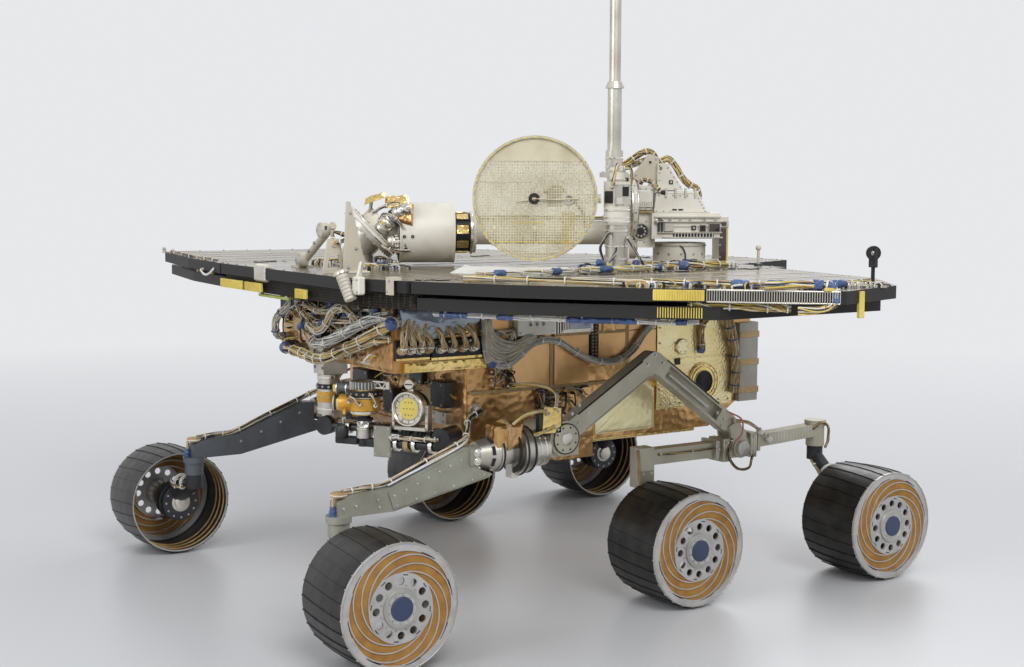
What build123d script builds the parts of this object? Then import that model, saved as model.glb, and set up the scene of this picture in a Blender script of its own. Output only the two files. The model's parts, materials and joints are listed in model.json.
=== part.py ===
from build123d import *
import math
import os

# A six-wheeled planetary rover on a rocker-bogie suspension, in millimetres.
# +X is forward, +Y is port, +Z is up. The origin is on the ground, at the
# middle of the rover's length and width.

# Wheels: a crowned barrel, eight spiral blades and a hub disc, all one piece.
wheel_r = 133.5            # to the tips of the lugs, at the middle of the tread
wheel_rim_r = 128.0        # of the barrel at its two edges
wheel_width = 171.0
barrel_wall = 3.0
rim_ring_w = 16.0          # of the flat ring round the outer face
face_t = 5.0               # of the rim ring and hub disc
hub_r = 70.0
hub_boss_r = 38.0
hub_boss_h = 4.0
hub_hole_r = 8.0
hub_hole_circle_r = 54.0
hub_hole_count = 12
blade_count = 8
blade_sweep = 135.0        # degrees that one blade turns from hub to rim
blade_t = 2.4
blade_depth = 34.0
foam_recess = 2.5
foam_depth = 26.0
hub_tube_r = 34.0
hub_inner_y = 20.0         # where the hub tube starts, outboard of the wheel's middle
brace_l = 8.0              # of the hoop round the blades' inner edge
lug_count = 27
lug_t = 2.2
lug_h = 1.8                # that a lug stands out of the barrel
lug_slant = 4.6            # degrees that a lug turns from the axle's direction
notch_w = 3.0              # of the slots in the rim ring, where the foam runs out
notch_sweep = 18.0         # degrees that a slot turns
notch_lead = 4.0           # degrees from a slot's end to its blade's end

# Where the wheels stand.
front_axle_x = 670.0
mid_axle_x = -118.0
rear_axle_x = -670.0
corner_track = 1157.0      # between the middles of the wheels
mid_track = 1050.0

# Running gear. Rockers, arms and bogies lie in one plane on each side.
gear_y = 400.0
steer_post_r = 23.0
steer_post_h = 42.0
arm_w = 40.0
arm_tip_z = 264.0          # the arm's underside over the front wheel
drive_r = 45.0
drive_l = 62.0
shaft_r = 11.0
shaft_fit = 0.3
shaft_depth = 24.0         # of the shaft's hole in the hub
hub_clear = 5.0            # between the drive's nose and the hub tube
knuckle_gap = 1.0
pivot_x = 121.0            # the rocker's pivot on the body
pivot_z = 381.0
pivot_r = 29.0
pivot_block = 45.0         # from the pivot's middle to the block's end
motor_z = 362.0            # the deploy motor's axis
arm_end_x = 348.0          # where the front arm meets its deploy motor
bogie_x = -398.0           # the bogie's pivot on the rocker
bogie_z = 312.0
beam_h = 36.0
beam_w = 34.0
arch_apex_x = -140.0
arch_apex_z = 537.0
arch_h = 46.0
arch_w = 36.0
channel_wall = 7.0         # of the open channel in the rocker's rear leg
channel_ends = (0.16, 0.86)        # as shares of the leg, from the apex
cover_t = 3.0              # of the plate on a front arm's outer face
clevis_t = 9.0
clevis_h = 35.0
pivot_disc_r = 40.0
pivot_disc_t = 12.0
pivot_cap_r = 34.0
pivot_cap_t = 5.0
bogie_cap_r = 20.0
bogie_cap_t = 6.0
cheek_w = 6.0              # of the plates either side of the rocker's tail
heater_box = (56.0, 42.0, 44.0)    # the foil-wrapped box on a deploy motor

# Body box under the deck.
body_half_w = 285.0
body_front_x = 478.0
body_rear_x = -545.0
body_floor_z = 345.0
body_top_z = 684.0
body_nose_z = 535.0        # underside of the nose, over the stowed arm
body_recess_x = 292.0      # the wall behind the stowed arm
body_chin_z = 380.0
body_chin_back = 35.0
body_tail_z = 430.0
body_tail_back = 130.0
belly_x = -30.0            # middle of the four bolt holes in the floor
belly_bolt_x = 400.0
belly_bolt_y = 300.0
belly_bolt_r = 4.2
belly_bolt_depth = 22.0
belly_step_x = (-60.0, 45.0)       # the foil-wrapped step below each side wall
belly_step_w = 78.0
belly_step_z = 302.0

# Pieces on the port wall of the body.
gold_x = (-482.0, -243.0)
gold_z = (400.0, 640.0)
gold_t = 8.0
vent_at = (-387.0, 460.0)          # x and z of the ringed vent
vent_r = 48.0
vent_hole_r = 28.0
port_disc_at = (-318.0, 551.0)
port_disc_r = 20.0
wall_disc_t = 5.0
tile_t = 5.0
tile_gap = 3.0
blanket_x = -503.0         # its front end on the port wall
blanket_y = 165.0          # its end on the rear wall
blanket_z = (402.0, 600.0)
blanket_t = 25.0
blanket_side_t = 13.0
service_x = (69.0, 171.0)
service_z = (603.0, 658.0)
service_t = 26.0
relay_x = (-42.0, 47.0)
relay_t = 20.0
connector_z = 584.0
connector_r = 9.0
row_thin_t = 8.0           # of the connector row's front half
connector_l = 18.0
plug_wire_r = 4.0
clip_r = 4.0
strip_x = (235.0, 457.0)
strip_h = 24.0
strip_t = 12.0
bag_t = 22.0               # of the crumpled bag round the cable's front end
harness_y = 303.0
harness_z = 671.0
wire_r = 6.0
wave_r = 5.0               # of the cable that waves along the port wall

# Deck: two honeycomb slabs with a gap between them, in a fixed middle piece,
# two wings and a tail.
panel_t = 26.0
panel_gap = 9.0
hinge_y = 425.0
hinge_gap = 6.0
half_span = 1100.0
deck_front_x = 582.0
deck_rear_x = -540.0
lower_inset = 14.0
lower_port_tip = 930.0     # where the port wing's lower slab ends
deck_top_z = body_top_z + 2 * panel_t + panel_gap
tail_half_w = 250.0
tail_tip_half_w = 150.0
tail_l = 250.0
leaf_l = 30.0              # of one hinge leaf along its axis
leaf_w = 20.0
leaf_t = 2.0
knuckle_r = 2.5
leaf_gap = 1.0
hinge_xs = (-430.0, -215.0, 0.0, 215.0, 430.0)
tail_hinge_ys = (-180.0, -40.0, 100.0)
paddle_at = (-300.0, 935.0)
paddle_z = 806.0
paddle_r = 15.0
canister_top = (591.4, 263.5, 753.0)       # on the deck's front corner
canister_foot = (582.2, 290.0, 700.0)
canister_r = 13.0
ball_post_at = (-519.0, 343.0)
ball_z = 790.0
ball_r = 7.0
cloth_t = 5.0              # of the white cloth under the dish
cloth_outline = ((300.0, 225.0), (212.0, 368.0), (60.0, 372.0), (-20.0, 250.0), (40.0, 70.0), (190.0, 80.0))

# Mast, stowed flat along the deck and turned up about a 45 degree flange.
mast_x = 292.0
mast_y = -170.0
mast_z = 825.0
mast_aim = 153.5           # degrees from +X to the way the stowed mast points
mast_l = 636.0             # to the head's flange
mast_tube_r = 30.0
flange_r = 78.0
flange_t = 12.0
drum_start = 70.0          # from the middle of the flange to the white drum
drum_r = 74.0
drum_l = 134.0
collar_l = 54.0            # the squarish collar behind the drum
collar_r = 46.0
head_flange_r = 50.0
head_neck_l = 54.0
head_l = 172.0
head_w = 150.0
head_low = -13.0           # the camera box, from the mast's axis
head_high = 50.0
hood_w = 116.0
yoke_t = 26.0              # the tall plate on the head's flange
yoke_half_w = 40.0
yoke_low = -66.0
yoke_high = 146.0
cheek_t = 8.0              # the plate with the half-round opening
cheek_hole_r = 19.0
rest_r = 66.0              # the round cradle under the head
rest_top_z = 800.0
rest_gap = 8.0             # from the head's end to the stop behind it
rest_stop_l = 24.0
rest_stop_half_w = 34.0
rest_stop_z = 865.0

# Dish antenna on its two-axis stand.
dish_x = 73.0
dish_y = 230.0
dish_z = 912.0
dish_r = 145.0
dish_t = 9.0
dish_lip_t = 14.0          # of the rim round the dish's face
dish_lip_w = 6.0
dish_aim = 56.0            # degrees from +X to the way the dish faces
dish_reach = 190.0         # from the stand's upright axis to the dish's middle
stand_r = 26.0
yoke_r = 30.0
gimbal_box_w = 44.0
gimbal_motor_r = 18.0

# Rod antenna.
rod_x = -182.0
rod_y = 194.0
rod_r = 17.0
rod_upper_r = 14.0         # above the collar
rod_top_z = 1480.0
rod_foot_r = 34.0
rod_foot_h = 30.0
rod_block_z = 962.0        # the square block that clamps the rod's lower sleeve
rod_block_w = 50.0
rod_block_h = 12.0
rod_sleeve_r = 21.0
rod_sleeve_z = 1027.0
rod_collar_z = 1176.0
rod_collar_h = 16.0

# Instrument arm, folded into the recess under the nose.
shoulder_x = 487.7
shoulder_y = -11.0
shoulder_r = 26.0
shoulder_top_z = 504.0
arm_z = 385.0              # height of the elevation and elbow axes
arm_aim = 122.3            # degrees from +X to the way the upper link points
upper_link_l = 330.0       # from the shoulder's axis to the elbow's
forearm_l = 200.0          # from the elbow's axis to the turret's
link_r = 11.5
joint_r = 22.0             # of the round bosses at the elevation and elbow axes
link_near = 6.0            # the upper link's bosses, ahead of the shoulder's axis
link_far = 24.0
forearm_ahead = 60.0
forearm_z = 365.0
wrist_back = 154.0         # from the elbow's axis to the middle of the wrist block
turret_r = 30.0
turret_low_z = 427.0
turret_high_z = 500.0
sensor_back = 83.0         # from the elbow's axis to the round sensor
sensor_z = 446.0
sensor_r = 36.0
sensor_t = 31.0
arm_gap = 1.0              # between pieces that turn on each other

os.makedirs("parts", exist_ok=True)


def save(shape, name):
    """Write one node's solids to its own file."""
    export_step(shape, f"parts/{name}.step")


def box(x0, x1, y0, y1, z0, z1):
    """A block between two opposite corners."""
    at = Location(((x0 + x1) / 2, (y0 + y1) / 2, (z0 + z1) / 2))
    return at * Box(abs(x1 - x0), abs(y1 - y0), abs(z1 - z0))


def rod(start, end, radius, end_radius=None):
    """A round bar, or a cone, from one point to another."""
    start, end = Vector(*start), Vector(*end)
    way = end - start
    plane = Plane(origin=(start + end) * 0.5, z_dir=way.normalized())
    if end_radius is None:
        return plane * Cylinder(radius, way.length)
    return plane * Cone(radius, end_radius, way.length)


def side_plate(points, y, width):
    """A plate with a side outline of (x, z) points, centred on y."""
    face = make_face(Polyline(*[(x, 0, z) for x, z in points], close=True))
    return Pos(0, y - width / 2, 0) * extrude(face, amount=width, dir=(0, 1, 0))


def bar(start, end, height, y, width):
    """A box beam between two (x, z) points."""
    (x0, z0), (x1, z1) = start, end
    length = math.hypot(x1 - x0, z1 - z0)
    tilt = math.degrees(math.atan2(z1 - z0, x1 - x0))
    at = Location(((x0 + x1) / 2, y, (z0 + z1) / 2), (0, -tilt, 0))
    return at * Box(length, width, height)


def mirrored(shape, side):
    """The port shape as drawn, or its starboard twin."""
    return shape if side > 0 else mirror(shape, about=Plane.XZ)


# Wheels, drawn about the axle with the outer face towards +Y.
def on_circle(radius, degrees):
    """A point on the wheel's face."""
    turn = math.radians(degrees)
    return (radius * math.cos(turn), 0, radius * math.sin(turn))


def spiral(radius, growth, start, sweep, width, depth):
    """A thin curved wall behind the wheel's face, further out as it turns."""
    edges = []
    for shift in (-width / 2, width / 2):
        points = [on_circle(radius + growth * share + shift, start + sweep * share) for share in (0, 0.5, 1)]
        edges.append(ThreePointArc(*points))
    low, high = edges
    face = make_face([low, high, Line(low @ 0, high @ 0), Line(low @ 1, high @ 1)])
    return extrude(face, amount=depth, dir=(0, -1, 0))


def blades(depth):
    """All the spiral blades of a wheel, from the hub out into the rim ring."""
    inner = hub_r - 1
    outer = wheel_rim_r - rim_ring_w + 1
    step = 360 / blade_count
    return [spiral(inner, outer - inner, i * step, blade_sweep, blade_t, depth) for i in range(blade_count)]


def notches(depth):
    """The slots in the rim ring, each just outside the end of a blade."""
    radius = wheel_rim_r - rim_ring_w + notch_w / 6
    start = blade_sweep - notch_sweep - notch_lead
    step = 360 / blade_count
    return [spiral(radius, notch_w / 2, start + i * step, notch_sweep, notch_w, depth)
            for i in range(blade_count)]


def face_cylinder(radius, y0, y1):
    """A disc or tube blank about the axle, between two depths."""
    return Pos(0, (y0 + y1) / 2, 0) * Rot(90, 0, 0) * Cylinder(radius, abs(y1 - y0))


def crown_line(radius):
    """Points of (radius, y) along the barrel, crowned in the middle."""
    half = wheel_width / 2
    crown = wheel_r - lug_h - wheel_rim_r
    table = [(-1, 0.0), (-0.5, 0.8), (0, 1.0), (0.5, 0.8), (1, 0.0)]    # share of half, share of crown
    return [(radius + crown * rise, y * half, 0) for y, rise in table]


def wall_section(inner_r, outer_r):
    """The section of a crowned wall between two radii, given at the barrel's edges."""
    return make_face(Polyline(*(crown_line(outer_r) + crown_line(inner_r)[::-1]), close=True))


def make_lugs():
    """The thin slanted lugs round the barrel, rooted in its wall."""
    section = wall_section(wheel_rim_r - barrel_wall / 2, wheel_rim_r + lug_h)
    lug = Rot(-lug_slant, 0, 0) * extrude(section, amount=lug_t / 2, both=True)
    return [Rot(0, i * 360 / lug_count, 0) * lug for i in range(lug_count)]


def make_wheel():
    """The wheel without its foam, centred on its own middle."""
    face_y = wheel_width / 2
    barrel = revolve(wall_section(wheel_rim_r - barrel_wall, wheel_rim_r), Axis.Y)
    barrel += make_lugs()
    ring = face_cylinder(wheel_rim_r - 1, face_y - face_t, face_y)
    ring -= face_cylinder(wheel_rim_r - rim_ring_w, face_y - face_t - 1, face_y + 1)
    ring -= [Pos(0, face_y + 1, 0) * notch for notch in notches(face_t + 2)]
    brace_y = face_y - blade_depth
    brace = face_cylinder(wheel_rim_r - 1, brace_y, brace_y + brace_l)
    brace -= face_cylinder(wheel_rim_r - rim_ring_w, brace_y - 1, brace_y + brace_l + 1)
    hub = face_cylinder(hub_r, face_y - face_t, face_y)
    hub += face_cylinder(hub_boss_r, face_y - face_t, face_y + hub_boss_h)
    hub += face_cylinder(hub_tube_r, hub_inner_y, face_y)
    hub -= face_cylinder(shaft_r + shaft_fit, hub_inner_y - 1, hub_inner_y + shaft_depth)
    for i in range(hub_hole_count):
        x, _, z = on_circle(hub_hole_circle_r, i * 360 / hub_hole_count)
        hub -= Pos(x, 0, z) * face_cylinder(hub_hole_r, face_y - face_t - 1, face_y + 1)
    wheel = barrel + ring + brace + hub
    return wheel + [Pos(0, face_y, 0) * piece for piece in blades(blade_depth)]


def make_foam():
    """The foam between the blades, as separate spiral blocks."""
    face_y = wheel_width / 2 - foam_recess
    ring = face_cylinder(wheel_rim_r - rim_ring_w, face_y - foam_depth, face_y)
    ring -= face_cylinder(hub_r, face_y - foam_depth - 1, face_y + 1)
    cut = [Pos(0, wheel_width / 2 + 1, 0) * piece for piece in blades(blade_depth + 2)]
    return ring - cut


def save_wheels():
    """Six wheels and their foam, in three rows of two."""
    wheel, foam = make_wheel(), make_foam()
    rows = [("front", front_axle_x, corner_track), ("middle", mid_axle_x, mid_track),
            ("rear", rear_axle_x, corner_track)]
    for row, x, track in rows:
        for side, word in ((1, "port"), (-1, "starboard")):
            at = Pos(x, side * track / 2, wheel_r)
            save(at * mirrored(wheel, side), f"wheel_{row}_{word}")
            save(at * mirrored(foam, side), f"wheel_foam_{row}_{word}")


# Drives and struts.
def make_drive(x, track, top):
    """A wheel's motor housing and the strut that holds it, on the port side.

    The strut starts at the point top, (y, z), and the shaft ends in the hub.
    """
    wheel_y = track / 2
    inner_y = wheel_y - wheel_width / 2 + 4
    outer_y = wheel_y + hub_inner_y - hub_clear
    top_y, top_z = top
    housing = rod((x, inner_y, wheel_r), (x, inner_y + drive_l, wheel_r), drive_r)
    housing += rod((x, inner_y + drive_l, wheel_r), (x, outer_y, wheel_r), drive_r - 12)
    housing += rod((x, outer_y, wheel_r), (x, outer_y + hub_clear + shaft_depth - 4, wheel_r), shaft_r)
    housing += rod((x, top_y, top_z), (x, inner_y + drive_l / 2, wheel_r + 12), 17, 26)
    return housing


def save_knuckles():
    """The four steered struts, each under its steering post."""
    rows = [("front", front_axle_x, arm_tip_z - steer_post_h),
            ("rear", rear_axle_x, bogie_z - steer_post_h / 2)]
    for row, x, post_z in rows:
        top_z = post_z - knuckle_gap
        strut = make_drive(x, corner_track, (gear_y, top_z - 22))
        strut += rod((x, gear_y, top_z - 34), (x, gear_y, top_z), steer_post_r - 3)
        for side, word in ((1, "port"), (-1, "starboard")):
            save(mirrored(strut, side), f"steering_strut_{row}_{word}")


def steer_post(x, low_z, high_z):
    """The fixed upright housing of a steering motor."""
    post = rod((x, gear_y, low_z), (x, gear_y, high_z), steer_post_r)
    return post + rod((x, gear_y, high_z - 14), (x, gear_y, high_z), steer_post_r + 4)


def make_front_arm():
    """The tapered box arm from the deploy motor down to the front wheel."""
    tip = front_axle_x
    low = arm_tip_z
    outline = [
        (tip + 10, low), (tip + 10, low + 30), (tip - 10, low + 42), (tip - 112, low + 50),
        (arm_end_x + 30, motor_z + 21), (arm_end_x, motor_z + 19), (arm_end_x, motor_z - 26),
        (arm_end_x - 40, motor_z - 43), (arm_end_x - 30, motor_z - 50), (tip - 118, low),
    ]
    arm = side_plate(outline, gear_y, arm_w)
    arm += steer_post(tip, low - steer_post_h, low + 2)
    cover = [
        (tip - 104, low + 42), (tip - 116, low + 5), (arm_end_x - 30, motor_z - 46),
        (arm_end_x - 3, motor_z - 28), (arm_end_x - 3, motor_z + 14), (arm_end_x + 28, motor_z + 16),
    ]
    face_y = gear_y + arm_w / 2
    arm += side_plate(cover, face_y + cover_t / 2, cover_t)
    arm += box(arm_end_x - 5, arm_end_x + 22, face_y, face_y + clevis_t,
               motor_z - clevis_h / 2, motor_z + clevis_h / 2)
    return arm


def make_deploy_motor():
    """The stepped round motor between the front arm and the rocker."""
    end_x = pivot_x + pivot_block
    length = arm_end_x - end_x
    motor = rod((end_x, gear_y, motor_z), (arm_end_x, gear_y, motor_z), 20)
    # Start and end as shares of the length, and the radius at each.
    stages = [(0.0, 0.30, 40, 40), (0.23, 0.42, 50, 56), (0.40, 0.68, 30, 30), (0.66, 0.71, 42, 42),
              (0.70, 0.97, 38, 27)]
    for low, high, low_r, high_r in stages:
        motor += rod((end_x + low * length, gear_y, motor_z), (end_x + high * length, gear_y, motor_z),
                     low_r, high_r if high_r != low_r else None)
    middle = end_x + 0.58 * length
    motor += Location((middle, gear_y + 6, motor_z + 34), (-18, 8, 0)) * Box(*heater_box)
    motor += box(middle - 34, middle - 18, gear_y - 12, gear_y + 12, motor_z - 60, motor_z)
    return motor


def make_rocker():
    """The arched rocker with its pivot, its axle to the body and its tail."""
    apex = (arch_apex_x, arch_apex_z)
    foot = (bogie_x + 30, bogie_z + 62)
    rocker = bar((pivot_x, pivot_z), apex, arch_h, gear_y, arch_w)
    rocker += bar(apex, foot, arch_h, gear_y, arch_w)
    away = [(foot[0] * share + apex[0] * (1 - share), foot[1] * share + apex[1] * (1 - share))
            for share in channel_ends]
    rocker -= bar(*away, arch_h - 2 * channel_wall, gear_y + arch_w / 2, arch_w)
    rocker += rod((arch_apex_x, gear_y - arch_w / 2, arch_apex_z),
                  (arch_apex_x, gear_y + arch_w / 2, arch_apex_z), arch_h / 2)
    rocker += box(pivot_x - pivot_block, pivot_x + pivot_block, gear_y - 24, gear_y + 16,
                  pivot_z - 42, pivot_z + 32)
    disc_y = gear_y + 16
    cap_y = disc_y + pivot_disc_t
    rocker += rod((pivot_x, body_half_w, pivot_z), (pivot_x, disc_y + 1, pivot_z), pivot_r)
    rocker += rod((pivot_x, disc_y, pivot_z), (pivot_x, cap_y, pivot_z), pivot_disc_r)
    rocker += rod((pivot_x, cap_y, pivot_z), (pivot_x, cap_y + pivot_cap_t, pivot_z), pivot_cap_r)
    rocker += bar((bogie_x + 40, bogie_z + 74), (bogie_x + 4, bogie_z + 40), 40, gear_y, arch_w)
    return rocker


def make_bogie():
    """The trailing bogie: two beams, the fixed middle strut and a steering post."""
    y = gear_y
    hub = rod((bogie_x, y - 34, bogie_z), (bogie_x, y + 30, bogie_z), 24)
    hub += box(bogie_x - 34, bogie_x + 34, y - 20, y + 20, bogie_z - 24, bogie_z + 20)
    hub += rod((bogie_x, y + 30, bogie_z), (bogie_x, y + 30 + bogie_cap_t, bogie_z), bogie_cap_r)
    # Clamp blocks round the pivot: x and z from it, length, height and depth.
    clamps = [(46, 2, 20, 46, 52), (74, 0, 10, 42, 44), (-42, 8, 20, 52, 54), (-64, 8, 8, 44, 44),
              (46, -18, 24, 22, 60)]
    for dx, dz, length, height, depth in clamps:
        hub += box(bogie_x + dx - length / 2, bogie_x + dx + length / 2, y - depth / 2, y + depth / 2,
                   bogie_z + dz - height / 2, bogie_z + dz + height / 2)
    cheek = [(bogie_x - 24, bogie_z), (bogie_x - 18, bogie_z + 40), (bogie_x + 10, bogie_z + 66),
             (bogie_x + 34, bogie_z + 54), (bogie_x + 24, bogie_z)]
    for shift in (-1, 1):
        hub += side_plate(cheek, y + shift * (arch_w / 2 + arm_gap + cheek_w / 2), cheek_w)
    hub += bar((bogie_x, bogie_z), (mid_axle_x, bogie_z), beam_h, y, beam_w)
    hub += bar((bogie_x, bogie_z + 6), (rear_axle_x, bogie_z + 20), beam_h - 6, y, beam_w)
    hub += box(mid_axle_x - 22, mid_axle_x + 22, y - 18, y + 18, bogie_z - 70, bogie_z + 24)
    hub += make_drive(mid_axle_x, mid_track, (y, bogie_z - 66))
    hub += steer_post(rear_axle_x, bogie_z - steer_post_h / 2, bogie_z + 44)
    return hub


def save_running_gear():
    """Arms, deploy motors, rockers and bogies on both sides."""
    makers = [("front_arm", make_front_arm), ("deploy_motor", make_deploy_motor),
              ("rocker", make_rocker), ("bogie", make_bogie)]
    for name, make in makers:
        piece = make()
        for side, word in ((1, "port"), (-1, "starboard")):
            save(mirrored(piece, side), f"{name}_{word}")


# Body and deck.
def make_body():
    """The foil-wrapped equipment box."""
    outline = [
        (body_front_x, body_top_z), (body_front_x, body_nose_z), (body_recess_x, body_nose_z),
        (body_recess_x, body_chin_z), (body_recess_x - body_chin_back, body_floor_z),
        (body_rear_x + body_tail_back, body_floor_z),
        (body_rear_x, body_tail_z), (body_rear_x, body_top_z),
    ]
    body = side_plate(outline, 0, 2 * body_half_w)
    for side in (1, -1):
        body += box(*belly_step_x, side * (body_half_w - belly_step_w), side * (body_half_w - 2),
                    belly_step_z, body_floor_z + 1)
    for x in (-belly_bolt_x / 2, belly_bolt_x / 2):
        for y in (-belly_bolt_y / 2, belly_bolt_y / 2):
            body -= rod((belly_x + x, y, body_floor_z - 1),
                        (belly_x + x, y, body_floor_z + belly_bolt_depth), belly_bolt_r)
    return body


def wall_box(across, up, thickness, wall_y=body_half_w):
    """A block on the port wall, between two x and two z."""
    return box(*across, wall_y, wall_y + thickness, *up)


def wall_disc(at, radius, y0, y1):
    """A disc square to the port wall."""
    return rod((at[0], y0, at[1]), (at[0], y1, at[1]), radius)


def save_wall_panels():
    """Foil tiles, the gold panel with its vent, and the pale panel under the arch."""
    wall_y = body_half_w
    gold = wall_box(gold_x, gold_z, gold_t)
    gold += wall_disc(vent_at, vent_r, wall_y, wall_y + gold_t + wall_disc_t)
    gold -= wall_disc(vent_at, vent_hole_r, wall_y + 2, wall_y + gold_t + wall_disc_t + 1)
    gold += wall_disc(port_disc_at, port_disc_r, wall_y, wall_y + gold_t + wall_disc_t)
    save(gold, "gold_panel_port")
    pale = side_plate([(-62, 355), (-62, 430), (-130, 472), (-215, 472), (-238, 455), (-238, 357)],
                      wall_y + tile_t / 2, tile_t)
    save(pale, "pale_panel_port")
    # Tiles as front x, rear x, low z and high z.
    port = [(-66, -152, 600, 657), (-155, -241, 600, 640), (-66, -152, 520, 597), (-155, -241, 500, 597),
            (476, 400, 610, 660), (397, 180, 610, 660), (232, 180, 530, 607), (60, -40, 480, 596),
            (-485, -543, 603, 650), (176, 72, 480, 596)]
    starboard = [(476, 300, 540, 660), (297, 100, 540, 660), (97, -140, 520, 660), (-143, -340, 520, 660),
                 (-343, -540, 520, 660), (-143, -400, 360, 517), (88, -140, 360, 517)]
    for side, word, table in ((1, "port", port), (-1, "starboard", starboard)):
        tiles = [wall_box((rear, front - tile_gap), (low, high), tile_t) for front, rear, low, high in table]
        save(mirrored(Compound(tiles), side), f"foil_tiles_{word}")


def save_rear_blanket():
    """The soft grey blanket round the body's rear port corner."""
    thick, side_t = blanket_t, blanket_side_t
    rear_x, side_y = body_rear_x, body_half_w
    blanket = box(rear_x - thick, rear_x, blanket_y, side_y + side_t, *blanket_z)
    blanket += box(rear_x - thick, blanket_x, side_y, side_y + side_t, *blanket_z)
    outer = blanket.edges().filter_by(Axis.Z).sort_by_distance((rear_x - thick, side_y + side_t, 500))[0]
    save(fillet(outer, side_t * 0.8), "rear_blanket")


def save_wall_boxes():
    """The white service box, the finned relay box, the connectors and the nose strip."""
    service = wall_box(service_x, service_z, service_t)
    middle_x, middle_z = sum(service_x) / 2, sum(service_z) / 2
    for shift in (-18, 0, 18):
        at = (middle_x + shift, middle_z - 2)
        service -= wall_disc(at, 4, body_half_w + service_t - 8, body_half_w + service_t + 1)
    save(service, "service_box_port")
    relay = wall_box(relay_x, service_z, relay_t)
    for i in range(3):
        x = relay_x[1] + 3 + 7 * i
        relay += wall_box((x, x + 3), service_z, relay_t + 2)
    relay += wall_box((relay_x[1] - 1, relay_x[1] + 20), service_z, 3)
    save(relay, "relay_box_port")
    row = wall_box((265, 389), (560, 604), 16)
    row += wall_box((388, 476), (562, 604), row_thin_t)
    save(row, "connector_row_port")
    strip = wall_box(strip_x, (body_nose_z, body_nose_z + strip_h - tile_gap), strip_t)
    save(strip, "nose_strip_port")


def clip(point, **foot):
    """A stand-off from a cable to the surface under it, which one coordinate names."""
    ends = {"x": point.X, "y": point.Y, "z": point.Z} | foot
    return rod((ends["x"], ends["y"], ends["z"]), tuple(point), clip_r)


def cable(points, radius, clips=()):
    """A cable of straight runs joined by arcs as large as the runs allow.

    Each clip is the number of the run that it holds in the middle, and its foot.
    """
    corners = [Vector(*point) for point in points]
    radii = []
    for before, here, after in zip(corners, corners[1:], corners[2:]):
        turn = math.radians((here - before).get_angle(after - here))
        run = min((here - before).length, (after - here).length)
        radii.append(0.45 * run / math.tan(turn / 2))
    path = FilletPolyline(*corners, radius=radii) if radii else Line(*corners)
    section = Plane(origin=path @ 0, z_dir=path % 0) * Circle(radius)
    wire = sweep(section, path=path)
    for run, foot in clips:
        wire += clip((corners[run] + corners[run + 1]) * 0.5, **foot)
    return wire


def make_side_harness():
    """The cable under the deck's edge, the one that waves below it, and the plugs."""
    y, z = harness_y, harness_z
    tile, wall = {"y": body_half_w + tile_t}, {"y": body_half_w}
    level = [(470, z), (452, z + 1), (300, z + 4), (120, z - 3), (-80, z + 3), (-262, z), (-276, z)]
    wave = [(250, z + 2), (257, 622), (253, 585), (246, 556), (226, 538), (196, 535), (165, 556), (128, 582),
            (90, 590), (52, 583), (10, 560), (-35, 538), (-85, 527), (-130, 532), (-165, 555),
            (-195, 590), (-232, 622), (-258, 652), (-264, z)]
    harness = cable([(x, y, up) for x, up in level], wire_r, [(run, wall) for run in (0, 2, 3, 5)])
    harness += cable([(x, y, up) for x, up in wave], wave_r,
                     [(1, wall), (4, tile), (6, tile), (10, tile), (12, tile), (15, tile)])
    plug_y = body_half_w + row_thin_t
    for top_x, plug_x in ((460, 465), (444, 443), (430, 421), (412, 400)):
        harness += cable([(top_x, y, z - 12), (top_x + 4, y, 628), (plug_x, y, connector_z)], plug_wire_r)
        harness += wall_disc((plug_x, connector_z), connector_r, plug_y + 0.1, plug_y + connector_l)
    bag = [(474, z + 5), (472, 640), (440, 614), (392, 607), (330, 620), (272, 641), (262, z + 5)]
    return harness + side_plate(bag, y + 2, bag_t)


def make_nose_harness():
    """The thick bundles that hang over the body's front face."""
    front, under_deck = body_front_x, body_top_z - 0.1
    face = {"x": front}
    port = [(front - 2, harness_y, 650), (front + 24, harness_y, 641), (front + 36, 200, 600),
            (front + 42, 128, 574), (front + 50, 62, 550), (front + 52, 0, 540), (front + 50, -56, 549),
            (front + 42, -135, 549), (front + 30, -220, 549), (front + 0.1, -220, 549)]
    upper = [(front + 24, 250, under_deck), (front + 24, 250, 655), (front + 22, 120, 640),
             (front + 24, 40, 628), (front + 22, -40, 618), (front + 20, -110, 630),
             (front + 20, -150, 650), (front + 20, -150, under_deck)]
    starboard = [(front + 20, -196, under_deck), (front + 20, -196, 652), (front + 34, -245, 618),
                 (front + 36, -252, 588), (front + 28, -252, 572), (front + 0.1, -252, 572)]
    bundles = [cable(port, 11, [(2, face), (7, face)]), cable(upper, 8), cable(starboard, 9)]
    return Compound(bundles)


def make_tail_harness():
    """The curved cable on the gold panel and the thick bundle behind it."""
    y = harness_y
    gold = {"y": body_half_w + gold_t}
    curved = cable([(-377, y, 545), (-374, y, 590), (-392, y, 620), (-425, y, 634), (-452, y + 4, 630)], 8,
                   [(0, gold)])
    hanging = cable([(-448, y + 4, 652), (-456, y + 6, 610), (-471, y + 6, 560), (-484, y + 4, 489),
                     (-481, y + 2, 425)], 12, [(0, gold), (1, gold), (2, gold)])
    return curved + hanging


def make_arm_harness():
    """The cable that lies on the front arm and crosses to the body's wall."""
    over = wire_r + 0.2
    run = [(front_axle_x - 8, 306 + over), (front_axle_x - 111, 314 + over), (arm_end_x + 32, 383 + over)]
    points = [(x, gear_y, z) for x, z in run]
    points += [(arm_end_x + 4, gear_y - 16, 406), (arm_end_x - 30, gear_y - 64, 428),
               (arm_end_x - 76, 322, 440), (arm_end_x - 76, body_half_w + 0.1, 440)]
    return cable(points, wire_r)


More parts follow.
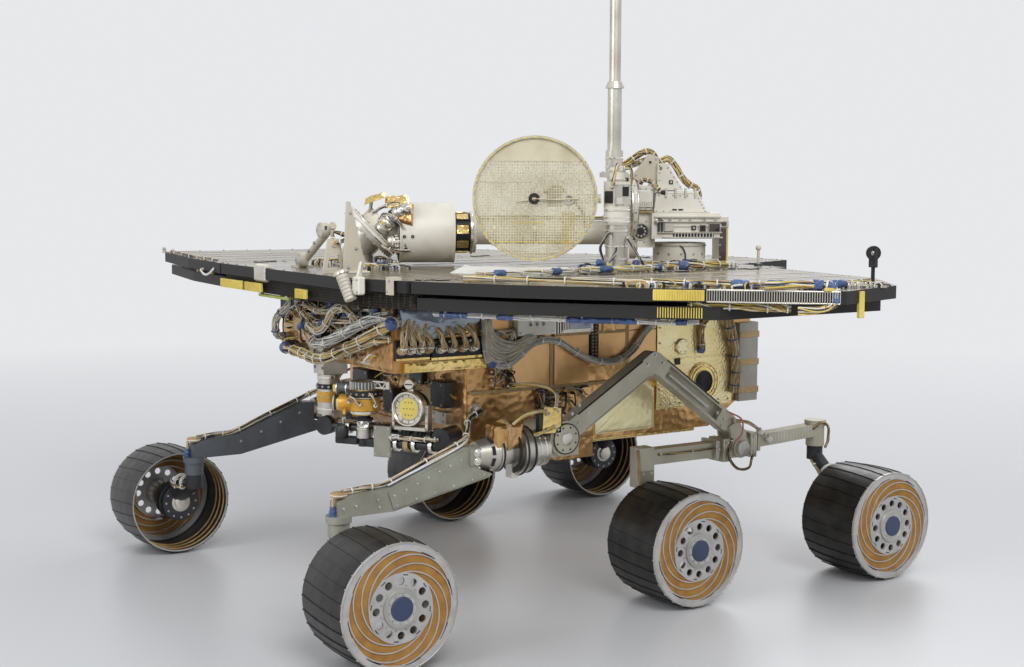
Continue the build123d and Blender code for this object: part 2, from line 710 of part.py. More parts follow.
def save_harnesses():
    """The cables that are held by the body's walls and by the front arms."""
    save(make_side_harness(), "side_harness")
    save(make_nose_harness(), "nose_harness")
    save(make_tail_harness(), "tail_harness")
    arm = make_arm_harness()
    for side, word in ((1, "port"), (-1, "starboard")):
        save(mirrored(arm, side), f"arm_harness_{word}")


def slab(points, z, thickness):
    """A flat panel from a plan outline of (x, y) points."""
    face = make_face(Polyline(*[(x, y, z) for x, y in points], close=True))
    return extrude(face, amount=thickness, dir=(0, 0, 1))


def deck_middle_outline(inset):
    """Plan of the fixed deck between the two wing hinges."""
    side = hinge_y - hinge_gap / 2
    return [
        (deck_front_x - inset, -side), (deck_front_x - inset, 250),
        (deck_front_x - 60 - inset, side), (deck_rear_x + inset, side),
        (deck_rear_x + inset, -side),
    ]


def wing_outline(side, inset):
    """Plan of one wing, from its hinge out to its tip."""
    root = hinge_y + hinge_gap / 2
    tip = half_span - inset
    if side > 0:
        return [
            (deck_front_x - 68 - inset, root), (deck_front_x - 180 - inset, 627),
            (deck_front_x - 350 - inset, 830), (deck_front_x - 640, tip),
            (deck_front_x - 850, tip - 70), (deck_front_x - 994 + inset, 837),
            (deck_front_x - 1079 + inset, root),
        ]
    return [
        (deck_front_x - inset, -root), (deck_front_x - 22 - inset, -700),
        (deck_front_x - 84 - inset, -tip + 60), (deck_front_x - 130, -tip),
        (deck_front_x - 850, -tip + 70), (deck_front_x - 994 + inset, -837),
        (deck_front_x - 1079 + inset, -root),
    ]


def hinge_leaf(x, outward):
    """One leaf and its knuckle on the port wing's hinge, on the wing or on the deck."""
    leaf = box(x, x + leaf_l, hinge_y, hinge_y + outward * leaf_w, deck_top_z, deck_top_z + leaf_t)
    return leaf + rod((x, hinge_y, deck_top_z), (x + leaf_l, hinge_y, deck_top_z), knuckle_r)


def tail_leaf(y, outward):
    """One leaf and its knuckle on the tail's hinge, on the tail or on the deck."""
    x = deck_rear_x - hinge_gap / 2
    leaf = box(x, x - outward * leaf_w, y, y + leaf_l, deck_top_z, deck_top_z + leaf_t)
    return leaf + rod((x, y, deck_top_z), (x, y + leaf_l, deck_top_z), knuckle_r)


def make_paddle():
    """The small paddle that stands on the port wing near its tip."""
    x, y = paddle_at
    out_x, out_y = 2.0, 3.0
    post = rod((x, y, deck_top_z - 1), (x, y, paddle_z), 4)
    return post + rod((x - out_x, y - out_y, paddle_z), (x + out_x, y + out_y, paddle_z), paddle_r)


def save_deck():
    """Middle deck, wings and tail, each as a lower and an upper slab."""
    low_z = body_top_z
    top_z = deck_top_z - panel_t
    save(slab(deck_middle_outline(lower_inset), low_z, panel_t + panel_gap), "deck_frame")
    panel = slab(deck_middle_outline(0), top_z, panel_t)
    past = leaf_l + leaf_gap
    for side in (1, -1):
        panel += [mirrored(hinge_leaf(x + past, -1), side) for x in hinge_xs]
    panel += [tail_leaf(y + past, -1) for y in tail_hinge_ys]
    save(panel, "deck_panel")
    for side, word in ((1, "port"), (-1, "starboard")):
        wing = slab(wing_outline(side, 0), top_z, panel_t)
        lower = slab(wing_outline(side, lower_inset), low_z, panel_t)
        if side > 0:
            lower -= box(deck_rear_x, deck_front_x, lower_port_tip, half_span, low_z - 1, top_z + 1)
        wing += lower
        edge = side * (hinge_y + hinge_gap / 2)
        wing += box(deck_front_x - 1000, deck_front_x - 140, edge, edge + side * 24,
                    low_z + 2, deck_top_z - 2)
        wing += [mirrored(hinge_leaf(x, 1), side) for x in hinge_xs]
        if side > 0:
            wing += make_paddle()
        save(wing, f"wing_{word}")
    root = deck_rear_x - hinge_gap
    tail = slab([(root, -tail_half_w), (root, tail_half_w), (root - tail_l, tail_tip_half_w),
                 (root - tail_l, -tail_tip_half_w)], top_z, panel_t)
    tail += [tail_leaf(y, 1) for y in tail_hinge_ys]
    save(tail, "tail_panel")


# Mast.
def mast_way(along, across, up):
    """A point in the mast's own directions, from the middle of its flange."""
    turn = math.radians(mast_aim)
    dx, dy = math.cos(turn), math.sin(turn)
    return (mast_x + along * dx - across * dy, mast_y + along * dy + across * dx, mast_z + up)


def mast_block(a0, a1, c0, c1, u0, u1):
    """A block square to the stowed mast."""
    at = Location(mast_way((a0 + a1) / 2, (c0 + c1) / 2, (u0 + u1) / 2), (0, 0, mast_aim))
    return at * Box(a1 - a0, c1 - c0, u1 - u0)


def flange(low, high, radius):
    """A disc square to the 45 degree joint, between two heights along its axis."""
    s = math.sqrt(0.5)
    return rod(mast_way(low * s, 0, low * s), mast_way(high * s, 0, high * s), radius)


def mast_prism(a0, a1, radius, sides):
    """A prism along the mast's axis."""
    start, end = Vector(*mast_way(a0, 0, 0)), Vector(*mast_way(a1, 0, 0))
    plane = Plane(origin=start, z_dir=(end - start).normalized())
    return extrude(plane * RegularPolygon(radius, sides), amount=(end - start).length)


def save_mast():
    """Base on the deck, mast and camera head, and the cradle that the head lies in."""
    base = flange(-flange_t - arm_gap, -arm_gap, flange_r)
    base += flange(-52, -flange_t, 44)
    base += rod(mast_way(-34, 0, deck_top_z - mast_z), mast_way(-34, 0, -34), 46, 34)
    save(base, "mast_base")
    drum_end = drum_start + drum_l
    mast = flange(arm_gap, flange_t + arm_gap, flange_r)
    mast += flange(flange_t, 46, 44)
    mast += rod(mast_way(46, 0, 6), mast_way(drum_start + 10, 0, 0), 36)
    mast += rod(mast_way(drum_start, 0, 0), mast_way(drum_end, 0, 0), drum_r)
    collar_end = drum_end + collar_l
    mast += mast_prism(drum_end - 1, collar_end - 14, collar_r, 6)
    mast += rod(mast_way(collar_end - 14, 0, 0), mast_way(collar_end, 0, 0), collar_r + 4)
    # Two geared motors between the flange and the drum: start and end of each.
    for start, end in (((22, -46, 8), (66, -60, 50)), ((40, -52, -22), (84, -52, -22))):
        mast += rod(mast_way(*start), mast_way(*end), 15)
    mast += rod(mast_way(drum_end, 0, 0), mast_way(mast_l, 0, 0), mast_tube_r)
    save(mast, "mast")
    save(make_head(), "mast_head")
    far = mast_l + head_neck_l + head_l
    middle = far - head_l / 2
    rest = rod(mast_way(middle, 0, deck_top_z - mast_z), mast_way(middle, 0, rest_top_z - mast_z), rest_r)
    rest += mast_block(middle, far + rest_gap + rest_stop_l, -30, 30,
                       deck_top_z - mast_z, deck_top_z - mast_z + 14)
    rest += mast_block(far + rest_gap, far + rest_gap + rest_stop_l, -rest_stop_half_w, rest_stop_half_w,
                       deck_top_z - mast_z, rest_stop_z - mast_z)
    save(rest, "mast_rest")


def mast_outline(points, c0, c1):
    """A block with an (along, up) outline, between two depths across the mast."""
    face = make_face(Polyline(*[mast_way(a, c0, u) for a, u in points], close=True))
    turn = math.radians(mast_aim)
    return extrude(face, amount=c1 - c0, dir=(-math.sin(turn), math.cos(turn), 0))


def make_head():
    """The camera head: a tall yoke, a cheek plate, the camera box and two sloped hoods."""
    near = mast_l + head_neck_l
    far = near + head_l
    yoke_a = mast_l + yoke_t
    head = rod(mast_way(mast_l, 0, 0), mast_way(mast_l + flange_t, 0, 0), head_flange_r)
    head += rod(mast_way(mast_l, 0, 0), mast_way(near + 4, 0, 0), mast_tube_r - 4)
    head += mast_block(mast_l + 2, yoke_a, -yoke_half_w, yoke_half_w, yoke_low + yoke_half_w, yoke_high)
    foot_u = yoke_low + yoke_half_w
    head += rod(mast_way(mast_l + 2, 0, foot_u), mast_way(yoke_a, 0, foot_u), yoke_half_w)
    cheek = mast_outline([(yoke_a - 2, -36), (near + 14, -36), (near + 14, 52), (yoke_a - 2, 66)],
                         -yoke_half_w - cheek_t + 2, -yoke_half_w + 2)
    cheek_y = -yoke_half_w - cheek_t
    cheek -= rod(mast_way(yoke_a + 6, cheek_y, 4), mast_way(yoke_a + 6, cheek_y + 11, 4), cheek_hole_r)
    head += cheek
    head += mast_block(near, far, -head_w / 2, head_w / 2, head_low, head_high)
    for u in (head_low + 12, head_low + 30, head_high - 12):
        head += mast_block(near + 44, far + 3, -head_w / 2 - 3, head_w / 2 + 3, u, u + 5)
    # Hoods: start and end along at the foot, the same at the top, and the two heights.
    hoods = [(8, 146, 14, 120, head_high - 1, 98), (16, 82, 16, 42, 106, 172)]
    for foot_0, foot_1, top_0, top_1, low, high in hoods:
        outline = [(near + foot_0, low), (near + foot_1, low), (near + top_1, high), (near + top_0, high)]
        head += mast_outline(outline, -hood_w / 2, hood_w / 2)
    head += mast_block(near + 20, near + 70, -hood_w / 3, hood_w / 3, 96, 108)
    head += rod(mast_way(near + 34, -hood_w / 2 + 3, 100), mast_way(near + 120, -hood_w / 2 + 3, 100), 4)
    return head


# Dish antenna.
def dish_way(out, across, up):
    """A point from the dish's middle: out along its aim, across to its stand."""
    turn = math.radians(dish_aim)
    dx, dy = math.cos(turn), math.sin(turn)
    return (dish_x + out * dx - across * dy, dish_y + out * dy + across * dx, dish_z + up)


def save_dish():
    """Fixed stand, turning yoke and the flat dish."""
    x, y, _ = dish_way(0, dish_reach, 0)
    base = rod((x, y, deck_top_z), (x, y, deck_top_z + 12), stand_r + 16)
    base += rod((x, y, deck_top_z), (x, y, dish_z - 60), stand_r)
    save(base, "antenna_stand")
    yoke = rod((x, y, dish_z - 59), (x, y, dish_z - 18), yoke_r)
    half = gimbal_box_w / 2
    yoke += box(x - half, x + half, y - half, y + half, dish_z - 19, dish_z + 40)
    yoke += rod((x, y, dish_z + 39), (x, y, dish_z + 73), gimbal_motor_r)
    save(yoke, "antenna_yoke")
    dish = rod(dish_way(6, 0, 0), dish_way(6 + dish_t, 0, 0), dish_r)
    lip = rod(dish_way(6, 0, 0), dish_way(6 + dish_lip_t, 0, 0), dish_r)
    dish += lip - rod(dish_way(5, 0, 0), dish_way(7 + dish_lip_t, 0, 0), dish_r - dish_lip_w)
    dish += rod(dish_way(-20, 0, 0), dish_way(8, 0, 0), 26)
    dish += rod(dish_way(0, dish_reach - yoke_r - 6, 0), dish_way(0, 0, 0), 11)
    save(dish, "antenna_dish")


def save_rod_antenna():
    """The tall rod antenna on its round foot, with its sleeve, block and collar."""
    # Low and high z of each stage, and its radius at both.
    stages = [
        (deck_top_z, rod_collar_z, rod_r, rod_r), (rod_collar_z, rod_top_z, rod_upper_r, rod_upper_r),
        (deck_top_z, deck_top_z + rod_foot_h, rod_foot_r, 0.6 * rod_foot_r),
        (rod_block_z, rod_sleeve_z, rod_sleeve_r, rod_sleeve_r),
        (rod_collar_z, rod_collar_z + rod_collar_h, 1.4 * rod_r, rod_r),
    ]
    half = rod_block_w / 2
    antenna = box(rod_x - half, rod_x + half, rod_y - half, rod_y + half,
                  rod_block_z, rod_block_z + rod_block_h)
    for low, high, low_r, high_r in stages:
        antenna += rod((rod_x, rod_y, low), (rod_x, rod_y, high), low_r, high_r if high_r != low_r else None)
    save(antenna, "rod_antenna")


def save_deck_fittings():
    """What stands on the fixed deck: a rest arm with pads, brackets, a canister and a ball post."""
    top = deck_top_z
    x = body_front_x + 4
    arm = rod((x, -160, top + 9), (x, 6, top + 104), 9)
    for y, z in ((-146, top + 18), (-30, top + 92)):
        arm += rod((x - 2, y, z), (x + 16, y, z), 18)
    arm += box(x - 20, x + 20, -182, -142, top, top + 5)
    x = body_front_x + 46
    bracket = side_plate([(x - 27, top), (x - 14, top + 77), (x + 14, top + 77), (x + 27, top)], 92, 8)
    window = [(x - 17, top + 12), (x - 12, top + 40), (x + 12, top + 40), (x + 17, top + 12)]
    bracket -= side_plate(window, 92, 10)
    bracket += rod((x, 84, top + 66), (x, 100, top + 66), 7)
    x = body_front_x + 8
    stay = side_plate([(x - 28, top), (x + 14, top + 160), (x + 20, top + 160), (x + 29, top)], 124, 10)
    canister = rod(canister_top, canister_foot, canister_r)
    rim = Vector(*canister_top) + (Vector(*canister_top) - Vector(*canister_foot)).normalized() * 6
    canister += rod(canister_top, tuple(rim), canister_r + 3)
    edge_x = deck_front_x - 44
    hook = box(edge_x, edge_x + 8, 378, 398, top - 30, top + 7)
    hook += box(edge_x - 18, edge_x + 1, 378, 398, top, top + 7)
    x, y = ball_post_at
    post = rod((x, y, top), (x, y, ball_z), 3.5) + Pos(x, y, ball_z) * Sphere(ball_r)
    save(Compound([arm, bracket, stay, canister, hook, post]), "deck_fittings")
    cloth = slab(cloth_outline, top, cloth_t)
    save(fillet(cloth.edges().filter_by(Axis.Z), 10), "deck_cloth")


# Instrument arm. Along runs from the shoulder to the elbow, ahead is square to it.
def arm_way(along, ahead, z):
    """A point in the stowed arm's own directions, from the shoulder's axis."""
    turn = math.radians(arm_aim)
    dx, dy = math.cos(turn), math.sin(turn)
    return (shoulder_x + along * dx + ahead * dy, shoulder_y + along * dy - ahead * dx, z)


def arm_block(a0, a1, b0, b1, z0, z1):
    """A block square to the stowed arm."""
    at = Location(arm_way((a0 + a1) / 2, (b0 + b1) / 2, (z0 + z1) / 2), (0, 0, arm_aim))
    return at * Box(a1 - a0, b1 - b0, z1 - z0)


def boss(along, b0, b1, radius):
    """A round boss on the elevation axis or the elbow's axis."""
    return rod(arm_way(along, b0, arm_z), arm_way(along, b1, arm_z), radius)


def make_forearm():
    """The elbow boss, the slim tube, the wrist block and the turret's motor."""
    ahead = forearm_ahead
    wrist = upper_link_l - wrist_back
    turret = upper_link_l - forearm_l
    sensor = upper_link_l - sensor_back
    fore = boss(upper_link_l, link_far + arm_gap, ahead + 12, joint_r)
    fore += rod(arm_way(upper_link_l, ahead, forearm_z), arm_way(wrist, ahead, forearm_z), link_r)
    fore += arm_block(wrist - 14, wrist + 14, ahead - 12, ahead + 12, forearm_z - 32, forearm_z + 40)
    fore += arm_block(turret - 10, wrist, ahead - 10, ahead + 10, forearm_z - 12, forearm_z + 6)
    fore += rod(arm_way(turret, ahead, forearm_z - 12), arm_way(turret, ahead, turret_low_z - arm_gap), 14)
    sensor_back_b = ahead - sensor_t + 2
    fore += rod(arm_way(sensor, sensor_back_b, sensor_z), arm_way(sensor, ahead + 2, sensor_z), sensor_r)
    for post in (sensor - 14, sensor + 14):
        fore += rod(arm_way(post, ahead - 4, forearm_z), arm_way(post, ahead - 4, sensor_z), 4)
    return fore


def make_turret():
    """The round instrument turret with its two short tubes."""
    ahead = forearm_ahead
    at = upper_link_l - forearm_l
    turret = rod(arm_way(at, ahead, turret_low_z), arm_way(at, ahead, turret_high_z), turret_r)
    low_z, high_z = turret_low_z + 24, turret_high_z - 18
    turret += rod(arm_way(at - 8, ahead + 8, low_z), arm_way(at - 62, ahead + 24, low_z), 17)
    turret += rod(arm_way(at - 8, ahead, high_z), arm_way(at - 58, ahead, high_z), 14)
    return turret


def save_arm():
    """Mount, shoulder, upper arm, forearm and the instrument turret."""
    x, y, r = shoulder_x, shoulder_y, shoulder_r
    top = shoulder_top_z + arm_gap
    mount = box(body_front_x, x + r, y - r, y + r, top, body_nose_z + 40)
    mount += box(x - r - 10, body_front_x + 1, y - r, y + r, top, body_nose_z)
    save(mount, "arm_mount")
    shoulder = rod((x, y, arm_z + joint_r + 5), (x, y, shoulder_top_z), r)
    shoulder += arm_block(-16, 16, -joint_r, link_near - 2, arm_z, arm_z + joint_r + 6)
    shoulder += boss(0, -joint_r, link_near - arm_gap, joint_r)
    save(shoulder, "arm_shoulder")
    middle = (link_near + link_far) / 2
    upper = rod(arm_way(0, middle, arm_z), arm_way(upper_link_l, middle, arm_z), link_r - 3)
    upper += boss(0, link_near, link_far, joint_r)
    upper += boss(upper_link_l, link_near, link_far, joint_r)
    save(upper, "arm_upper_link")
    save(make_forearm(), "arm_forearm")
    save(make_turret(), "arm_turret")


save_wheels()
save_knuckles()
save_running_gear()
save(make_body(), "body_box")
save_wall_panels()
save_rear_blanket()
save_wall_boxes()
save_harnesses()
save_deck()
save_deck_fittings()
save_mast()
save_dish()
save_rod_antenna()
save_arm()
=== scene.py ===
"""Finishes, fittings, wiring and foil for a six-wheeled planetary rover.

Everything is in metres, with +X forward, +Y to port and +Z up. Each sub-assembly is a
class with its sizes as fields. It builds its pieces as numpy surfaces and hands them to
a Workpiece, which joins them into one mesh a finish for one moving body.
"""

import json
import logging
import math
from dataclasses import dataclass, field
from enum import Enum

import bpy
import numpy as np
from mathutils import Matrix, Vector

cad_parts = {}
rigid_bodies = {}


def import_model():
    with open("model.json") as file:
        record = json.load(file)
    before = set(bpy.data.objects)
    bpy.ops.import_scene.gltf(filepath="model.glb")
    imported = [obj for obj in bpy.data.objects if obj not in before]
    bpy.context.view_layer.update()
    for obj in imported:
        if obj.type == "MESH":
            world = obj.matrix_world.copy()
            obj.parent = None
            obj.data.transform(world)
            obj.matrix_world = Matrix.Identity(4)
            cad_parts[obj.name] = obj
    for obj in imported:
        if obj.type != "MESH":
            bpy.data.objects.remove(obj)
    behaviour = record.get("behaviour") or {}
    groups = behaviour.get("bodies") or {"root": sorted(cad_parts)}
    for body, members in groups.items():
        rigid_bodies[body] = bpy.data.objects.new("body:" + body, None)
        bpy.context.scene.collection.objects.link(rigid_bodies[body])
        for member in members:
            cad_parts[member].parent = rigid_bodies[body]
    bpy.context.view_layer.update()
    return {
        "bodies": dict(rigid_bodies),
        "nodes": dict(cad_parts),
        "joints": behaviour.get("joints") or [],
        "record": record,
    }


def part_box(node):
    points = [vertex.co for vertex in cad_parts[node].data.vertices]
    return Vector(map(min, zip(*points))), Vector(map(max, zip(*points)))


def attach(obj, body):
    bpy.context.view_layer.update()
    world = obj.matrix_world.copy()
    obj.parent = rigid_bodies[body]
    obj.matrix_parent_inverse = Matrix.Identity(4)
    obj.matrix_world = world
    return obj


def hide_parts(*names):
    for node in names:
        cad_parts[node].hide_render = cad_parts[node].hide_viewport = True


log = logging.getLogger("rover")

Array = np.ndarray
Colour = tuple[float, float, float]
Triple = tuple[float, float, float]
SIDES = {"port": 1.0, "starboard": -1.0}
FRAME: dict = {}

PLUS_X, MINUS_X = (1, 0, 0), (-1, 0, 0)
PLUS_Y, MINUS_Y = (0, 1, 0), (0, -1, 0)
PLUS_Z, MINUS_Z = (0, 0, 1), (0, 0, -1)

DECK_Z = 0.745
GEAR_Y = 0.400
WALL_Y = 0.285
TILE_Y = 0.290
GOLD_Y = 0.293
NOSE_X = 0.478
RIM_RADIUS = 0.128
WHEEL_HALF_WIDTH = 0.0855

MIX_SHARE, MIX_FIRST, MIX_SECOND, MIX_RESULT = 0, 6, 7, 2
SHARP_ANGLE = math.radians(38)
WIRE_SIDES = 5
# Bolt heads that recur, named by their width in tenths of a millimetre: radius and height in metres.
HEAD_32, HEAD_36, HEAD_36_TALL = (0.0016, 0.0016), (0.0018, 0.0018), (0.0018, 0.0020)
HEAD_40, HEAD_44 = (0.0020, 0.0020), (0.0022, 0.0020)
HEAD_48, HEAD_48_FLAT = (0.0024, 0.0022), (0.0024, 0.0018)


class Relief(Enum):
    """The fine surface that a finish has."""

    SMOOTH = "smooth"
    GRAIN = "grain"
    BRUSHED = "brushed"
    CRINKLE = "crinkle"
    WEAVE = "weave"


class Graph:
    """Adds shader nodes to one material and joins their sockets."""

    def __init__(self, name: str) -> None:
        """Start a material of that name with only its output node.

        Args:
            name: The material's name.
        """
        self.material = bpy.data.materials.new(name)
        self.material.use_nodes = True
        self.tree = self.material.node_tree
        self.tree.nodes.clear()
        self.output = self.node("ShaderNodeOutputMaterial")
        self.place = self.node("ShaderNodeTexCoord").outputs["Object"]

    def node(self, kind: str, settings: dict | None = None, **inputs: object) -> bpy.types.Node:
        """Add a node.

        Args:
            kind: Blender's name for the node type.
            settings: Properties of the node itself.
            inputs: Values or sockets for its inputs, by name with _ for a space.

        Returns:
            The new node.
        """
        made = self.tree.nodes.new(kind)
        for key, value in (settings or {}).items():
            setattr(made, key, value)
        for key, value in inputs.items():
            self.feed(made.inputs[key.replace("_", " ")], value)
        return made

    def feed(self, socket: bpy.types.NodeSocket, value: object) -> None:
        """Give a socket a number, a colour or another node's output.

        Args:
            socket: The input.
            value: A number, a tuple or a socket.
        """
        if isinstance(value, bpy.types.NodeSocket):
            self.tree.links.new(value, socket)
        elif isinstance(value, tuple) and len(value) == 3 and socket.type == "RGBA":
            socket.default_value = (*value, 1.0)
        else:
            socket.default_value = value

    def maths(self, operation: str, *values: object) -> bpy.types.NodeSocket:
        """One step of arithmetic on numbers or sockets.

        Args:
            operation: Blender's name for the operation.
            values: What goes in, in the order of the node's inputs.

        Returns:
            The result's socket.
        """
        made = self.node("ShaderNodeMath", {"operation": operation})
        for socket, value in zip(made.inputs, values):
            self.feed(socket, value)
        return made.outputs[0]

    def mix(self, share: object, first: object, second: object) -> bpy.types.NodeSocket:
        """Blend two colours by a share from 0 to 1.

        Args:
            share: How much of the second colour.
            first: A colour or its socket.
            second: A colour or its socket.

        Returns:
            The blend's socket.
        """
        made = self.node("ShaderNodeMix", {"data_type": "RGBA", "clamp_factor": True})
        self.feed(made.inputs[MIX_SHARE], share)
        self.feed(made.inputs[MIX_FIRST], first)
        self.feed(made.inputs[MIX_SECOND], second)
        return made.outputs[MIX_RESULT]

    def step(self, value: object, low: float, high: float) -> bpy.types.NodeSocket:
        """Rise from 0 to 1 as the value goes from low to high.

        Args:
            value: The socket that is read.
            low: Where it is still 0.
            high: Where it is 1.

        Returns:
            The result's socket.
        """
        made = self.node("ShaderNodeMapRange", {"clamp": True})
        for name, given in (("Value", value), ("From Min", low), ("From Max", high)):
            self.feed(made.inputs[name], given)
        return made.outputs[0]

    def noise(
            self, scale: float, detail: float = 3.0,
            stretch: Triple = (1.0, 1.0, 1.0)) -> bpy.types.NodeSocket:
        """Cloudy noise in object space, finer along an axis where stretch is above 1."""
        spot = self.node("ShaderNodeMapping", Vector=self.place, Scale=stretch).outputs[0]
        return self.node("ShaderNodeTexNoise", Vector=spot, Scale=scale, Detail=detail).outputs["Fac"]

    def bump(self, height: object, distance: float, strength: float = 1.0) -> bpy.types.NodeSocket:
        """Turn a height in metres times distance into a bent normal."""
        made = self.node("ShaderNodeBump", Height=height, Distance=distance, Strength=strength)
        return made.outputs[0]

    def finish(self, shader: bpy.types.Node) -> bpy.types.Material:
        """Join a shader to the output and return the material."""
        self.tree.links.new(shader.outputs[0], self.output.inputs[0])
        return self.material


@dataclass(frozen=True)
class Finish:
    """A paint, metal, foil or plastic with uneven colour and a fine relief."""

    name: str
    colour: Colour
    worn: Colour | None = None
    metallic: float = 0.0
    roughness: float = 0.5
    relief: Relief = Relief.GRAIN
    relief_size: float = 0.0004
    relief_scale: float = 260.0
    mottle_scale: float = 14.0
    coat: float = 0.0
    sheen: float = 0.0
    shine: float = 0.5
    slot: str = ""
    fade: float = 0.78
    clouds: tuple = (0.38, 0.68)

    def material(self) -> bpy.types.Material:
        """Build the material once and return it each time after that."""
        found = bpy.data.materials.get(self.title)
        return found if found else self.build()

    @property
    def title(self) -> str:
        """The material's own name, which no slot of the frame has."""
        return f"finish_{self.name}"

    def build(self) -> bpy.types.Material:
        """Make the shader: mottled colour, relief as bump, roughness that varies.

        Returns:
            The new material.
        """
        graph = Graph(self.title)
        shader = graph.node("ShaderNodeBsdfPrincipled", Metallic=self.metallic)
        graph.feed(shader.inputs["Specular IOR Level"], self.shine)
        if self.coat:
            graph.feed(shader.inputs["Coat Weight"], self.coat)
        if self.sheen:
            graph.feed(shader.inputs["Sheen Weight"], self.sheen)
        graph.feed(shader.inputs["Base Color"], self.tint(graph))
        graph.feed(shader.inputs["Roughness"], self.gloss(graph))
        normal = self.normal(graph)
        if normal is not None:
            graph.feed(shader.inputs["Normal"], normal)
        return graph.finish(shader)

    def tint(self, graph: Graph) -> bpy.types.NodeSocket:
        """Blend the clean and the worn colour by cloudy noise.

        Args:
            graph: The material being made.

        Returns:
            The colour's socket.
        """
        worn = self.worn or tuple(self.fade * c for c in self.colour)
        cloud = graph.step(graph.noise(self.mottle_scale, 5.0), *self.clouds)
        return graph.mix(cloud, self.colour, worn)

    def gloss(self, graph: Graph) -> bpy.types.NodeSocket:
        """Vary the roughness by about a quarter."""
        cloud = graph.noise(self.mottle_scale * 2.3, 4.0)
        return graph.maths("MULTIPLY_ADD", cloud, 0.5 * self.roughness, 0.75 * self.roughness)

    def normal(self, graph: Graph) -> bpy.types.NodeSocket | None:
        """Bend the normal by the finish's relief.

        Args:
            graph: The material being made.

        Returns:
            The normal's socket, or None where the finish is smooth.
        """
        if self.relief is Relief.SMOOTH:
            return None
        if self.relief is Relief.CRINKLE:
            cells = graph.node(
                "ShaderNodeTexVoronoi", {"feature": "SMOOTH_F1"}, Scale=self.relief_scale, Vector=graph.place,
                Smoothness=0.35).outputs["Distance"]
            folds = graph.noise(self.relief_scale * 0.6, 5.0)
            return graph.bump(graph.maths("ADD", cells, folds), self.relief_size)
        if self.relief is Relief.BRUSHED:
            lines = graph.noise(self.relief_scale, 2.0, (1.0, 1.0, 14.0))
            return graph.bump(lines, self.relief_size)
        if self.relief is Relief.WEAVE:
            cells = graph.node(
                "ShaderNodeTexVoronoi", {"distance": "CHEBYCHEV"}, Scale=self.relief_scale,
                Vector=graph.place, Randomness=0.1).outputs["Distance"]
            return graph.bump(cells, self.relief_size)
        return graph.bump(graph.noise(self.relief_scale, 4.0), self.relief_size)


@dataclass(frozen=True)
class WheelMetal(Finish):
    """Black tread, pale rim, blades and hub, told apart by the distance from the axle."""

    centre: Triple = (0.0, 0.0, 0.0)
    outward: float = 1.0
    rim_radius: float = RIM_RADIUS
    half_width: float = WHEEL_HALF_WIDTH
    rim_lip: float = 0.0045
    tread: tuple = ((0.013, 0.013, 0.013), (0.034, 0.030, 0.026))
    pale: tuple = ((0.52, 0.51, 0.50), (0.40, 0.38, 0.37))
    gold: tuple = ((0.30, 0.20, 0.085), (0.16, 0.10, 0.045))

    def tint(self, graph: Graph) -> bpy.types.NodeSocket:
        """Pale on the outer face, golden brown inside, black on the tread.

        Args:
            graph: The material being made.

        Returns:
            The colour's socket.
        """
        here = graph.node("ShaderNodeSeparateXYZ", Vector=graph.place)
        dx = graph.maths("SUBTRACT", here.outputs["X"], self.centre[0])
        dz = graph.maths("SUBTRACT", here.outputs["Z"], self.centre[2])
        depth = graph.maths(
            "MULTIPLY", graph.maths("SUBTRACT", here.outputs["Y"], self.centre[1]), self.outward)
        radius = graph.maths("SQRT", graph.maths("ADD", graph.maths("MULTIPLY", dx, dx), graph.maths(
            "MULTIPLY", dz, dz)))
        cloud = graph.step(graph.noise(30.0, 5.0), 0.35, 0.7)
        tread, pale, gold = (graph.mix(cloud, *pair) for pair in (self.tread, self.pale, self.gold))
        inside = graph.step(radius, self.rim_radius - 0.0022, self.rim_radius - 0.0032)
        deep = graph.step(depth, self.half_width - 0.045, self.half_width - 0.055)
        within = graph.mix(graph.maths("MULTIPLY", inside, deep), pale, gold)
        face = graph.step(depth, self.half_width - self.rim_lip, self.half_width - self.rim_lip + 0.0008)
        outer = graph.maths("MAXIMUM", inside, face)
        return graph.mix(outer, tread, within)


